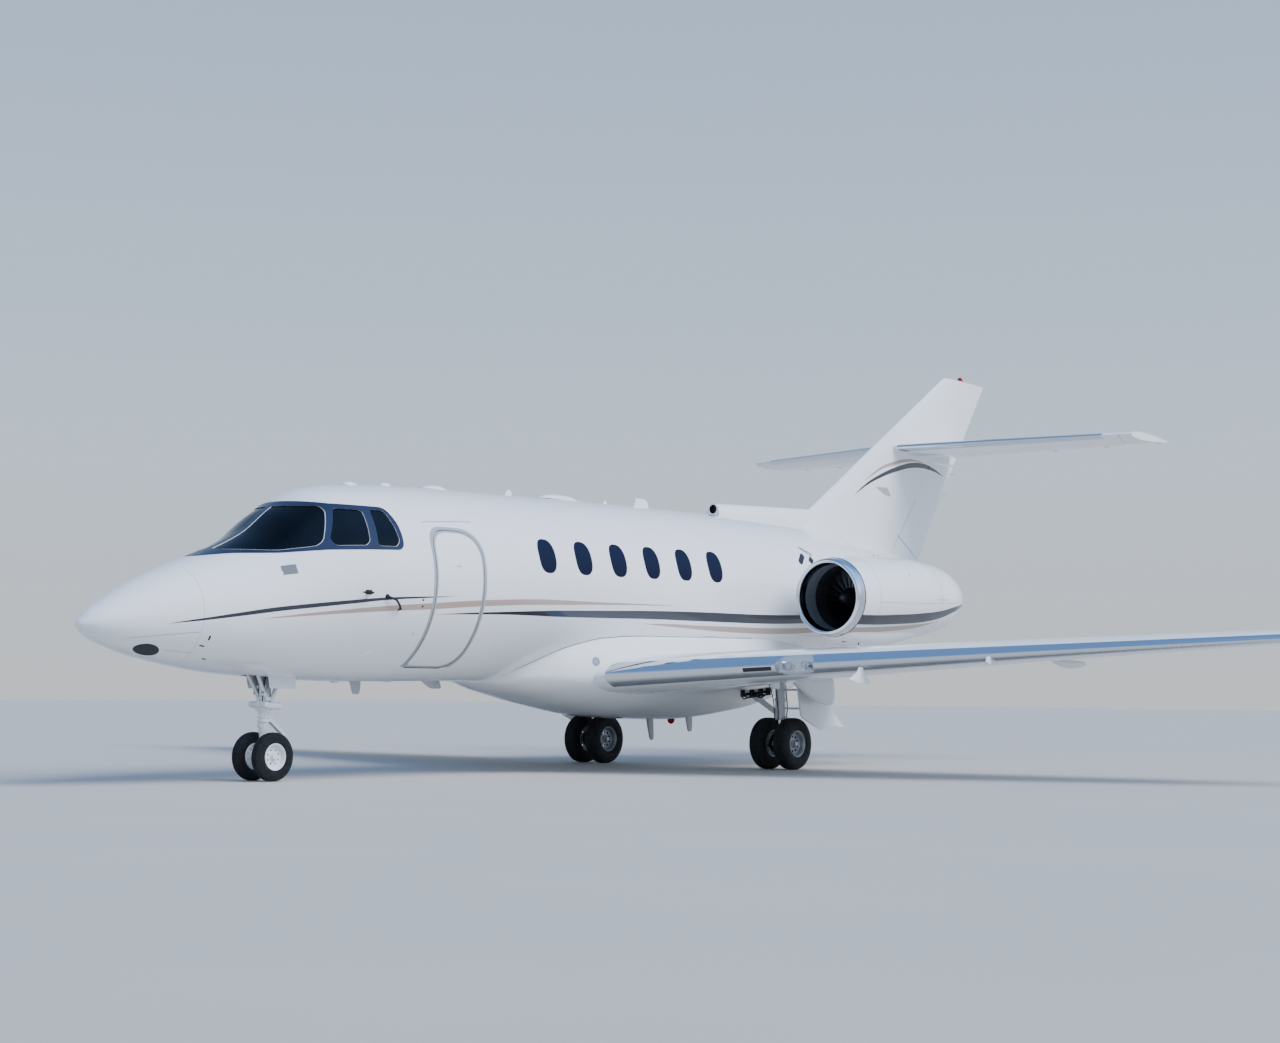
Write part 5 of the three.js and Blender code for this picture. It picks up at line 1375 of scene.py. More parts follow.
@dataclass
class Engines:
    """Nacelles, polished lips, pylons and what shows of the engines, in millimetres."""

    y: float = 1600
    z: float = 1978
    lip_station: float = 9130
    tilt: float = 1.66
    # columns: distance behind the lip's front, radius
    outer: Outline = ((130, 462), (420, 490), (900, 503), (1500, 495), (1950, 458), (2300, 404), (2560, 315))
    inner: Outline = ((130, 378), (800, 370), (1500, 390), (2200, 335), (2560, 297))
    lip: Outline = ((130, 378), (50, 387), (12, 402), (0, 425), (12, 440), (45, 452), (130, 462))
    length: float = 2560
    pylon: tuple[float, float] = (9950, 11620)
    pylon_z: float = 2040
    pylon_foil: float = 0.095
    # how far behind the lip the grey lining runs before the duct is painted black as shade
    duct_lit: float = 300
    # the bulge under the nacelle; columns: distance behind the lip, depth below the nacelle, half width
    chin: Outline = (
        (134, -6, 190), (200, 36, 225), (330, 78, 255), (560, 106, 278), (850, 106, 283), (1150, 76, 283),
        (1450, 34, 270), (1750, -6, 210),
    )
    chin_root: float = 400
    # columns: radius, chord, stagger in degrees, thickness as a share of the chord
    blade: tuple[tuple[float, ...], ...] = (
        (112, 104, 28, 0.10), (170, 112, 38, 0.075), (240, 118, 50, 0.055), (305, 120, 58, 0.042),
        (351, 112, 64, 0.035),
    )
    blades: int = 20
    fan_at: float = 575

    def cowl(self) -> Mesh:
        """The nacelle's shell: painted outside, bare metal inside behind the lip, and black painted shade
        deeper in.
        """
        place = self.place()
        ring = [*self.profile(self.outer, 40), *reversed(self.profile(self.inner, 24))]
        shell = turned(ring, place)
        back = place.inverted()
        for face in shell.faces:
            spot = back @ face.calc_center_median()
            limit = SmoothTable(self.outer).at(-spot.x / MM)[0] * MM
            if math.hypot(spot.y, spot.z) < limit - 0.012:
                # faces deeper in than duct_lit take the black finish as painted shade
                face.material_index = 1 if -spot.x < self.duct_lit * MM else 2
        return shell

    def fan(self) -> Mesh:
        """Twisted blades about a spinner."""
        table = SmoothTable(self.blade)
        parts = [turned([
            (-0.31, 0.0), (-0.318, 0.022), (-0.345, 0.048), (-0.40, 0.078), (-0.46, 0.100), (-0.52, 0.119),
            (-0.63, 0.119), (-0.63, 0.0),
        ], Matrix.Identity(4), 48)]
        first, last = self.blade[0][0], self.blade[-1][0]
        for number in range(self.blades):
            turn = Matrix.Rotation(2 * math.pi * number / self.blades, 4, "X")
            rings = []
            for radius in spread(first, last, 8):
                chord, stagger, thick = table.at(radius)
                angle = math.radians(stagger)
                foil = Aerofoil(thick, 0.05)
                ring = []
                for along, high in foil.outline(8):
                    a, n = (along - 0.5) * chord, high * chord
                    ring.append(turn @ (Vector((
                        -self.fan_at - a * math.cos(angle) + n * math.sin(angle),
                        a * math.sin(angle) + n * math.cos(angle), radius,
                    )) * MM))
                rings.append(ring)
            parts.append(set_finish(loft(rings), 1))
        return placed(joined(*parts), self.place())

    def core(self) -> Mesh:
        """The engine's casing behind the fan, with the cone of its exhaust."""
        place = self.place()
        casing = turned([
            (-0.72, 0.0), (-0.72, 0.16), (-0.73, 0.262), (-0.76, 0.285), (-0.86, 0.298), (-1.5, 0.298),
            (-1.78, 0.27), (-2.0, 0.208), (-2.0, 0.196), (-1.86, 0.222), (-1.80, 0.12), (-1.98, 0.112),
            (-2.12, 0.085), (-2.24, 0.045), (-2.295, 0.0),
        ], place, 64)
        vanes = []
        for number in range(24):
            turn = Matrix.Rotation(2 * math.pi * number / 24, 4, "X")
            vane_block = block(Vector((-0.86, -0.002, 0.27)), Vector((-0.74, 0.002, 0.378)))
            vanes.append(placed(placed(vane_block, turn), place))
        return joined(casing, *vanes)

    def nacelle_spot(self, along: float, angle: float) -> tuple[Vector, Vector]:
        """A point of the nacelle's skin and the direction out of it.

        Args:
            along: distance behind the lip's front, in millimetres.
            angle: angle above the outboard direction, in degrees.

        Returns:
            The point and the unit direction.
        """
        radius = SmoothTable(self.outer).at(along)[0]
        turn = math.radians(angle)
        out = Vector((0, math.cos(turn), math.sin(turn)))
        place = self.place()
        return place @ (Vector((-along, 0, 0)) * MM + out * radius * MM), (place.to_3x3() @ out).normalized()

    def details(self) -> None:
        """Makes the nacelle's joints, scoop, drains and openings."""
        lines = []
        for angle in (-8, 172):
            lines.append(ribbon([self.nacelle_spot(along, angle) for along in spread(420, 2300, 40)], 3))
        for along in (420, 1830):
            lines.append(ribbon([self.nacelle_spot(along, 5 * i) for i in range(73)], 3))
        lines.append(ribbon([self.nacelle_spot(along, -3) for along in spread(1700, 1960, 8)], 5))
        publish_pair(joined(*lines), "nacelle_joints", "airframe", [SEALANT], Slots.WHITE)
        hoop = [(-0.128, 0.4645), (-0.137, 0.4655), (-0.137, 0.44), (-0.128, 0.44)]
        publish_pair(turned(hoop, self.place()), "lip_joint", "airframe", [PLASTIC], Slots.PLASTIC)
        publish_pair(
            loft([self.chin_ring(along) for along in spread(self.chin[0][0], self.chin[-1][0], 36, 1.4)]),
            "nacelle_chin", "airframe", [WHITE_PAINT], Slots.WHITE,
        )
        marks = [
            on_skin(port(24, 3.0), self.chin_spot(250, -72), 0.001),
            on_skin(tile(86, 15, 3, 0.5), self.chin_spot(430, -54), 0.001, -0.6),
            on_skin(port(11, 1.5), self.nacelle_spot(1150, 33)),
        ]
        for along in (640, 760, 900):
            spot, normal = self.chin_spot(along, -84)
            marks.append(rod(spot - normal * 0.01, spot + normal * 0.035, 0.014, 0.010, 16))
        publish_pair(joined(*marks), "nacelle_drains", "airframe", [PLASTIC], Slots.PLASTIC)

    def chin_size(self, along: float) -> tuple[float, float, float]:
        """Half width, middle below the axis and half height of the chin at a distance behind the lip."""
        depth, half = SmoothTable(self.chin).at(along)
        low = SmoothTable(self.outer).at(along)[0] + depth
        return half, self.chin_root, low - self.chin_root

    def chin_ring(self, along: float) -> list[Vector]:
        """The chin's section at a distance behind the lip."""
        half, middle, high = self.chin_size(along)
        place = self.place()
        return [
            place @ (Vector((-along, half * across, -middle + (high if k > 20 else 4) * up)) * MM)
            for k, (across, up) in enumerate(circle(40))
        ]

    def chin_spot(self, along: float, angle: float) -> tuple[Vector, Vector]:
        """A point of the chin's skin at an angle round its section, and the direction out of it."""
        half, middle, high = self.chin_size(along)
        turn = math.radians(angle)
        place = self.place()
        spot = place @ (Vector((-along, half * math.cos(turn), -middle + high * math.sin(turn))) * MM)
        return spot, (place.to_3x3() @ Vector((0, math.cos(turn) / half, math.sin(turn) / high))).normalized()

    def running_parts(self) -> None:
        """Makes the fans and the engines' casings."""
        publish_pair(self.fan(), "fan_wheel", "fan_", [DARK_METAL, SHADED_FAN_METAL], Slots.FAN, "fan_")
        core = self.core()
        publish_pair(core, "engine_core_casing", "airframe", [DARK_METAL], Slots.ENGINE, "engine_core_")

    def place(self) -> Matrix:
        """Where an engine's own axis lies; its +X points forward from the lip."""
        turn = Matrix.Rotation(math.radians(self.tilt), 4, "Y")
        return Matrix.Translation(point(self.lip_station, self.y, self.z)) @ turn

    def profile(self, rows: Outline, steps: int, grow: float = 0.0) -> list[tuple[float, float]]:
        """A smooth run through a table, aft along the axis, in metres."""
        table = SmoothTable(rows)
        run = spread(rows[0][0], rows[-1][0], steps)
        return [(-along * MM, (table.at(along)[0] + grow) * MM) for along in run]

    def build(self) -> None:
        """Makes both engines' outer pieces."""
        place = self.place()
        finishes = [NACELLE_PAINT, DUCT_METAL, DUCT_PAINTED_SHADE]
        publish_pair(self.cowl(), "nacelle_skin", "airframe", finishes, Slots.WHITE, "nacelle_")
        lip = SmoothTable([(i, *row) for i, row in enumerate(self.lip)])
        points = [lip.at(i / 5) for i in range(31)]
        ring = [(-along * MM, radius * MM) for along, radius in points]
        lip_ring = turned(ring, place)
        publish_pair(lip_ring, "intake_lip_ring", "airframe", [POLISHED], Slots.POLISHED, "intake_lip_")
        front, back = self.pylon
        foil = Aerofoil(self.pylon_foil)
        rings = [
            Section(point(front, y, self.pylon_z), (back - front) * MM, foil, Vector((0, 0, 1))).ring()
            for y in (500, 1000, 1500)
        ]
        bulk = turned([
            (0.0, 0.0), (0.0, 0.425), *self.profile(self.outer, 40, 0.5), (-self.length * MM, 0.0),
        ], place)
        pylon = carve(loft(rings), Carving.CUT, hull_solid(9000, 13000, 0.5), bulk)
        publish_pair(pylon, "pylon_skin", "airframe", [WHITE_PAINT], Slots.WHITE, "pylon_")
        self.running_parts()


# Small fittings that stand on the skins


def on_hull(station: float, z: float, side: int = 1) -> tuple[Vector, Vector]:
    """A point of the hull's side and the direction out of it.

    Args:
        station: the station in millimetres.
        z: the height in millimetres.
        side: 1 for the left side or -1 for the right.

    Returns:
        The point and the unit direction, in metres.
    """
    def at(where: float, high: float) -> Vector:
        """The skin's point at a station and height."""
        return point(where, side * hull_half_width(where, high), high)

    along = at(station - 6, z) - at(station + 6, z)
    rise = at(station, z + 6) - at(station, z - 6)
    return at(station, z), (rise.cross(along) * side).normalized()


def on_crown(station: float, y: float = 0.0, belly: bool = False) -> tuple[Vector, Vector]:
    """A point on top of the hull, or under the belly or its fairing, and the direction out of it."""
    if belly and FAIRING[0][0] < station < FAIRING[-1][0]:
        return point(station, y, FAIRING_TABLE.at(station)[1]), Vector((0, 0, -1))
    top, bottom, half = HULL_TABLE.at(station)
    share = math.sqrt(1 - (y / half) ** 2)
    middle, high = (top + bottom) / 2, (top - bottom) / 2
    side = -1 if belly else 1
    spot = point(station, y, middle + side * high * share)
    return spot, Vector((0, y / half ** 2, side * share / high)).normalized()


def stand(spot: Vector, normal: Vector, sink: float = 0.0) -> Matrix:
    """A place on a skin: Z points out of it and X forward along it; it may be sunk by some metres."""
    forward = Vector((1, 0, 0))
    forward = (forward - normal * forward.dot(normal)).normalized()
    across = normal.cross(forward)
    base = spot - normal * sink
    return Matrix((
        (forward.x, across.x, normal.x, base.x), (forward.y, across.y, normal.y, base.y),
        (forward.z, across.z, normal.z, base.z), (0, 0, 0, 1),
    ))


def placed(mesh: Mesh, place: Matrix) -> Mesh:
    """Moves a mesh to its place and returns it."""
    bmesh.ops.transform(mesh, matrix=place, verts=mesh.verts)
    return mesh


def on_skin(mesh: Mesh, spot: tuple[Vector, Vector], sink: float = 0.0, turn: float = 0.0) -> Mesh:
    """Stands a mesh on a point of a skin, sunk by some metres and turned by an angle in radians."""
    place = stand(*spot, sink)
    return placed(mesh, place @ Matrix.Rotation(turn, 4, "Z") if turn else place)


def softened(mesh: Mesh, width: float, segments: int = 2) -> Mesh:
    """Bevels the sharp edges of a mesh, in metres, and returns it."""
    shared = [edge for edge in mesh.edges if len(edge.link_faces) == 2]
    edges = [edge for edge in shared if edge.calc_face_angle(0) > SHARP_ANGLE]
    bmesh.ops.bevel(
        mesh, geom=edges, offset=width, affect="EDGES", segments=segments, profile=0.5, material=-1,
        clamp_overlap=True,
    )
    return mesh


def tile(long: float, wide: float, thick: float, corner: float = 0.3) -> Mesh:
    """A plate that lies on XY with rounded corners and a soft edge, in millimetres; its foot is sunk."""
    reach, end, side = corner * min(long, wide), long / 2, wide / 2
    outline = rounded([(-end, -side), (end, -side), (end, side), (-end, side)], [reach] * 4, 5)
    mesh = prism([Vector((x, y, -4.0)) * MM for x, y in outline], Vector((0, 0, (thick + 4.0) * MM)))
    return softened(mesh, min(0.3, thick / 3) * MM, 1)


def dome(long: float, wide: float, high: float) -> Mesh:
    """A low streamlined dome on a thin flange, in millimetres."""
    mesh = bmesh.new()
    shape = Matrix.Diagonal((long / 2 * MM, wide / 2 * MM, high * MM, 1))
    bmesh.ops.create_uvsphere(mesh, u_segments=32, v_segments=16, radius=1, matrix=shape)
    flange = tile(long * 1.12, wide * 1.18, 2.0, 0.5)
    return joined(mesh, flange)


def blade(chord: float, span: float, sweep: float, thick: float = 0.16, taper: float = 0.55) -> Mesh:
    """A blade aerial that stands along Z on a base plate, in millimetres; its tip is swept aft."""
    foil = Aerofoil(thick)
    rings = []
    for i in range(13):
        share = i / 12
        rise = span * (1 - (1 - share) ** 1.6)
        size = chord * (1 - (1 - taper) * share) * (1 - 0.5 * share ** 8)
        lead = Vector((chord / 2 - sweep * share - 0.25 * (chord * (1 - share) - size) * share, 0, rise)) * MM
        rings.append(Section(lead, size * MM, foil, Vector((0, 1, 0))).ring())
    return joined(loft(rings), tile(chord * 1.15, chord * 0.34, 2.5, 0.5))


def probe(reach: float, long: float, radius: float) -> Mesh:
    """An air data probe: a swept strut that carries a tube pointing forward, in millimetres."""
    foil = Aerofoil(0.22)
    rings = []
    for i in range(7):
        share = i / 6
        size = mix(52, 2.6 * radius, share)
        rings.append(Section(
            Vector((20 + 10 * share, 0, reach * share)) * MM, size * MM, foil, Vector((0, 1, 0)),
        ).ring())
    tube = turned([
        (0.0, 0.0), (0.0, radius * MM), (long * 0.7 * MM, radius * MM), (long * MM, radius * 0.7 * MM),
        (long * MM, radius * 0.35 * MM), ((long - 14) * MM, 0.0),
    ], Matrix.Translation((-0.012, 0, reach * MM)), 24)
    return joined(loft(rings), tube, tile(84, 44, 2.5, 0.5))


def port(radius: float, proud: float = 1.2) -> Mesh:
    """A round plate with a raised rim and a small hole in its middle, in millimetres."""
    profile = [
        (-4, 0), (-4, radius), (proud * 0.6, radius), (proud, radius * 0.94), (proud, radius * 0.82),
        (proud * 0.5, radius * 0.78), (proud * 0.5, radius * 0.16), (-3, radius * 0.12), (-3, 0),
    ]
    turn = Matrix.Rotation(-math.pi / 2, 4, "Y")
    return turned([(along * MM, out * MM) for along, out in profile], turn, 40)


def beacon(radius: float, high: float) -> Mesh:
    """A light: a metal ring, which takes the second finish, round a clear dome, in millimetres."""
    turn = Matrix.Rotation(-math.pi / 2, 4, "Y")
    glass = [(-3.0, 0.0), (-3.0, radius * 0.86), (high * 0.3, radius * 0.84)]
    for i in range(1, 9):
        angle = math.pi / 2 * i / 8
        glass.append((high * (0.3 + 0.7 * math.sin(angle)), radius * 0.84 * math.cos(angle)))
    glass[-1] = (high, 0.0)
    ring = [
        (-4, radius * 0.87), (-4, radius * 1.1), (2, radius * 1.1), (high * 0.16, radius),
        (high * 0.16, radius * 0.87),
    ]
    lens = turned([(a * MM, r * MM) for a, r in glass], turn, 40)
    return joined(lens, set_finish(turned([(a * MM, r * MM) for a, r in ring], turn, 40), 1))


def wick(long: float) -> Mesh:
    """A static wick that runs aft along -X from a small foot, in millimetres."""
    foot = rod(Vector((0.03, 0, 0)), Vector((-0.03, 0, 0)), 0.006, 0.004, 12)
    tail = rod(Vector((-0.028, 0, 0)), Vector((-long * MM, 0, 0)), 0.0026, 0.0014, 10)
    return joined(foot, tail)


class Fitting(Enum):
    """Kinds of small fitting, each with the function that makes it."""

    TILE = "tile"
    DOME = "dome"
    BLADE = "blade"
    PROBE = "probe"
    PORT = "port"

    def make(self, sizes: Sequence[float]) -> Mesh:
        """The fitting's mesh at the origin."""
        makers = {"tile": tile, "dome": dome, "blade": blade, "probe": probe, "port": port}
        return makers[self.value](*sizes)


@dataclass
class Fittings:
    """Aerials, probes, ports, lights and wicks, in millimetres."""

    # columns: name, kind, station, y, sizes
    roof: tuple[tuple, ...] = (
        ("roof_aerial_front", Fitting.DOME, 3130, 0, (190, 90, 34)),
        ("roof_aerial_second", Fitting.DOME, 3610, 0, (150, 80, 36)),
        ("roof_gps_dome", Fitting.DOME, 4290, 0, (330, 180, 46)),
        ("roof_com_blade", Fitting.BLADE, 5420, 0, (122, 67, 68, 0.16, 0.36)),
        ("roof_satcom_dome", Fitting.DOME, 6232, 0, (640, 200, 62)),
        ("roof_small_stub", Fitting.BLADE, 7030, 0, (66, 46, 26, 0.2, 0.6)),
        ("roof_rear_blade", Fitting.BLADE, 7680, 0, (280, 110, 84, 0.12, 0.62)),
    )
    belly: tuple[tuple, ...] = (
        ("belly_blade_front", Fitting.BLADE, 3250, 0, (150, 130, 70)),
        ("belly_blade_second", Fitting.BLADE, 4290, 0, (260, 80, 190)),
        ("belly_blade_long", Fitting.BLADE, 7870, 0, (130, 240, 90)),
        ("belly_blade_rear", Fitting.BLADE, 8600, 0, (140, 200, 80)),
    )
    # columns: name, kind, station, z, sizes, side, finish
    sides: tuple[tuple, ...] = (
        ("pitot_probe_upper", Fitting.PROBE, 2590, 1769, (62, 118, 10), 0, "bronze"),
        ("static_plate_upper", Fitting.PORT, 3249, 1721, (12,), 0, "dark"),
        ("static_plate_lower", Fitting.PORT, 3256, 1660, (12,), 0, "dark"),
        ("drain_port", Fitting.PORT, 3247, 1397, (16,), 1, "dark"),
        ("ice_plate", Fitting.TILE, 1790, 1946, (150, 96, 2.2, 0.1), 0, "plate"),
        ("nose_latch_front", Fitting.TILE, 1043, 1305, (18, 50, 1.2, 0.4), 0, "dark"),
        ("nose_latch_middle", Fitting.TILE, 1010, 1235, (52, 16, 1.2, 0.4), 0, "dark"),
        ("nose_latch_rear", Fitting.TILE, 1122, 1122, (44, 18, 1.2, 0.4), 0, "dark"),
    )
    # where the wicks stand along their trailing edges: y on wing and tailplane, height on the fin
    wing_wicks: tuple[float, ...] = (5150, 5900, 6600, 7250)
    tail_wicks: tuple[float, ...] = (1500, 2200, 2900)
    fin_wicks: tuple[float, ...] = (3700, 4000)
    wick_long: float = 150

    def build(self) -> None:
        """Makes every small fitting of the airframe."""
        for name, kind, station, y, sizes in self.roof:
            mesh = on_skin(kind.make(sizes), on_crown(station, y), 0.002)
            publish(mesh, name, "airframe", [WHITE_PAINT], Slots.WHITE)
        for name, kind, station, y, sizes in self.belly:
            mesh = on_skin(kind.make(sizes), on_crown(station, y, True), 0.004)
            publish(mesh, name, "airframe", [AERIAL_PAINT], Slots.WHITE)
        finishes = {
            "dark": (PLASTIC, Slots.PLASTIC), "plate": (PLATE_METAL, Slots.POLISHED),
            "bronze": (DARK_METAL, Slots.POLISHED),
        }
        for name, kind, station, z, sizes, only, finish in self.sides:
            coat, slot = finishes[finish]
            for side, sign in SIDES:
                if only and sign != only:
                    continue
                mesh = on_skin(kind.make(sizes), on_hull(station, z, sign), 0.001)
                publish(mesh, f"{name}_{side}", "airframe", [coat], slot)
        self.lights()
        self.wicks()

    def lights(self) -> None:
        """Makes the red beacons and the tip lights."""
        fin_top = (Fin().section(5358).spot(0.42, 0), Vector((0, 0, 1)))
        belly = on_crown(8267, 0, True)
        for name, radius, spot in (("beacon_top", 46, fin_top), ("beacon_belly", 52, belly)):
            publish(on_skin(beacon(radius, 70), spot), name, "airframe", [RED_GLASS, STEEL], Slots.GLASS)
        tip = Wings().winglet_sections()[12]
        for (side, sign), coat in zip(SIDES, (RED_GLASS, GREEN_GLASS)):
            lead = tip.spot(0.02, 0)
            normal = Vector((0.5, 1.0, 0.1)).normalized()
            mesh = placed(beacon(22, 26), stand(lead, normal, 0.004) @ Matrix.Diagonal((2.4, 1, 1, 1)))
            shape = mesh if sign > 0 else reflected(mesh)
            publish(shape, f"tip_light_{side}", "airframe", [coat, STEEL], Slots.GLASS)

    def wicks(self) -> None:
        """Makes the static wicks on the trailing edges."""
        for name, surface, places, share, body in (
            ("wing_wick", Wings(), self.wing_wicks, 0.998, "aileron_"),
            ("tail_wick", Tailplane(), self.tail_wicks, 0.995, "elevator_"),
            ("rudder_wick", Fin(), self.fin_wicks, 0.995, "rudder"),
        ):
            make = publish if body == "rudder" else publish_pair
            for i, at in enumerate(places):
                mesh = placed(wick(self.wick_long), Matrix.Translation(surface.section(at).spot(share, 0)))
                make(mesh, f"{name}_{i}", body, [PLASTIC], Slots.PLASTIC)


def tube(path: Sequence[Vector], radius: float, sides: int = 10) -> Mesh:
    """A rigid pipe through points, in metres; each bend is as wide as the points make it."""
    rings = []
    for i, spot in enumerate(path):
        before, after = path[max(i - 1, 0)], path[min(i + 1, len(path) - 1)]
        turn = (after - before).to_track_quat("Z", "Y")
        rings.append([spot + turn @ Vector((across, up, 0)) * radius for across, up in circle(sides)])
    return loft(rings)


def pipe(corners: Sequence[tuple[float, float, float]], radius: float) -> Mesh:
    """A pipe with easy bends through corners given as station, y and z, in millimetres."""
    spots = [point(*corner) for corner in corners]
    path = [spots[0]]
    for before, here, after in zip(spots, spots[1:], spots[2:]):
        for step in range(7):
            t = step / 6
            enter, leave = here.lerp(before, 0.3), here.lerp(after, 0.3)
            path.append(enter * (1 - t) ** 2 + here * 2 * t * (1 - t) + leave * t * t)
    path.append(spots[-1])
    return tube(path, radius * MM)


def upright(profile: Outline, station: float, y: float, sides: int = 40) -> Mesh:
    """A part turned about an upright axis from heights and radii, all in millimetres."""
    turn = Matrix.Rotation(-math.pi / 2, 4, "Y")
    place = Matrix.Translation(point(station, y, 0)) @ turn
    return turned([(z * MM, radius * MM) for z, radius in profile], place, sides)


def crosswise(profile: Outline, station: float, y: float, z: float, sides: int = 64) -> Mesh:
    """A part turned about an axle from distances to the left and radii, all in millimetres."""
    place = Matrix.Translation(point(station, y, z)) @ Matrix.Rotation(math.pi / 2, 4, "Z")
    return turned([(along * MM, radius * MM) for along, radius in profile], place, sides)


def axle(reach: float, radius: float, station: float, y: float, z: float, sides: int = 20) -> Mesh:
    """A plain round bar that reaches as far to both sides of its middle, in millimetres."""
    return crosswise([(-reach, 0), (-reach, radius), (reach, radius), (reach, 0)], station, y, z, sides)


def link_arm(
    start: tuple[float, float], end: tuple[float, float], wide: tuple[float, float], y: float, thick: float,
) -> Mesh:
    """One arm of a torque link: two cheeks that taper from root to knee, with a web between them.

    Args:
        start: station and height of the root.
        end: station and height of the knee.
        wide: how deep the arm is at its root and at its knee.
        y: where its middle lies.
        thick: how far its two cheeks stand apart.

    Returns:
        The arm, in place.
    """
    run = Vector((end[0] - start[0], end[1] - start[1])).normalized()
    side = Vector((-run.y, run.x))
    root, knee = Vector(start), Vector(end)
    deep, shallow = wide[0] / 2, wide[1] / 2
    corners = [
        root + side * deep, knee + side * shallow, knee + run * shallow, knee - side * shallow,
        root - side * deep,
    ]
    plain = [(corner.x, corner.y) for corner in corners]
    outline, inner = rounded(plain, [8] * 5, 4), rounded(moved_out(plain, -9), [5] * 5, 4)
    cheeks = [side_prism(outline, y + sign * thick - 5, y + sign * thick + 5) for sign in (-1, 1)]
    web = side_prism(inner, y - thick, y + thick)
    pin = axle(thick + 12, 9, end[0], y, end[1])
    return joined(*[softened(cheek, 0.0012, 1) for cheek in cheeks], web, pin)


@dataclass
class Wheel:
    """A tyre and its hub, in millimetres."""

    tyre: float
    wide: float
    rim: float
    holes: int
    hole_radius: float
    cap: float

    def tyre_mesh(self, station: float, y: float, sides: int = 96) -> Mesh:
        """A tyre with round shoulders and grooves round its tread."""
        wide, full, rim = self.wide, self.tyre, self.rim
        half = [
            (0.0, full), (0.035, full), (0.05, full - 5), (0.075, full - 5), (0.09, full), (0.19, full - 1),
            (0.205, full - 6), (0.23, full - 6), (0.245, full - 2), (0.33, full - 6),
        ]
        shoulder = [
            (0.40, full - 16), (0.455, full - 34), (0.49, mix(full, rim, 0.42)), (0.5, mix(full, rim, 0.56)),
            (0.485, mix(full, rim, 0.74)), (0.45, mix(full, rim, 0.88)), (0.41, rim + 3), (0.40, rim),
        ]
        side = [(share * wide, radius) for share, radius in half + shoulder]
        ring = [*reversed(side), *[(-along, radius) for along, radius in side[1:]]]
        return crosswise(ring, station, y, full, sides)

    def hub_mesh(self, station: float, y: float, out: int) -> Mesh:
        """A pressed wheel with holes and bolts.

        Args:
            station: station of the axle.
            y: middle of the wheel.
            out: 1 where its outer face looks to the left, -1 where it looks to the right.

        Returns:
            The wheel; its bolts take the second finish, a dark metal, and its holes' walls take it too as
            painted shade inside the holes.
        """
        edge, rim, cap = self.wide * 0.41, self.rim - 0.6, self.cap
        profile = [
            (edge * 0.86, 0), (edge * 0.86, cap * 0.7), (edge * 0.78, cap), (edge * 0.5, cap * 1.04),
            (edge * 0.44, cap * 1.5), (edge * 0.2, cap * 1.7), (edge * 0.14, rim * 0.72),
            (edge * 0.3, rim * 0.8), (edge * 0.82, rim * 0.86), (edge * 0.98, rim * 0.9),
            (edge * 1.06, rim * 0.955), (edge, rim), (-edge, rim), (-edge * 1.04, rim * 0.95),
            (-edge, rim * 0.9), (-edge * 0.2, rim * 0.82), (-edge * 0.1, rim * 0.7),
            (-edge * 0.06, cap * 1.5), (-edge * 0.3, cap * 1.2), (-edge * 0.3, 0),
        ]
        hub = crosswise(profile, 0, 0, 0, 72)
        middle = (cap * 1.7 + rim * 0.74) / 2
        drill = [(-edge, 0), (-edge, self.hole_radius), (edge * 0.7, self.hole_radius), (edge * 0.7, 0)]
        bolt = [(edge * 0.3, 0), (edge * 0.3, cap * 0.12), (edge * 0.58, cap * 0.12), (edge * 0.6, 0)]
        ring = cap * 1.28
        drills, bolts = [], []
        for ahead, up in circle(self.holes, 0.5):
            # the holes' walls get the dark finish as painted shade
            drills.append(set_finish(crosswise(drill, middle * ahead, 0, middle * up, 20), 1))
            bolts.append(set_finish(crosswise(bolt, ring * ahead, 0, ring * up, 6), 1))
        hub = joined(carve(hub, Carving.CUT, joined(*drills)), *bolts)
        move = Matrix.Translation(point(station, y, self.tyre) - point(0, 0, 0))
        if out < 0:
            hub = reflected(hub)
        return placed(hub, move)

    def axle_mesh(self, station: float, y: float, reach: float, radius: float) -> Mesh:
        """The axle that joins a pair of wheels."""
        return axle(reach, radius, station, y, self.tyre, 32)


# a place beside a leg: distance aft of it, distance to its left, height
Beside = tuple[float, float, float]
# a bar beside a leg: its two ends, the radius at each in metres, its sides
Bar = tuple[Beside, Beside, float, float, int]
# a pipe beside a leg: its ends and bends, its radius
Run = tuple[tuple[Beside, ...], float]
# an arm of a torque link: its root and its knee as distance aft and height, its depth at both, its thickness
Arm = tuple[tuple[float, float], tuple[float, float], tuple[float, float], float]


def leg_bars(table: Sequence[Bar], station: float, y: float, side: int = 1) -> list[Mesh]:
    """The bars of a table, in millimetres.

    Args:
        table: the bars as seen from their leg.
        station: the leg's station.
        y: where the leg stands.
        side: -1 where distances to the left become distances to the right.

    Returns:
        A mesh for each bar.
    """
    return [
        rod(
            point(station + start[0], y + side * start[1], start[2]),
            point(station + end[0], y + side * end[1], end[2]), first, last, sides,
        )
        for start, end, first, last, sides in table
    ]


def leg_pipes(table: Sequence[Run], station: float, y: float) -> list[Mesh]:
    """The pipes of a table, placed beside a leg."""
    return [
        pipe([(station + aft, y + out, z) for aft, out, z in path], radius) for path, radius in table
    ]


def leg_links(table: Sequence[Arm], station: float, y: float) -> list[Mesh]:
    """The arms of a leg's torque links."""
    return [
        link_arm((station + root[0], root[1]), (station + knee[0], knee[1]), wide, y, thick)
        for root, knee, wide, thick in table
    ]


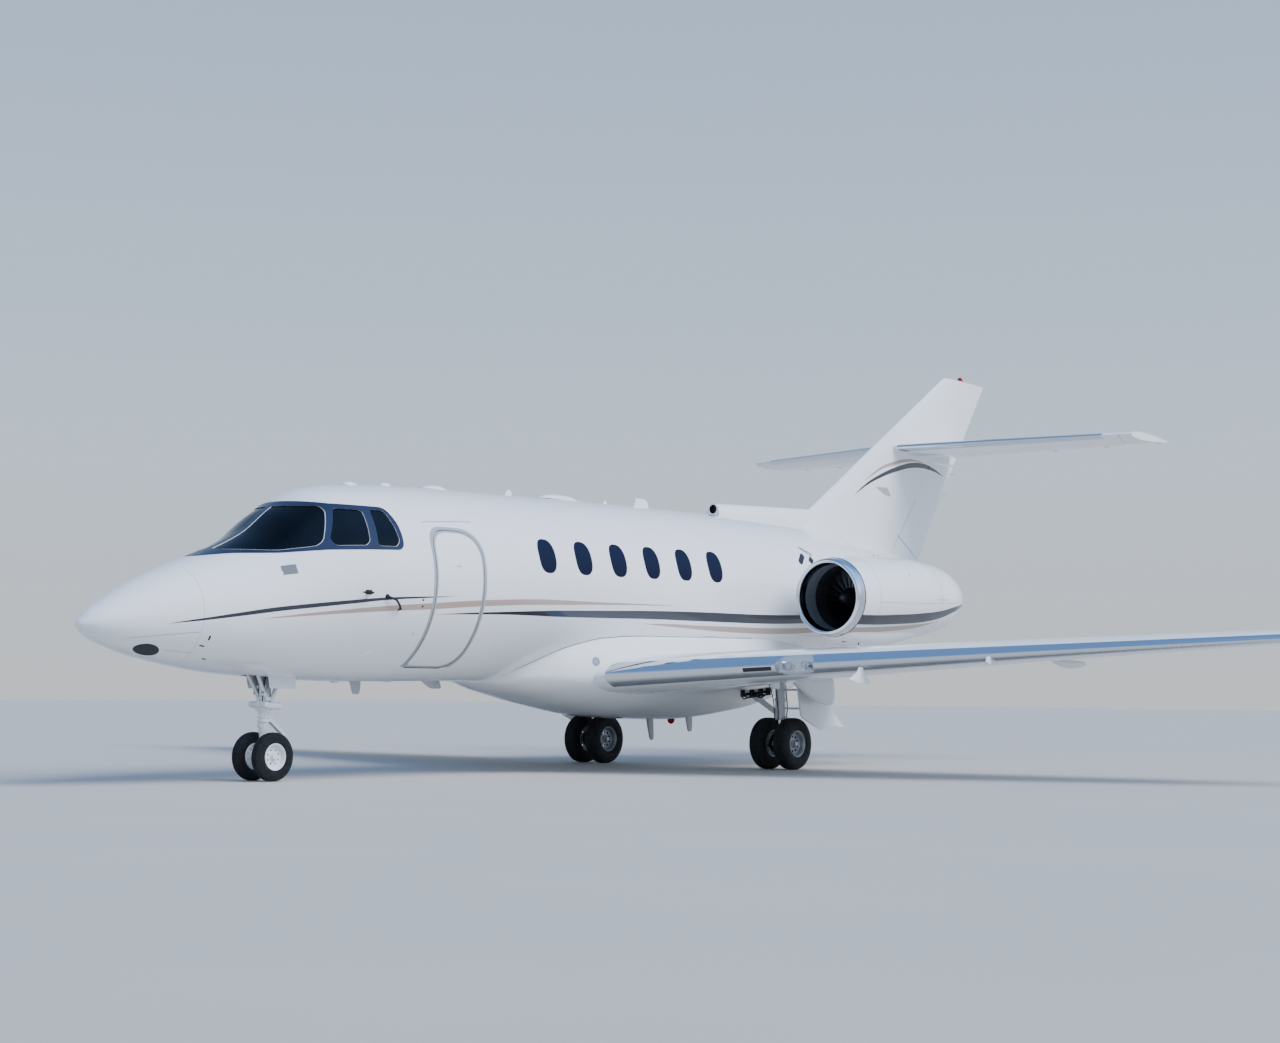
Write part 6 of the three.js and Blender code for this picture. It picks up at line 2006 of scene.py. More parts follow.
@dataclass
class Gear:
    """Landing gear with its wheels, legs, links, doors and the plumbing in the main bays, in millimetres."""

    nose: Wheel = field(default_factory=lambda: Wheel(228.5, 108, 127, 8, 8.5, 24))
    main: Wheel = field(default_factory=lambda: Wheel(292, 178, 152, 9, 16.5, 30))
    nose_station: float = 2100
    nose_twin: float = 140
    main_station: float = 8510
    main_y: float = 1395
    main_twin: float = 165
    # columns: height, radius
    nose_strut: Outline = (
        (620, 0), (620, 50), (632, 55), (668, 55), (676, 48), (742, 48), (748, 60), (786, 60), (792, 46),
        (900, 46), (908, 54), (948, 54), (956, 44), (1176, 44), (1176, 0),
    )
    nose_fork: Outline = (
        (206, 0), (206, 30), (300, 33), (420, 37), (500, 45), (548, 52), (552, 63), (566, 63), (570, 46),
        (592, 46), (596, 60), (611, 60), (612, 0),
    )
    # columns: distance aft of the leg, height
    cheek: Outline = ((-74, 806), (6, 800), (44, 960), (60, 1150), (-96, 1150), (-88, 940))
    cheek_holes: Outline = ((-30, 880), (-24, 980), (-20, 1070))
    # columns: height, radius
    main_strut: Outline = (
        (560, 0), (560, 60), (574, 68), (612, 68), (622, 60), (760, 60), (770, 68), (800, 68), (812, 58),
        (1060, 58), (1060, 0),
    )
    main_piston: Outline = ((250, 0), (250, 44), (330, 47), (350, 43), (562, 43), (562, 0))
    brake_pipes: tuple[Run, ...] = (
        (((-62, 20, 330), (-74, 24, 460), (-76, 20, 700), (-66, -30, 980)), 6),
        (((-58, -24, 330), (-72, -30, 520), (-70, -40, 760), (-60, -120, 980)), 6),
        (((70, 30, 560), (92, 34, 700), (84, 10, 960)), 7),
    )
    nose_pipes: tuple[Run, ...] = (
        (((50, -14, 640), (62, -14, 760), (58, -19.6, 960), (90, -30.8, 1170)), 6.5),
        (((50, 14, 640), (62, 14, 760), (58, 19.6, 960), (90, 30.8, 1170)), 6.5),
        (((-70, 60, 742), (-60, 70, 900), (-20, 66, 1080), (20, 70, 1172)), 5),
    )
    bay_pipes: tuple[Run, ...] = (
        (((-190, -385, 860), (-200, -315, 800), (-170, -245, 846), (-180, -145, 800), (-120, -65, 880)), 9),
        (((-210, -405, 850), (-230, -355, 784), (-190, -275, 826), (-150, -175, 856)), 7),
    )
    # rods in the main gear's bay
    bay_rods: tuple[Bar, ...] = (
        ((-150, -395, 842), (-130, -60, 880), 0.016, 0.016, 16),
        ((-110, -365, 812), (-100, -70, 850), 0.011, 0.011, 16),
    )
    valves: tuple[Beside, ...] = ((-200, -385, 838), (-160, -285, 842), (-130, -185, 852), (-110, -95, 862))
    # behind the nose leg
    nose_jacks: tuple[Bar, ...] = (
        ((52, 34, 742), (240, 60, 1172), 0.02, 0.02, 24),
        ((44, 32, 700), (70, 36, 770), 0.011, 0.011, 16),
    )
    # on both sides of the nose leg: brace, steering cylinder and its rod
    nose_braces: tuple[Bar, ...] = (
        ((-18, 52, 772), (-238, 84, 1172), 0.017, 0.017, 20),
        ((-30, 66, 706), (118, 92, 700), 0.036, 0.034, 32),
        ((-52, 62, 707), (-28, 66, 706), 0.022, 0.030, 24),
    )
    # the side stay's two halves, its knuckle and the retracting jack
    main_stays: tuple[Bar, ...] = (
        ((0, -54, 640), (0, -300, 790), 0.03, 0.034, 28),
        ((0, -290, 784), (0, -545, 905), 0.034, 0.027, 28),
        ((-42, -296, 787), (42, -296, 787), 0.03, 0.03, 28),
        ((-70, -90, 900), (-70, -430, 860), 0.036, 0.03, 28),
    )
    nose_links: tuple[Arm, ...] = (
        ((50, 596), (252, 424), (46, 26), 19), ((40, 262), (252, 424), (46, 26), 12),
    )
    main_links: tuple[Arm, ...] = (
        ((50, 600), (236, 455), (60, 32), 22), ((44, 316), (236, 455), (56, 32), 14),
    )
    # brace pin, spar and lamp; columns: reach to both sides, radius, then the place, then the sides
    nose_pins: tuple[tuple[float, float, Beside, int], ...] = (
        (70, 15, (-18, 0, 772), 20), (110, 13, (-175, 0, 1065), 20), (20, 16, (-62, 74, 812), 24),
    )
    # columns: distance to the left, radius
    trunnion: Outline = ((-149, 0), (-149, 30), (-120, 36), (120, 36), (149, 30), (149, 0))
    trunnion_z: float = 1110
    jack_half: Outline = ((118, 0), (118, 22), (96, 30), (30, 30), (24, 38))
    nose_boss: Outline = ((-60, 21), (-60, 44), (-52, 48), (52, 48), (60, 44), (60, 21))
    main_boss: Outline = ((-68, 36), (-68, 66), (-58, 72), (58, 72), (68, 66), (68, 36))
    brake_disc: Outline = (
        (70, 40), (70, 96), (74, 104), (80, 104), (81, 100), (83, 100), (84, 104), (87, 104), (87, 40),
    )
    brake_cylinder: Outline = ((56, 0), (56, 13), (72, 15), (72, 0))
    brake_ring: float = 76
    # columns: height, radius
    collar: Outline = ((652, 52), (652, 72), (662, 76), (690, 76), (698, 70), (698, 52))
    nose_piston: Outline = ((566, 0), (566, 41), (619, 41), (619, 0))
    main_door: Outline = (
        (8240, 1050), (8330, 600), (8540, 517), (8720, 448), (8920, 492), (9190, 479), (8900, 708),
        (8830, 1050),
    )
    door_y: float = 1780

    def build(self) -> None:
        """Makes the whole gear."""
        self.wheels()
        self.nose_leg()
        self.main_legs()
        self.doors()

    def wheels(self) -> None:
        """Makes tyres, hubs and axles."""
        for side, sign in SIDES:
            tyre, node = self.nose.tyre_mesh(self.nose_station, sign * self.nose_twin), f"nose_tyre_{side}"
            publish(tyre, f"nose_tyre_tread_{side}", "nose_wheels", [RUBBER], Slots.TYRE, [node])
            for leg, leg_sign in SIDES:
                tyre = self.main.tyre_mesh(self.main_station, leg_sign * self.main_y + sign * self.main_twin)
                publish(
                    tyre, f"main_{leg}_tyre_tread_{side}", f"main_{leg}_wheels", [RUBBER], Slots.TYRE,
                    [f"main_{leg}_tyre_{side}"],
                )
        hubs = joined(
            *[self.nose.hub_mesh(self.nose_station, sign * self.nose_twin, sign) for _, sign in SIDES],
            self.nose.axle_mesh(self.nose_station, 0, self.nose_twin - 10, 19),
        )
        publish(hubs, "nose_wheel_pair", "nose_wheels", [GEAR_PAINT, DARK_METAL], Slots.GEAR, ["nose_hubs"])
        for leg, leg_sign in SIDES:
            y = leg_sign * self.main_y
            s, twin = self.main_station, self.main_twin
            hubs = joined(
                *[self.main.hub_mesh(s, y + sign * twin, sign) for _, sign in SIDES],
                self.main.axle_mesh(s, y, twin - 12, 33),
            )
            name, body, finishes = f"main_{leg}_wheel_pair", f"main_{leg}_wheels", [WHEEL_METAL, DARK_METAL]
            publish(hubs, name, body, finishes, Slots.WHEEL, [f"main_{leg}_hubs"])

    def nose_leg(self) -> None:
        """Makes the nose leg, its braces and steering jacks, and the fork that turns."""
        s = self.nose_station
        strut = softened(upright(self.nose_strut, s, 0), 0.0015, 1)
        trunnion = crosswise(self.trunnion, s, 0, self.trunnion_z, 32)
        left = [(-reach, radius) for reach, radius in self.jack_half]
        jack = crosswise([*left, *reversed(self.jack_half)], s - 66, 0, 716, 32)
        saddle = softened(bay(s - 74, s + 6, -26, 26, 684, 748), 0.006, 2)
        collar = upright(self.collar, s, 0, 48)
        pins = [
            axle(reach, radius, s + aft, out, z, sides)
            for reach, radius, (aft, out, z), sides in self.nose_pins
        ]
        pairs = [bar for sign in (-1, 1) for bar in leg_bars(self.nose_braces, s, 0, sign)]
        leg = joined(strut, trunnion, jack, saddle, collar, *pins, *leg_bars(self.nose_jacks, s, 0), *pairs)
        publish(leg, "nose_leg_casting", "airframe", [GEAR_PAINT], Slots.GEAR, ["nose_leg"])
        pipes = joined(*leg_pipes(self.nose_pipes, s, 0))
        publish(pipes, "nose_leg_pipes", "airframe", [DARK_METAL], Slots.GEAR)
        cheeks = []
        for sign in (-1, 1):
            plate = rounded([(s + aft, z) for aft, z in self.cheek], [16] * len(self.cheek), 4)
            sheet = side_prism(plate, sign * 58 - 4, sign * 58 + 4)
            holes = [axle(9, 17, s + aft, sign * 58, z) for aft, z in self.cheek_holes]
            cheeks.append(carve(sheet, Carving.CUT, joined(*holes)))
        publish(joined(*cheeks), "nose_leg_cheeks", "airframe", [WHEEL_METAL], Slots.GEAR)

        fork = upright(self.nose_fork, s, 0)
        barrel = crosswise(self.nose_boss, s, 0, self.nose.tyre, 40)
        lug = softened(bay(1991, s - 20, -31, 31, 191, 267), 0.008, 2)
        foot_light = axle(22, 20, s - 40, 0, 520)
        fork = joined(fork, barrel, *leg_links(self.nose_links, s, 0), lug, foot_light)
        publish(fork, "nose_fork_casting", "nose_steering", [GEAR_PAINT], Slots.GEAR, ["nose_fork"])
        piston = upright(self.nose_piston, s, 0)
        publish(piston, "nose_leg_piston", "nose_steering", [CHROME], Slots.POLISHED)

    def main_legs(self) -> None:
        """Makes the main legs with their brakes, side stays and torque links."""
        s, y = self.main_station, self.main_y
        strut = softened(upright(self.main_strut, s, y), 0.0018, 1)
        barrel = crosswise(self.main_boss, s, y, self.main.tyre, 48)
        leg = joined(strut, barrel, *leg_bars(self.main_stays, s, y), *leg_links(self.main_links, s, y))
        publish_pair(leg, "main_leg_casting", "airframe", [GEAR_PAINT], Slots.GEAR, "main_leg_")
        piston = upright(self.main_piston, s, y)
        piston = carve(piston, Carving.CUT, axle(99, 36, s, y, self.main.tyre, 40))
        publish_pair(piston, "main_leg_piston", "airframe", [CHROME], Slots.POLISHED)
        brakes = []
        for sign in (-1, 1):
            disc, cylinder = (
                [(sign * reach, radius) for reach, radius in profile]
                for profile in (self.brake_disc, self.brake_cylinder)
            )
            brakes.append(crosswise(disc, s, y, self.main.tyre, 48))
            for ahead, up in circle(6, 0.5)[:5]:
                place = (s + self.brake_ring * ahead, y, self.main.tyre + self.brake_ring * up)
                brakes.append(crosswise(cylinder, *place, 16))
        publish_pair(joined(*brakes), "main_brake", "airframe", [DARK_METAL], Slots.ENGINE)
        pipes = joined(*leg_pipes(self.brake_pipes, s, y))
        publish_pair(pipes, "main_leg_pipes", "airframe", [PLASTIC], Slots.GEAR)
        nest = [*leg_bars(self.bay_rods, s, y), *leg_pipes(self.bay_pipes, s, y)]
        for aft, out, z in self.valves:
            at, left = s + aft, y + out
            valve = bay(at - 24, at + 24, left - 20, left + 20, z - 24, z + 60)
            nest.append(softened(valve, 0.006, 2))
        publish_pair(joined(*nest), "main_gear_plumbing", "airframe", [DARK_METAL], Slots.ENGINE)

    def doors(self) -> None:
        """Makes the gear doors, each a thin skin with ribs on its inner face."""
        outline = rounded(self.main_door, [30, 40, 30, 20, 20, 20, 40, 30], 5)
        skin = softened(side_prism(outline, self.door_y + 10, self.door_y + 28), 0.003, 1)
        inner = rounded(moved_out(self.main_door, -46), [20] * 8, 4)
        pan = set_finish(softened(side_prism(inner, self.door_y, self.door_y + 14), 0.004, 1), 1)
        ribs = [
            set_finish(rod(point(a, self.door_y + 2, za), point(b, self.door_y + 2, zb), 0.009, 0.009, 12), 1)
            for a, za, b, zb in ((8340, 960, 8420, 620), (8560, 990, 8600, 560), (8760, 980, 8760, 540))
        ]
        s = self.main_station
        stays = [rod(point(s, self.main_y + 50, z), point(s, self.door_y + 6, z), 0.012) for z in (690, 900)]
        door = joined(skin, pan, *ribs, *[set_finish(stay, 1) for stay in stays])
        publish_pair(door, "main_door_skin", "airframe", [WHITE_PAINT, GEAR_PAINT], Slots.WHITE, "main_door_")

        front, back, low, high = 1960, 2400, 835, 1100
        corners = [(front, high), (back, high), (back - 20, low), (front + 40, low)]
        outline = rounded(corners, [5, 5, 40, 60], 5)
        skin = softened(side_prism(outline, 158, 169), 0.003, 1)
        inner = [(front + 40, 1040), (back - 40, 1040), (back - 55, low + 30), (front + 75, low + 30)]
        pan = set_finish(softened(side_prism(rounded(inner, [16] * 4, 4), 154, 159), 0.002, 1), 1)
        bulk = hull_solid(1400, 3300, 0.3, 40)
        hinges = [rod(point(at, 152, 985), point(at + 60, 152, 985), 0.008, 0.008, 12) for at in (2010, 2290)]
        plates = [carve(plate, Carving.CUT, bulk) for plate in (skin, pan)]
        door = joined(*plates, *[set_finish(pin, 1) for pin in hinges])
        publish_pair(door, "nose_door_skin", "airframe", [WHITE_PAINT, GEAR_PAINT], Slots.WHITE, "nose_door_")


# Lines, plates and small openings that lie on the skins


def ribbon(spots: Sequence[tuple[Vector, Vector]], wide: float, proud: float = 0.8) -> Mesh:
    """A thin flat line that lies on a skin.

    Args:
        spots: points of the skin, each with the direction out of it.
        wide: its width in millimetres.
        proud: how far it stands off the skin, in millimetres.

    Returns:
        The line as a closed strip that is sunk a little into the skin.
    """
    rings = []
    for i, (spot, normal) in enumerate(spots):
        run = spots[min(i + 1, len(spots) - 1)][0] - spots[max(i - 1, 0)][0]
        side = run.cross(normal).normalized() * (wide * MM / 2)
        high, low = normal * (proud * MM), normal * (-2 * MM)
        rings.append([spot - side + low, spot + side + low, spot + side + high, spot - side + high])
    return loft(rings)


def spaced(corners: Outline, pitch: float = 45.0) -> list[tuple[float, float]]:
    """Points along straight lines between corners, no further apart than the pitch."""
    run = [corners[0]]
    for before, after in zip(corners, corners[1:]):
        steps = max(1, math.ceil(math.dist(before, after) / pitch))
        run += list(zip(spread(before[0], after[0], steps), spread(before[1], after[1], steps)))[1:]
    return run


def hull_line(corners: Outline, wide: float, side: int = 1) -> Mesh:
    """A line on the hull through stations and heights, in millimetres."""
    return ribbon([on_hull(station, z, side) for station, z in spaced(corners)], wide)


def hull_hoop(station: float, wide: float) -> Mesh:
    """A joint that runs right round the hull at a station."""
    outer, inner = hull_ring(station, 0.7), hull_ring(station, -2)
    half = Vector((wide * MM / 2, 0, 0))
    rings = [[low + half, low - half, high - half, high + half] for low, high in zip(inner, outer)]
    return loft([*rings, rings[0]], capped=False)


def on_fin(station: float, z: float) -> tuple[Vector, Vector]:
    """A point of the fin's left face and the direction out of it."""
    section = Fin().section(z)
    share = (station * MM - (NOSE_X - section.lead.x)) / section.chord
    step = 0.01
    share = min(max(share, step), 1 - step)
    rise = section.half_metres(min(share + step, 1.0)) - section.half_metres(share - step)
    slope = rise / (2 * step * section.chord)
    return point(station, section.half_metres(share) / MM, z), Vector((slope, 1, 0)).normalized()


def fin_plate(corners: Outline, proud: float) -> Mesh:
    """A thin plate on the fin's left face."""
    spots = [on_fin(station, z) for station, z in corners]
    return loft([[s - n * (2 * MM) for s, n in spots], [s + n * (proud * MM) for s, n in spots]])


def on_fairing(station: float, degrees: float, side: int = 1) -> tuple[Vector, Vector]:
    """A point of the belly fairing's skin and the direction out of it.

    Args:
        station: the station in millimetres.
        degrees: angle round the section, up from its widest line.
        side: 1 for the left side or -1 for the right.

    Returns:
        The point and the unit direction.
    """
    def at(where: float, angle: float) -> Vector:
        """The skin's point at a station and angle."""
        half, bottom, middle, top = FAIRING_TABLE.at(where)
        across, up = math.cos(math.radians(angle)), math.sin(math.radians(angle))
        power = FAIRING_SQUARENESS if up < 0 else 1.0
        high = middle - bottom if up < 0 else top - middle
        return point(where, side * half * across ** power, middle + high * squared(up, power))

    along = at(station - 6, degrees) - at(station + 6, degrees)
    rise = at(station, degrees + 0.5) - at(station, degrees - 0.5)
    return at(station, degrees), (rise.cross(along) * side).normalized()


@dataclass
class SkinDetails:
    """Panel lines, plates, vents, the door's handle and steps, and the pads of the jacks, in millimetres."""

    # lines on the left and right sides of the hull: corners as station and height, width
    side_lines: tuple[tuple[Outline, float], ...] = (
        (((361, 1291), (620, 1322), (943, 1356)), 3.0),
        (((706, 1194), (965, 1172)), 3.0),
        (((9650, 1380), (9650, 1560), (10350, 1560), (10350, 1420)), 2.4),
        (((11700, 2300), (11700, 2620), (12350, 2560), (12350, 2300), (11700, 2300)), 2.4),
    )
    door_line: Outline = ((3349, 2486), (3700, 2514), (4048, 2535))
    hoops: tuple[float, ...] = (11250, 13900)
    louvre: Outline = ((9764, 2644), (9992, 2558))
    # columns: sizes, station, z, turn in radians
    vent_plates: tuple[tuple, ...] = (
        ((190, 74, 4, 0.5), 9700, 2480, 0.75), ((96, 74, 4, 0.2), 9905, 2474, 0.75),
        ((96, 34, 5, 0.5), 11739, 2622, 1.1), ((96, 34, 5, 0.5), 11929, 2622, -1.1),
    )
    # a dark oval low on the nose: middle, long half and short half, each as station and angle round the hull
    oval: tuple[tuple[float, float], ...] = ((575, -59), (106, 6.2), (-60, 14))
    oval_proud: float = 1.2
    oval_sunk: float = 2.0
    probe_path: tuple[tuple[float, float, float], ...] = (
        (2800, 1738, -4), (2812, 1736, 34), (2880, 1716, 52), (2926, 1672, 50), (2962, 1632, 34),
        (2970, 1618, -4),
    )
    handle: tuple[float, float] = (3706, 2071)
    treads: tuple[float, ...] = (1400, 1650, 1900)
    tread_stations: tuple[float, float] = (3480, 3980)

    def build(self) -> None:
        """Makes everything that lies on the skins."""
        for side, sign in SIDES:
            lines = [hull_line(corners, wide, sign) for corners, wide in self.side_lines]
            publish(joined(*lines), f"hull_panel_lines_{side}", "airframe", [SEALANT], Slots.WHITE)
        publish(hull_line(self.door_line, 7), "door_rain_gutter", "airframe", [SEALANT], Slots.WHITE)
        self.nose_marks()
        hoops = [hull_hoop(station, 2.2) for station in self.hoops]
        publish(joined(*hoops), "hull_section_joints", "airframe", [SEALANT], Slots.WHITE)
        self.vents()
        self.fin_marks()
        self.door_parts()
        self.pads()

    def vents(self) -> None:
        """Makes the vents beside the intakes and the round port of the belly fairing."""
        for side, sign in SIDES:
            (front, high), (back, low) = self.louvre
            slats = [
                hull_line(((front + 8 * i, high - 13 * i), (back - 8 * i, low - 13 * i)), 6, sign)
                for i in range(4)
            ]
            plates = [
                on_skin(tile(*sizes), on_hull(station, z, sign), 0.001, turn)
                for sizes, station, z, turn in self.vent_plates
            ]
            publish(joined(*slats, *plates), f"hull_vent_{side}", "airframe", [PLASTIC], Slots.PLASTIC)
            ring = on_skin(port(47, 5), on_fairing(5850, 9.0, sign), -0.001)
            publish(ring, f"fairing_port_{side}", "airframe", [STEEL], Slots.POLISHED)
            publish(self.fairing_line(sign), f"fairing_edge_{side}", "airframe", [SEALANT], Slots.WHITE)

    def fairing_line(self, sign: int) -> Mesh:
        """The line of sealant where the belly fairing meets the hull's side."""
        spots = []
        for station in spread(5010, 8700, 60):
            top, bottom, half = HULL_TABLE.at(station)
            for degrees in range(-80, 90):
                spot, _ = on_fairing(station, degrees, sign)
                across = abs(spot.y) / MM / half
                high = (spot.z / MM - (top + bottom) / 2) / ((top - bottom) / 2)
                if across ** 2 + high ** 2 < 1:
                    spots.append(on_hull(station, spot.z / MM, sign))
                    break
        return ribbon(spots, 7, 1.6)

    def nose_marks(self) -> None:
        """Makes the dark ovals and bent probes on both sides of the nose, and the left side's drain mast."""
        middle, long_half, short_half = self.oval
        rings = []
        for share in spread(0, 1, 12):
            lift = self.oval_proud if share < 1 else -self.oval_sunk
            ring = []
            for along, across in circle(40):
                along, across = max(share, 0.001) * along, max(share, 0.001) * across
                station = middle[0] + long_half[0] * along + short_half[0] * across
                around = math.radians(middle[1] + long_half[1] * along + short_half[1] * across)
                top, bottom, half = HULL_TABLE.at(station)
                high = (top - bottom) / 2 + lift
                z = (top + bottom) / 2 + high * math.sin(around)
                ring.append(point(station, (half + lift) * math.cos(around), z))
            rings.append(ring)
        publish_pair(loft(rings), "nose_oval", "airframe", [PLASTIC], Slots.PLASTIC)
        path = []
        for station, z, proud in self.probe_path:
            spot, normal = on_hull(station, z)
            path.append(spot + normal * (proud * MM))
        bent = joined(tube(path, 0.011, 14), on_skin(port(24, 3), on_hull(2806, 1737)))
        publish_pair(bent, "nose_probe", "airframe", [PLASTIC], Slots.PLASTIC)
        mast = on_skin(tile(96, 12, 9, 0.4), on_hull(2797, 1198), 0.001, math.pi / 4)
        publish(mast, "nose_drain_mast", "airframe", [WHITE_PAINT], Slots.WHITE)

    def fin_marks(self) -> None:
        """Makes the grey plate and the white line of the fin, and the line of the rudder's tab."""
        plate = fin_plate(((12525, 3635), (12824, 3646), (12924, 3532), (12748, 3545)), 1.5)
        publish_pair(plate, "fin_erosion_plate", "airframe", [AERIAL_PAINT], Slots.WHITE)
        for name, finish, wide, proud, corners in (
            ("rudder_tab_line", SEALANT, 5, 0.8, ((13619, 3546), (12996, 2801))),
            ("rudder_stiffener", WHITE_PAINT, 12, 3, ((13859, 3887), (14450, 3938))),
        ):
            line = ribbon([on_fin(station, z) for station, z in spaced(corners)], wide, proud)
            publish_pair(line, name, "rudder", [finish], Slots.WHITE)

    def door_parts(self) -> None:
        """Makes the door's handle, its three treads and its hand rails."""
        station, z = self.handle
        plate = on_skin(tile(110, 26, 1.2, 0.5), on_hull(station, z))
        grip = set_finish(on_skin(tile(64, 7, 2.2, 0.5), on_hull(station, z)), 1)
        publish(joined(plate, grip), "door_handle", "entrance_door", [WHITE_PAINT, SEALANT], Slots.POLISHED)
        front, back = self.tread_stations
        for number, high in enumerate(self.treads):
            wall = hull_half_width(station, high) - SKIN_WALL
            tread = softened(bay(front, back, wall - 180, wall + 12, high - 16, high + 16), 0.008, 2)
            grips = []
            for i in range(5):
                inner = wall - 165 + 34 * i
                strip = bay(front + 30, back - 30, inner, inner + 15, high - 19, high + 19)
                grips.append(set_finish(strip, 1))
            step = joined(tread, *grips)
            publish(step, f"door_tread_{number}", "entrance_door", [STEEL, PLASTIC], Slots.POLISHED)
        rails = []
        for at in (front - 26, back + 26):
            spots = [
                (at, hull_half_width(station, high) - SKIN_WALL - inwards, high)
                for high, inwards in ((1330, -4), (1360, 96), (1950, 96), (1990, -4))
            ]
            rails.append(pipe(spots, 11))
        publish(joined(*rails), "door_hand_rails", "entrance_door", [STEEL], Slots.POLISHED)

    def pads(self) -> None:
        """Makes the flat pads that jacks are set under."""
        wing = upright([(905, 0), (905, 40), (909, 45), (1010, 45), (1010, 0)], 7350, 2150)
        publish_pair(wing, "wing_jack_boss", "airframe", [GEAR_PAINT], Slots.WHITE)
        nose = upright([(925, 0), (925, 36), (929, 40), (965, 40), (965, 0)], 2980, 0)
        publish(nose, "nose_jack_boss", "airframe", [GEAR_PAINT], Slots.WHITE)


@dataclass
class EdgeDetails:
    """Lamps, slots and plates along the wing's leading edge, in millimetres."""

    lamp_span: tuple[float, float] = (2680, 3040)
    lamp_reach: tuple[float, float] = (0.05, 0.045)
    lamps: tuple[float, ...] = (2800, 2940)
    slot_span: tuple[float, float] = (2365, 2640)
    # columns: name, y, outline as stations and heights
    plates: tuple[tuple[str, float, Outline], ...] = (
        ("edge_plate_inner", 3490, (
            (6742, 1004), (6890, 1080), (6925, 1130), (7000, 1130), (7020, 1078), (7131, 975), (7060, 962),
            (6900, 966),
        )),
        ("edge_plate_outer", 4680, ((7420, 1240), (7400, 1190), (7490, 1160), (7640, 1160), (7640, 1240))),
    )
    # columns: name, y, half width, spine as stations with the height of its foot and top
    hinge_fairings: tuple[tuple, ...] = (
        ("flap_fairing_inner", 1944, 50, (
            (7900, 1030, 1040), (8050, 930, 1046), (8250, 830, 1050), (8500, 752, 1050), (8690, 728, 1045),
            (8745, 740, 1030), (8762, 780, 990), (8765, 850, 900),
        )),
        ("flap_fairing_outer", 4905, 34, (
            (8330, 1210, 1220), (8500, 1165, 1226), (8750, 1138, 1226), (8960, 1150, 1222),
            (9090, 1180, 1212),
        )),
    )
    # the inner fairing is bare metal behind this station
    bare_station: float = 8700

    def lens_rings(self, shrink: float, proud: float) -> list[list[Vector]]:
        """Curves round the leading edge that draw in to an oval at both ends."""
        rings = []
        for y, t in zip(spread(*self.lamp_span, 16), spread(-1, 1, 16)):
            share = max(0.06, math.sqrt(max(0.0, 1 - abs(t) ** 3))) * shrink
            upper, lower = (reach * share for reach in self.lamp_reach)
            rings.append(Wings().section(y).nose(upper, lower, proud))
        return rings

    def pocket(self) -> Mesh:
        """What the landing lamps' opening takes out of the edge."""
        return set_finish(loft(self.lens_rings(1.0, 0.012)), 1)

    def build(self) -> None:
        """Makes the lamps with their cover, the slot, and the plates under the edge."""
        cover = sleeve(self.lens_rings(1.03, 0.0022), 0.003)
        publish_pair(cover, "landing_lamp_cover", "airframe", [CLEAR_GLASS], Slots.GLASS)
        bowls = []
        bowl = (
            (-0.05, 0.0), (-0.046, 0.02), (-0.03, 0.037), (0.0, 0.048), (0.0, 0.044), (-0.026, 0.033),
            (-0.04, 0.016), (-0.044, 0.0),
        )
        bulb = ((-0.046, 0.0), (-0.044, 0.01), (-0.026, 0.012), (-0.018, 0.008), (-0.015, 0.0))
        for y in self.lamps:
            place = Matrix.Translation(Wings().section(y).spot(0.0, 0.0) + Vector((-0.03, 0, 0)))
            bowls += [turned(bowl, place, 32), set_finish(turned(bulb, place, 20), 1)]
        publish_pair(joined(*bowls), "landing_lamps", "airframe", [CHROME, CLEAR_GLASS], Slots.POLISHED)
        rings = [Wings().section(y).nose(0.05, 0.05, 0.0018)[14:20] for y in spread(*self.slot_span, 8)]
        publish_pair(sleeve(rings, 0.003), "edge_slot", "airframe", [PLASTIC], Slots.PLASTIC)
        for name, y, outline in self.plates:
            plate = softened(side_prism(outline, y - 3, y + 3), 0.002, 1)
            publish_pair(plate, name, "airframe", [WHITE_PAINT], Slots.WHITE)
        self.fairings()

    def fairings(self) -> None:
        """Makes the slim fairings under the flap's hinges."""
        for name, y, half, spine in self.hinge_fairings:
            table = SmoothTable(spine)
            front, back = spine[0][0], spine[-1][0]
            rings = []
            for station in spread(front, back, 32, 0.8):
                low, top = table.at(station)
                middle, high = (low + top) / 2, (top - low) / 2
                grow = min(1.0, (station - front) / 260 + 0.1, math.sqrt(max((back - station) / 40, 0.12)))
                rings.append([
                    point(station, y + half * grow * squared(across, 0.8), middle + high * squared(up, 0.8))
                    for across, up in circle(28)
                ])
            shape = loft(rings)
            bare_x = NOSE_X - self.bare_station * MM
            for face in shape.faces:
                if name == "flap_fairing_inner" and face.calc_center_median().x < bare_x:
                    face.material_index = 1
            publish_pair(shape, name, "airframe", [WHITE_PAINT, POLISHED], Slots.WHITE)


# Cabin


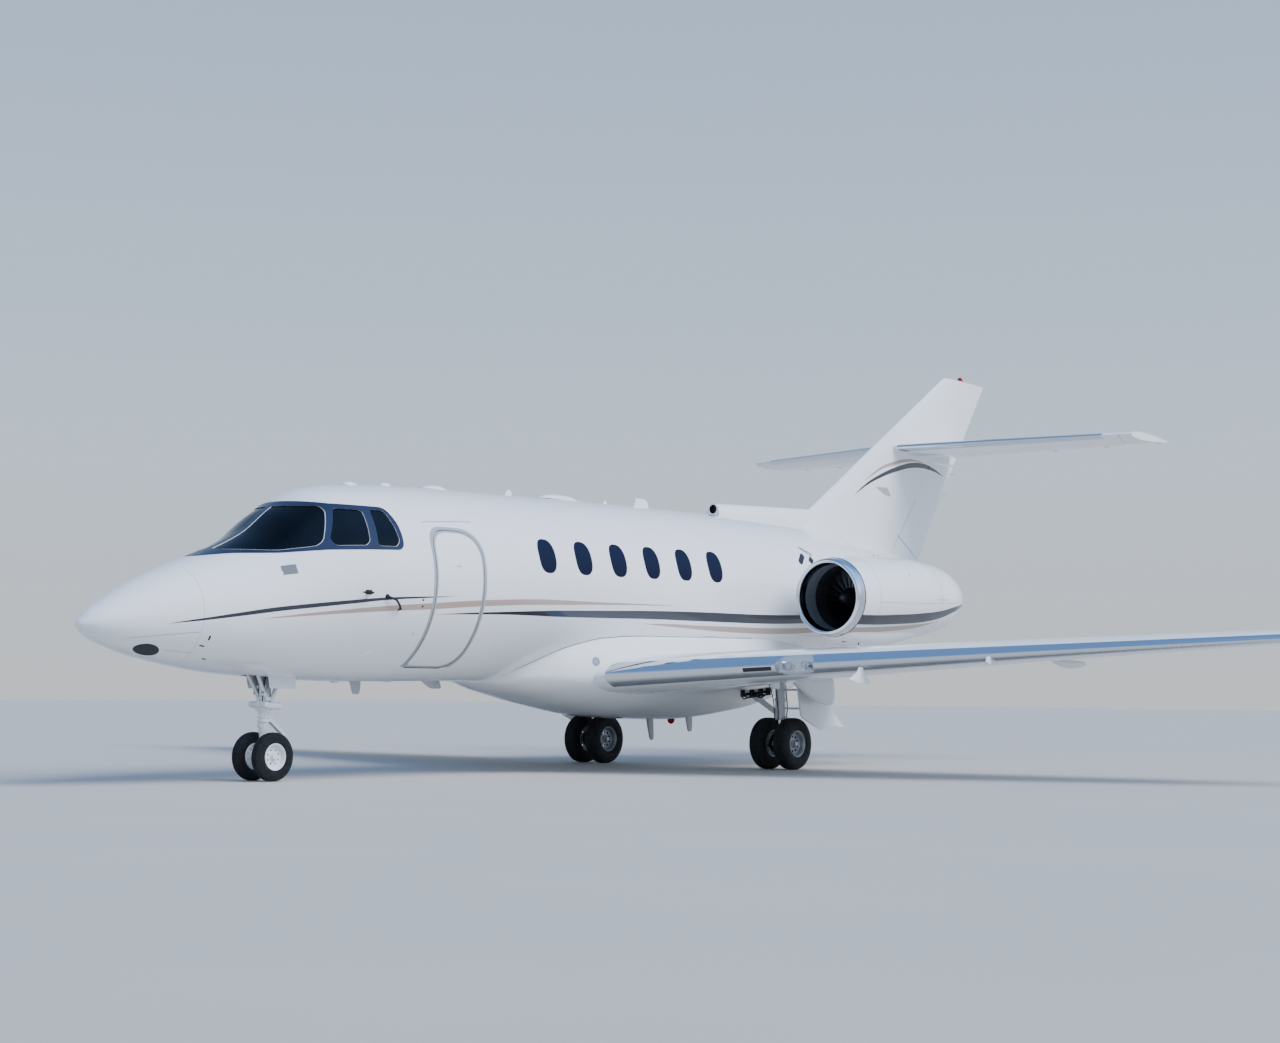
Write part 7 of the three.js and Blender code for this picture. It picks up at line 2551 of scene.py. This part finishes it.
@dataclass(frozen=True)
class Pad:
    """An upholstered pad: crowned faces, sides that pull in, a sewn rim and channels, in millimetres."""

    long: float
    wide: float
    thick: float
    channels: int = 0
    crown: float = 0.18
    pinch: float = 0.035
    cord: float = 0.0035
    # how far the sides bulge halfway up, as a share of the half size
    bulge: float = 0.03
    # the groove beside the rim: its height, width and depth, and where it starts, in the same shares
    groove_at: float = 0.55
    groove_wide: float = 0.09
    groove_deep: float = 0.018
    groove_from: float = 0.8
    # a channel across the cushioned face
    channel_deep: float = 0.16
    channel_wide: float = 0.055

    def mesh(self, place: Matrix, cuts: int = 15) -> Mesh:
        """The pad with its length along X and its cushioned face towards Z.

        Args:
            place: where it goes.
            cuts: how finely it is divided.

        Returns:
            The pad's closed mesh.
        """
        mesh = bmesh.new()
        bmesh.ops.create_cube(mesh, size=2)
        bmesh.ops.subdivide_edges(mesh, edges=mesh.edges, cuts=cuts, use_grid_fill=True)
        for vertex in mesh.verts:
            vertex.co = self.shaped(vertex.co)
        bmesh.ops.transform(mesh, matrix=place, verts=mesh.verts)
        bmesh.ops.recalc_face_normals(mesh, faces=mesh.faces)
        return mesh

    def shaped(self, corner: Vector) -> Vector:
        """Where a point of the unit cube goes on the pad.

        Args:
            corner: the point, with each coordinate from -1 to 1.

        Returns:
            The point in metres, on a crowned and pinched pad with its channels.
        """
        power = 6.0
        largest = max(abs(corner.x), abs(corner.y), abs(corner.z))
        norm = (abs(corner.x) ** power + abs(corner.y) ** power + abs(corner.z) ** power) ** (1 / power)
        u, v, w = corner * (largest / norm)
        pull_u, pull_v = 1 - self.pinch * (1 - v * v), 1 - self.pinch * (1 - u * u)
        belly = 1 + self.bulge * (1 - w * w)
        rim = math.exp(-((abs(w) - self.groove_at) / self.groove_wide) ** 2)
        groove = 1 - self.groove_deep * rim * (1 if max(abs(u), abs(v)) > self.groove_from else 0)
        high = w * (1 + self.crown * (1 - u * u) * (1 - v * v))
        if self.channels and w > 0:
            for number in range(self.channels):
                at = mix(-1, 1, (number + 1) / (self.channels + 1))
                high -= self.channel_deep * math.exp(-((u - at) / self.channel_wide) ** 2) * (1 - v ** 8)
        return Vector((
            u * pull_u * belly * groove * self.long / 2, v * pull_v * belly * groove * self.wide / 2,
            high * self.thick / 2,
        )) * MM

    def piping(self, place: Matrix) -> Mesh:
        """The sewn cord that runs round the pad's upper edge."""
        spots = []
        for across, up in circle(64):
            largest = max(abs(across), abs(up))
            spots.append(place @ self.shaped(Vector((across / largest, up / largest, 0.62))))
        rings = []
        for i, spot in enumerate(spots):
            turn = (spots[(i + 1) % 64] - spots[i - 1]).to_track_quat("Z", "Y")
            rings.append([spot + turn @ Vector((across, up, 0)) * self.cord for across, up in circle(8)])
        return loft([*rings, rings[0]], capped=False)


@dataclass(frozen=True)
class Seat:
    """A seat with its pads and its hard frame, in millimetres."""

    station: float
    y: float
    half: float
    forward: int = 1

    def spot(self, ahead: float, high: float, across: float = 0.0) -> Vector:
        """A point of the seat from distances ahead of its middle, above the ground floor and to its left."""
        return point(self.station - self.forward * ahead, self.y + across, high)

    def place(self, ahead: float, high: float, lean: float, across: float = 0.0) -> Matrix:
        """Where a pad's middle goes; lean turns its upper face from up towards forward, in degrees."""
        flip = Matrix.Rotation(0 if self.forward > 0 else math.pi, 4, "Z")
        tilt = Matrix.Rotation(math.radians(lean), 4, "Y")
        return Matrix.Translation(self.spot(ahead, high, across)) @ flip @ tilt

    def build(self, name: str, floor: float) -> Mesh:
        """Makes the pads and returns the hard frame.

        Args:
            name: the seat's name.
            floor: height of the floor that it stands on.

        Returns:
            The frame's mesh, for joining with its neighbours'.
        """
        wide = self.half * 2
        pads = (
            ("cushion", Pad(500, wide - 96, 112, 3), self.place(255, floor + 372, 0)),
            ("backrest", Pad(560, wide - 96, 104, 4), self.place(-75, floor + 715, 81)),
            ("headrest", Pad(150, wide - 190, 88, 0), self.place(-140, floor + 1062, 81)),
            ("arm_left", Pad(330, 52, 44, 0), self.place(215, floor + 560, 0, self.half - 26)),
            ("arm_right", Pad(330, 52, 44, 0), self.place(215, floor + 560, 0, 26 - self.half)),
        )
        for part, pad, place in pads:
            body = joined(pad.mesh(place), set_finish(pad.piping(place), 1))
            piece = publish(body, f"{name}_{part}", "airframe", [LEATHER, THREAD], Slots.LEATHER)
        solids = [
            self.slab((60, 430), (0, 60), self.half - 60, floor),
            self.slab((110, 380), (60, 250), self.half - 110, floor),
            self.slab((-10, 515), (255, 318), self.half - 34, floor),
        ]
        for side in (-1, 1):
            solids.append(self.slab((30, 400), (318, 545), 9, floor, side * (self.half - 26)))
        shell = []
        for ahead, high in ((-70, 300), (-118, 430), (-205, 1000), (-222, 1100)):
            for back in (0, 1):
                shell.append((ahead + 14 - 26 * back, floor + high))
        outline = [shell[i] for i in (0, 2, 4, 6)] + [shell[i] for i in (7, 5, 3, 1)]
        corners = [self.spot(ahead, high, 36 - self.half) for ahead, high in outline]
        solids.append(softened(prism(corners, Vector((0, (wide - 72) * MM, 0))), 0.008, 2))
        return joined(*solids)

    def slab(
        self, ahead: tuple[float, float], high: tuple[float, float], half: float, floor: float,
        across: float = 0.0,
    ) -> Mesh:
        """A softened block of the frame.

        Args:
            ahead: distances ahead of the seat's middle where it starts and ends.
            high: heights above the floor where it starts and ends.
            half: half its width.
            floor: height of the floor.
            across: how far its middle lies to the left of the seat's.

        Returns:
            The block.
        """
        low = self.spot(ahead[0], floor + high[0], across - half)
        top = self.spot(ahead[1], floor + high[1], across + half)
        first = Vector((min(low.x, top.x), min(low.y, top.y), low.z))
        second = Vector((max(low.x, top.x), max(low.y, top.y), top.z))
        return softened(block(first, second), 0.007, 2)


@dataclass
class Cabin:
    """Seats, instrument panel and controls, in millimetres."""

    floor: float = 1256
    pilots: tuple[float, float, float] = (2880, 330, 225)
    rows: tuple[tuple[float, int], ...] = ((4750, -1), (6650, 1), (7750, 1))
    row_y: float = 470
    row_half: float = 230
    panel: tuple[float, float, float, float] = (1765, 2055, 1505, 1985)
    screens: tuple[float, ...] = (-560, -190, 190, 560)

    def build(self) -> None:
        """Makes everything inside."""
        station, y, half = self.pilots
        floor = self.floor
        frames = [Seat(station, sign * y, half).build(f"pilot_seat_{side}", floor) for side, sign in SIDES]
        console = softened(bay(station - 450, station + 60, -120, 120, floor, floor + 180), 0.02, 3)
        levers = []
        for at in (-45, -15, 15, 45):
            foot, knob = point(station - 300, at, floor + 170), point(station - 350, at, floor + 300)
            levers.append(rod(foot, knob, 0.006, 0.012, 12))
        cockpit = joined(*frames, console, *levers)
        publish(cockpit, "pilot_seat_frames", "airframe", [PLASTIC], Slots.PLASTIC, ["cockpit_seats"])
        for side, sign in SIDES:
            frames = [
                Seat(at, sign * self.row_y, self.row_half, way).build(f"cabin_seat_{side}_{number}", floor)
                for number, (at, way) in enumerate(self.rows)
            ]
            name, nodes = f"cabin_seat_frames_{side}", [f"cabin_seats_{side}"]
            publish(joined(*frames), name, "airframe", [LINING], Slots.LEATHER, nodes)
        self.board()

    def board(self) -> None:
        """Makes the instrument panel with its screens, hood and control wheels."""
        front, back, low, high = self.panel
        inside = hull_solid(1650, 2300, -SKIN_WALL - 6, 40)
        board = carve(bay(front, back, -900, 900, low, high), Carving.SHARE, inside)
        hood = softened(bay(back - 140, back + 95, -760, 760, high - 44, high - 6), 0.015, 3)
        hood = carve(hood, Carving.SHARE, inside)
        parts = [board, hood]
        for at in self.screens:
            rim = bay(back - 4, back + 12, at - 150, at + 150, low + 205, high - 60)
            parts.append(softened(rim, 0.006, 2))
            face = bay(back + 4, back + 14, at - 132, at + 132, low + 223, high - 78)
            parts.append(set_finish(softened(face, 0.003, 1), 1))
        for at in (-480, -400, -320, 320, 400, 480):
            dial = rod(point(back - 5, at, low + 110), point(back + 10, at, low + 110), 0.028, 0.026, 24)
            parts.append(set_finish(dial, 1))
        for at in spread(-110, 110, 13):
            parts.append(rod(point(back - 4, at, low + 60), point(back + 22, at, low + 60), 0.006, 0.004, 10))
        finishes = [PLASTIC, SCREEN]
        publish(joined(*parts), "instrument_board", "airframe", finishes, Slots.PLASTIC, ["instrument_panel"])
        wheels = []
        for sign in (-1, 1):
            y = sign * 330
            column = (point(back - 30, y, low + 95), point(back + 250, y, low + 70))
            wheels.append(rod(*column, 0.014, 0.014, 20))
            wheels.append(pipe((
                (back + 240, y - 130, low + 165), (back + 252, y - 128, low + 78), (back + 252, y, low + 62),
                (back + 252, y + 128, low + 78), (back + 240, y + 130, low + 165),
            ), 13))
        publish(joined(*wheels), "control_wheels", "airframe", [PLASTIC], Slots.PLASTIC)


def dress_cad(name: str, finish: Finish) -> None:
    """Gives a CAD node that stays in view its finish."""
    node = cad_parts[name]
    node.data.materials.clear()
    node.data.materials.append(finish.material())
    log.info("%s keeps its CAD mesh", name)


CAD_FINISHES = (("cabin_floor", CARPET, Slots.CARPET),)


@dataclass
class Studio:
    """Camera, floor and light."""

    eye: tuple[float, float, float] = (18.3656, 14.8968, 0.8442)
    forward: tuple[float, float, float] = (-0.77159394, -0.63053527, 0.0840718)
    roll: float = 0.0078056
    lens: float = 57.36
    sensor: float = 36
    far: float = 500
    floor_half: float = 120
    key_power: float = 3.9
    key_spread: float = 38
    key_colour: tuple[float, float, float] = (1.0, 0.97, 0.92)
    key_run: tuple[float, float, float] = (0.22, -0.62, -0.75)
    # columns: how high in the sky, from the horizon up; colour
    sky: tuple[tuple[float, str], ...] = ((0.0, "#C9CDD2"), (0.12, "#C3D3E4"), (0.7, "#6C93CC"))
    # the sky's glow round the key light: where it starts and is full, and its strength there
    glow: tuple[float, float, float, float] = (0.62, 1.0, 1.25, 3.2)

    def build(self) -> None:
        """Sets the camera where the photograph was taken, with a pale floor and soft light."""
        forward = Vector(self.forward).normalized()
        level = forward.cross(Vector((0, 0, 1))).normalized()
        upright = level.cross(forward)
        right = level * math.cos(self.roll) + upright * math.sin(self.roll)
        up = upright * math.cos(self.roll) - level * math.sin(self.roll)
        data = bpy.data.cameras.new("photo_camera")
        data.lens = self.lens
        data.sensor_width = self.sensor
        data.clip_end = self.far
        camera = bpy.data.objects.new("photo_camera", data)
        camera.matrix_world = Matrix((
            (right.x, up.x, -forward.x, self.eye[0]), (right.y, up.y, -forward.y, self.eye[1]),
            (right.z, up.z, -forward.z, self.eye[2]), (0, 0, 0, 1),
        ))
        bpy.context.scene.collection.objects.link(camera)
        bpy.context.scene.camera = camera
        floor_mesh = bmesh.new()
        bmesh.ops.create_grid(floor_mesh, x_segments=2, y_segments=2, size=self.floor_half)
        floor_data = bpy.data.meshes.new("studio_floor")
        floor_mesh.to_mesh(floor_data)
        floor_mesh.free()
        floor_data.materials.append(Finish("pale_studio_floor", "#B9B6B0", 0.75, 0, 60, 0.2, 0.04).material())
        floor = bpy.data.objects.new("studio_floor", floor_data)
        bpy.context.scene.collection.objects.link(floor)
        self.light()

    def light(self) -> None:
        """A broad key from the rear left above and a pale sky that glows round it."""
        key = bpy.data.lights.new("key", "SUN")
        key.energy = self.key_power
        key.angle = math.radians(self.key_spread)
        key.color = self.key_colour
        lamp = bpy.data.objects.new("key", key)
        lamp.rotation_euler = Vector(self.key_run).to_track_quat("-Z", "Y").to_euler()
        lamp.visible_glossy = False
        bpy.context.scene.collection.objects.link(lamp)
        world = bpy.data.worlds.new("pale_sky")
        bpy.context.scene.world = world
        world.use_nodes = True
        tree = world.node_tree
        tree.nodes.clear()
        place = add_node(tree, "ShaderNodeTexCoord").outputs["Generated"]
        up = add_node(tree, "ShaderNodeSeparateXYZ", None, {0: place}).outputs["Z"]
        ramp = add_node(tree, "ShaderNodeValToRGB", None, {0: up})
        stops = ramp.color_ramp.elements
        low, middle, high = self.sky
        stops[0].position, stops[0].color = low[0], linear(low[1])
        stops[1].position, stops[1].color = high[0], linear(high[1])
        stops.new(middle[0]).color = linear(middle[1])
        toward = add_node(tree, "ShaderNodeVectorMath", {"operation": "DOT_PRODUCT"}, {
            0: place, 1: tuple(-part for part in self.key_run),
        })
        start, full, weak, strong = self.glow
        glow = add_node(tree, "ShaderNodeMapRange", {"clamp": True, "interpolation_type": "SMOOTHERSTEP"}, {
            "Value": toward.outputs["Value"],
            "From Min": start, "From Max": full, "To Min": weak, "To Max": strong,
        })
        background = add_node(tree, "ShaderNodeBackground", None, {
            "Color": ramp.outputs[0], "Strength": glow.outputs[0],
        })
        add_node(tree, "ShaderNodeOutputWorld", None, {"Surface": background.outputs[0]})


def main() -> None:
    """Builds the aircraft in order and reports each piece."""
    logging.basicConfig(level=logging.INFO, format="%(name)s %(message)s")
    Studio().build()
    hull = Hull()
    hull.build()
    hull.glaze()
    hull.hang_door()
    Wings().build()
    Fin().build()
    Tailplane().build()
    engines = Engines()
    engines.build()
    engines.details()
    Gear().build()
    Fittings().build()
    SkinDetails().build()
    EdgeDetails().build()
    Cabin().build()
    for name, finish, slot in CAD_FINISHES:
        dress_cad(name, finish)
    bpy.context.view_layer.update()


if __name__ == "__main__":
    main()
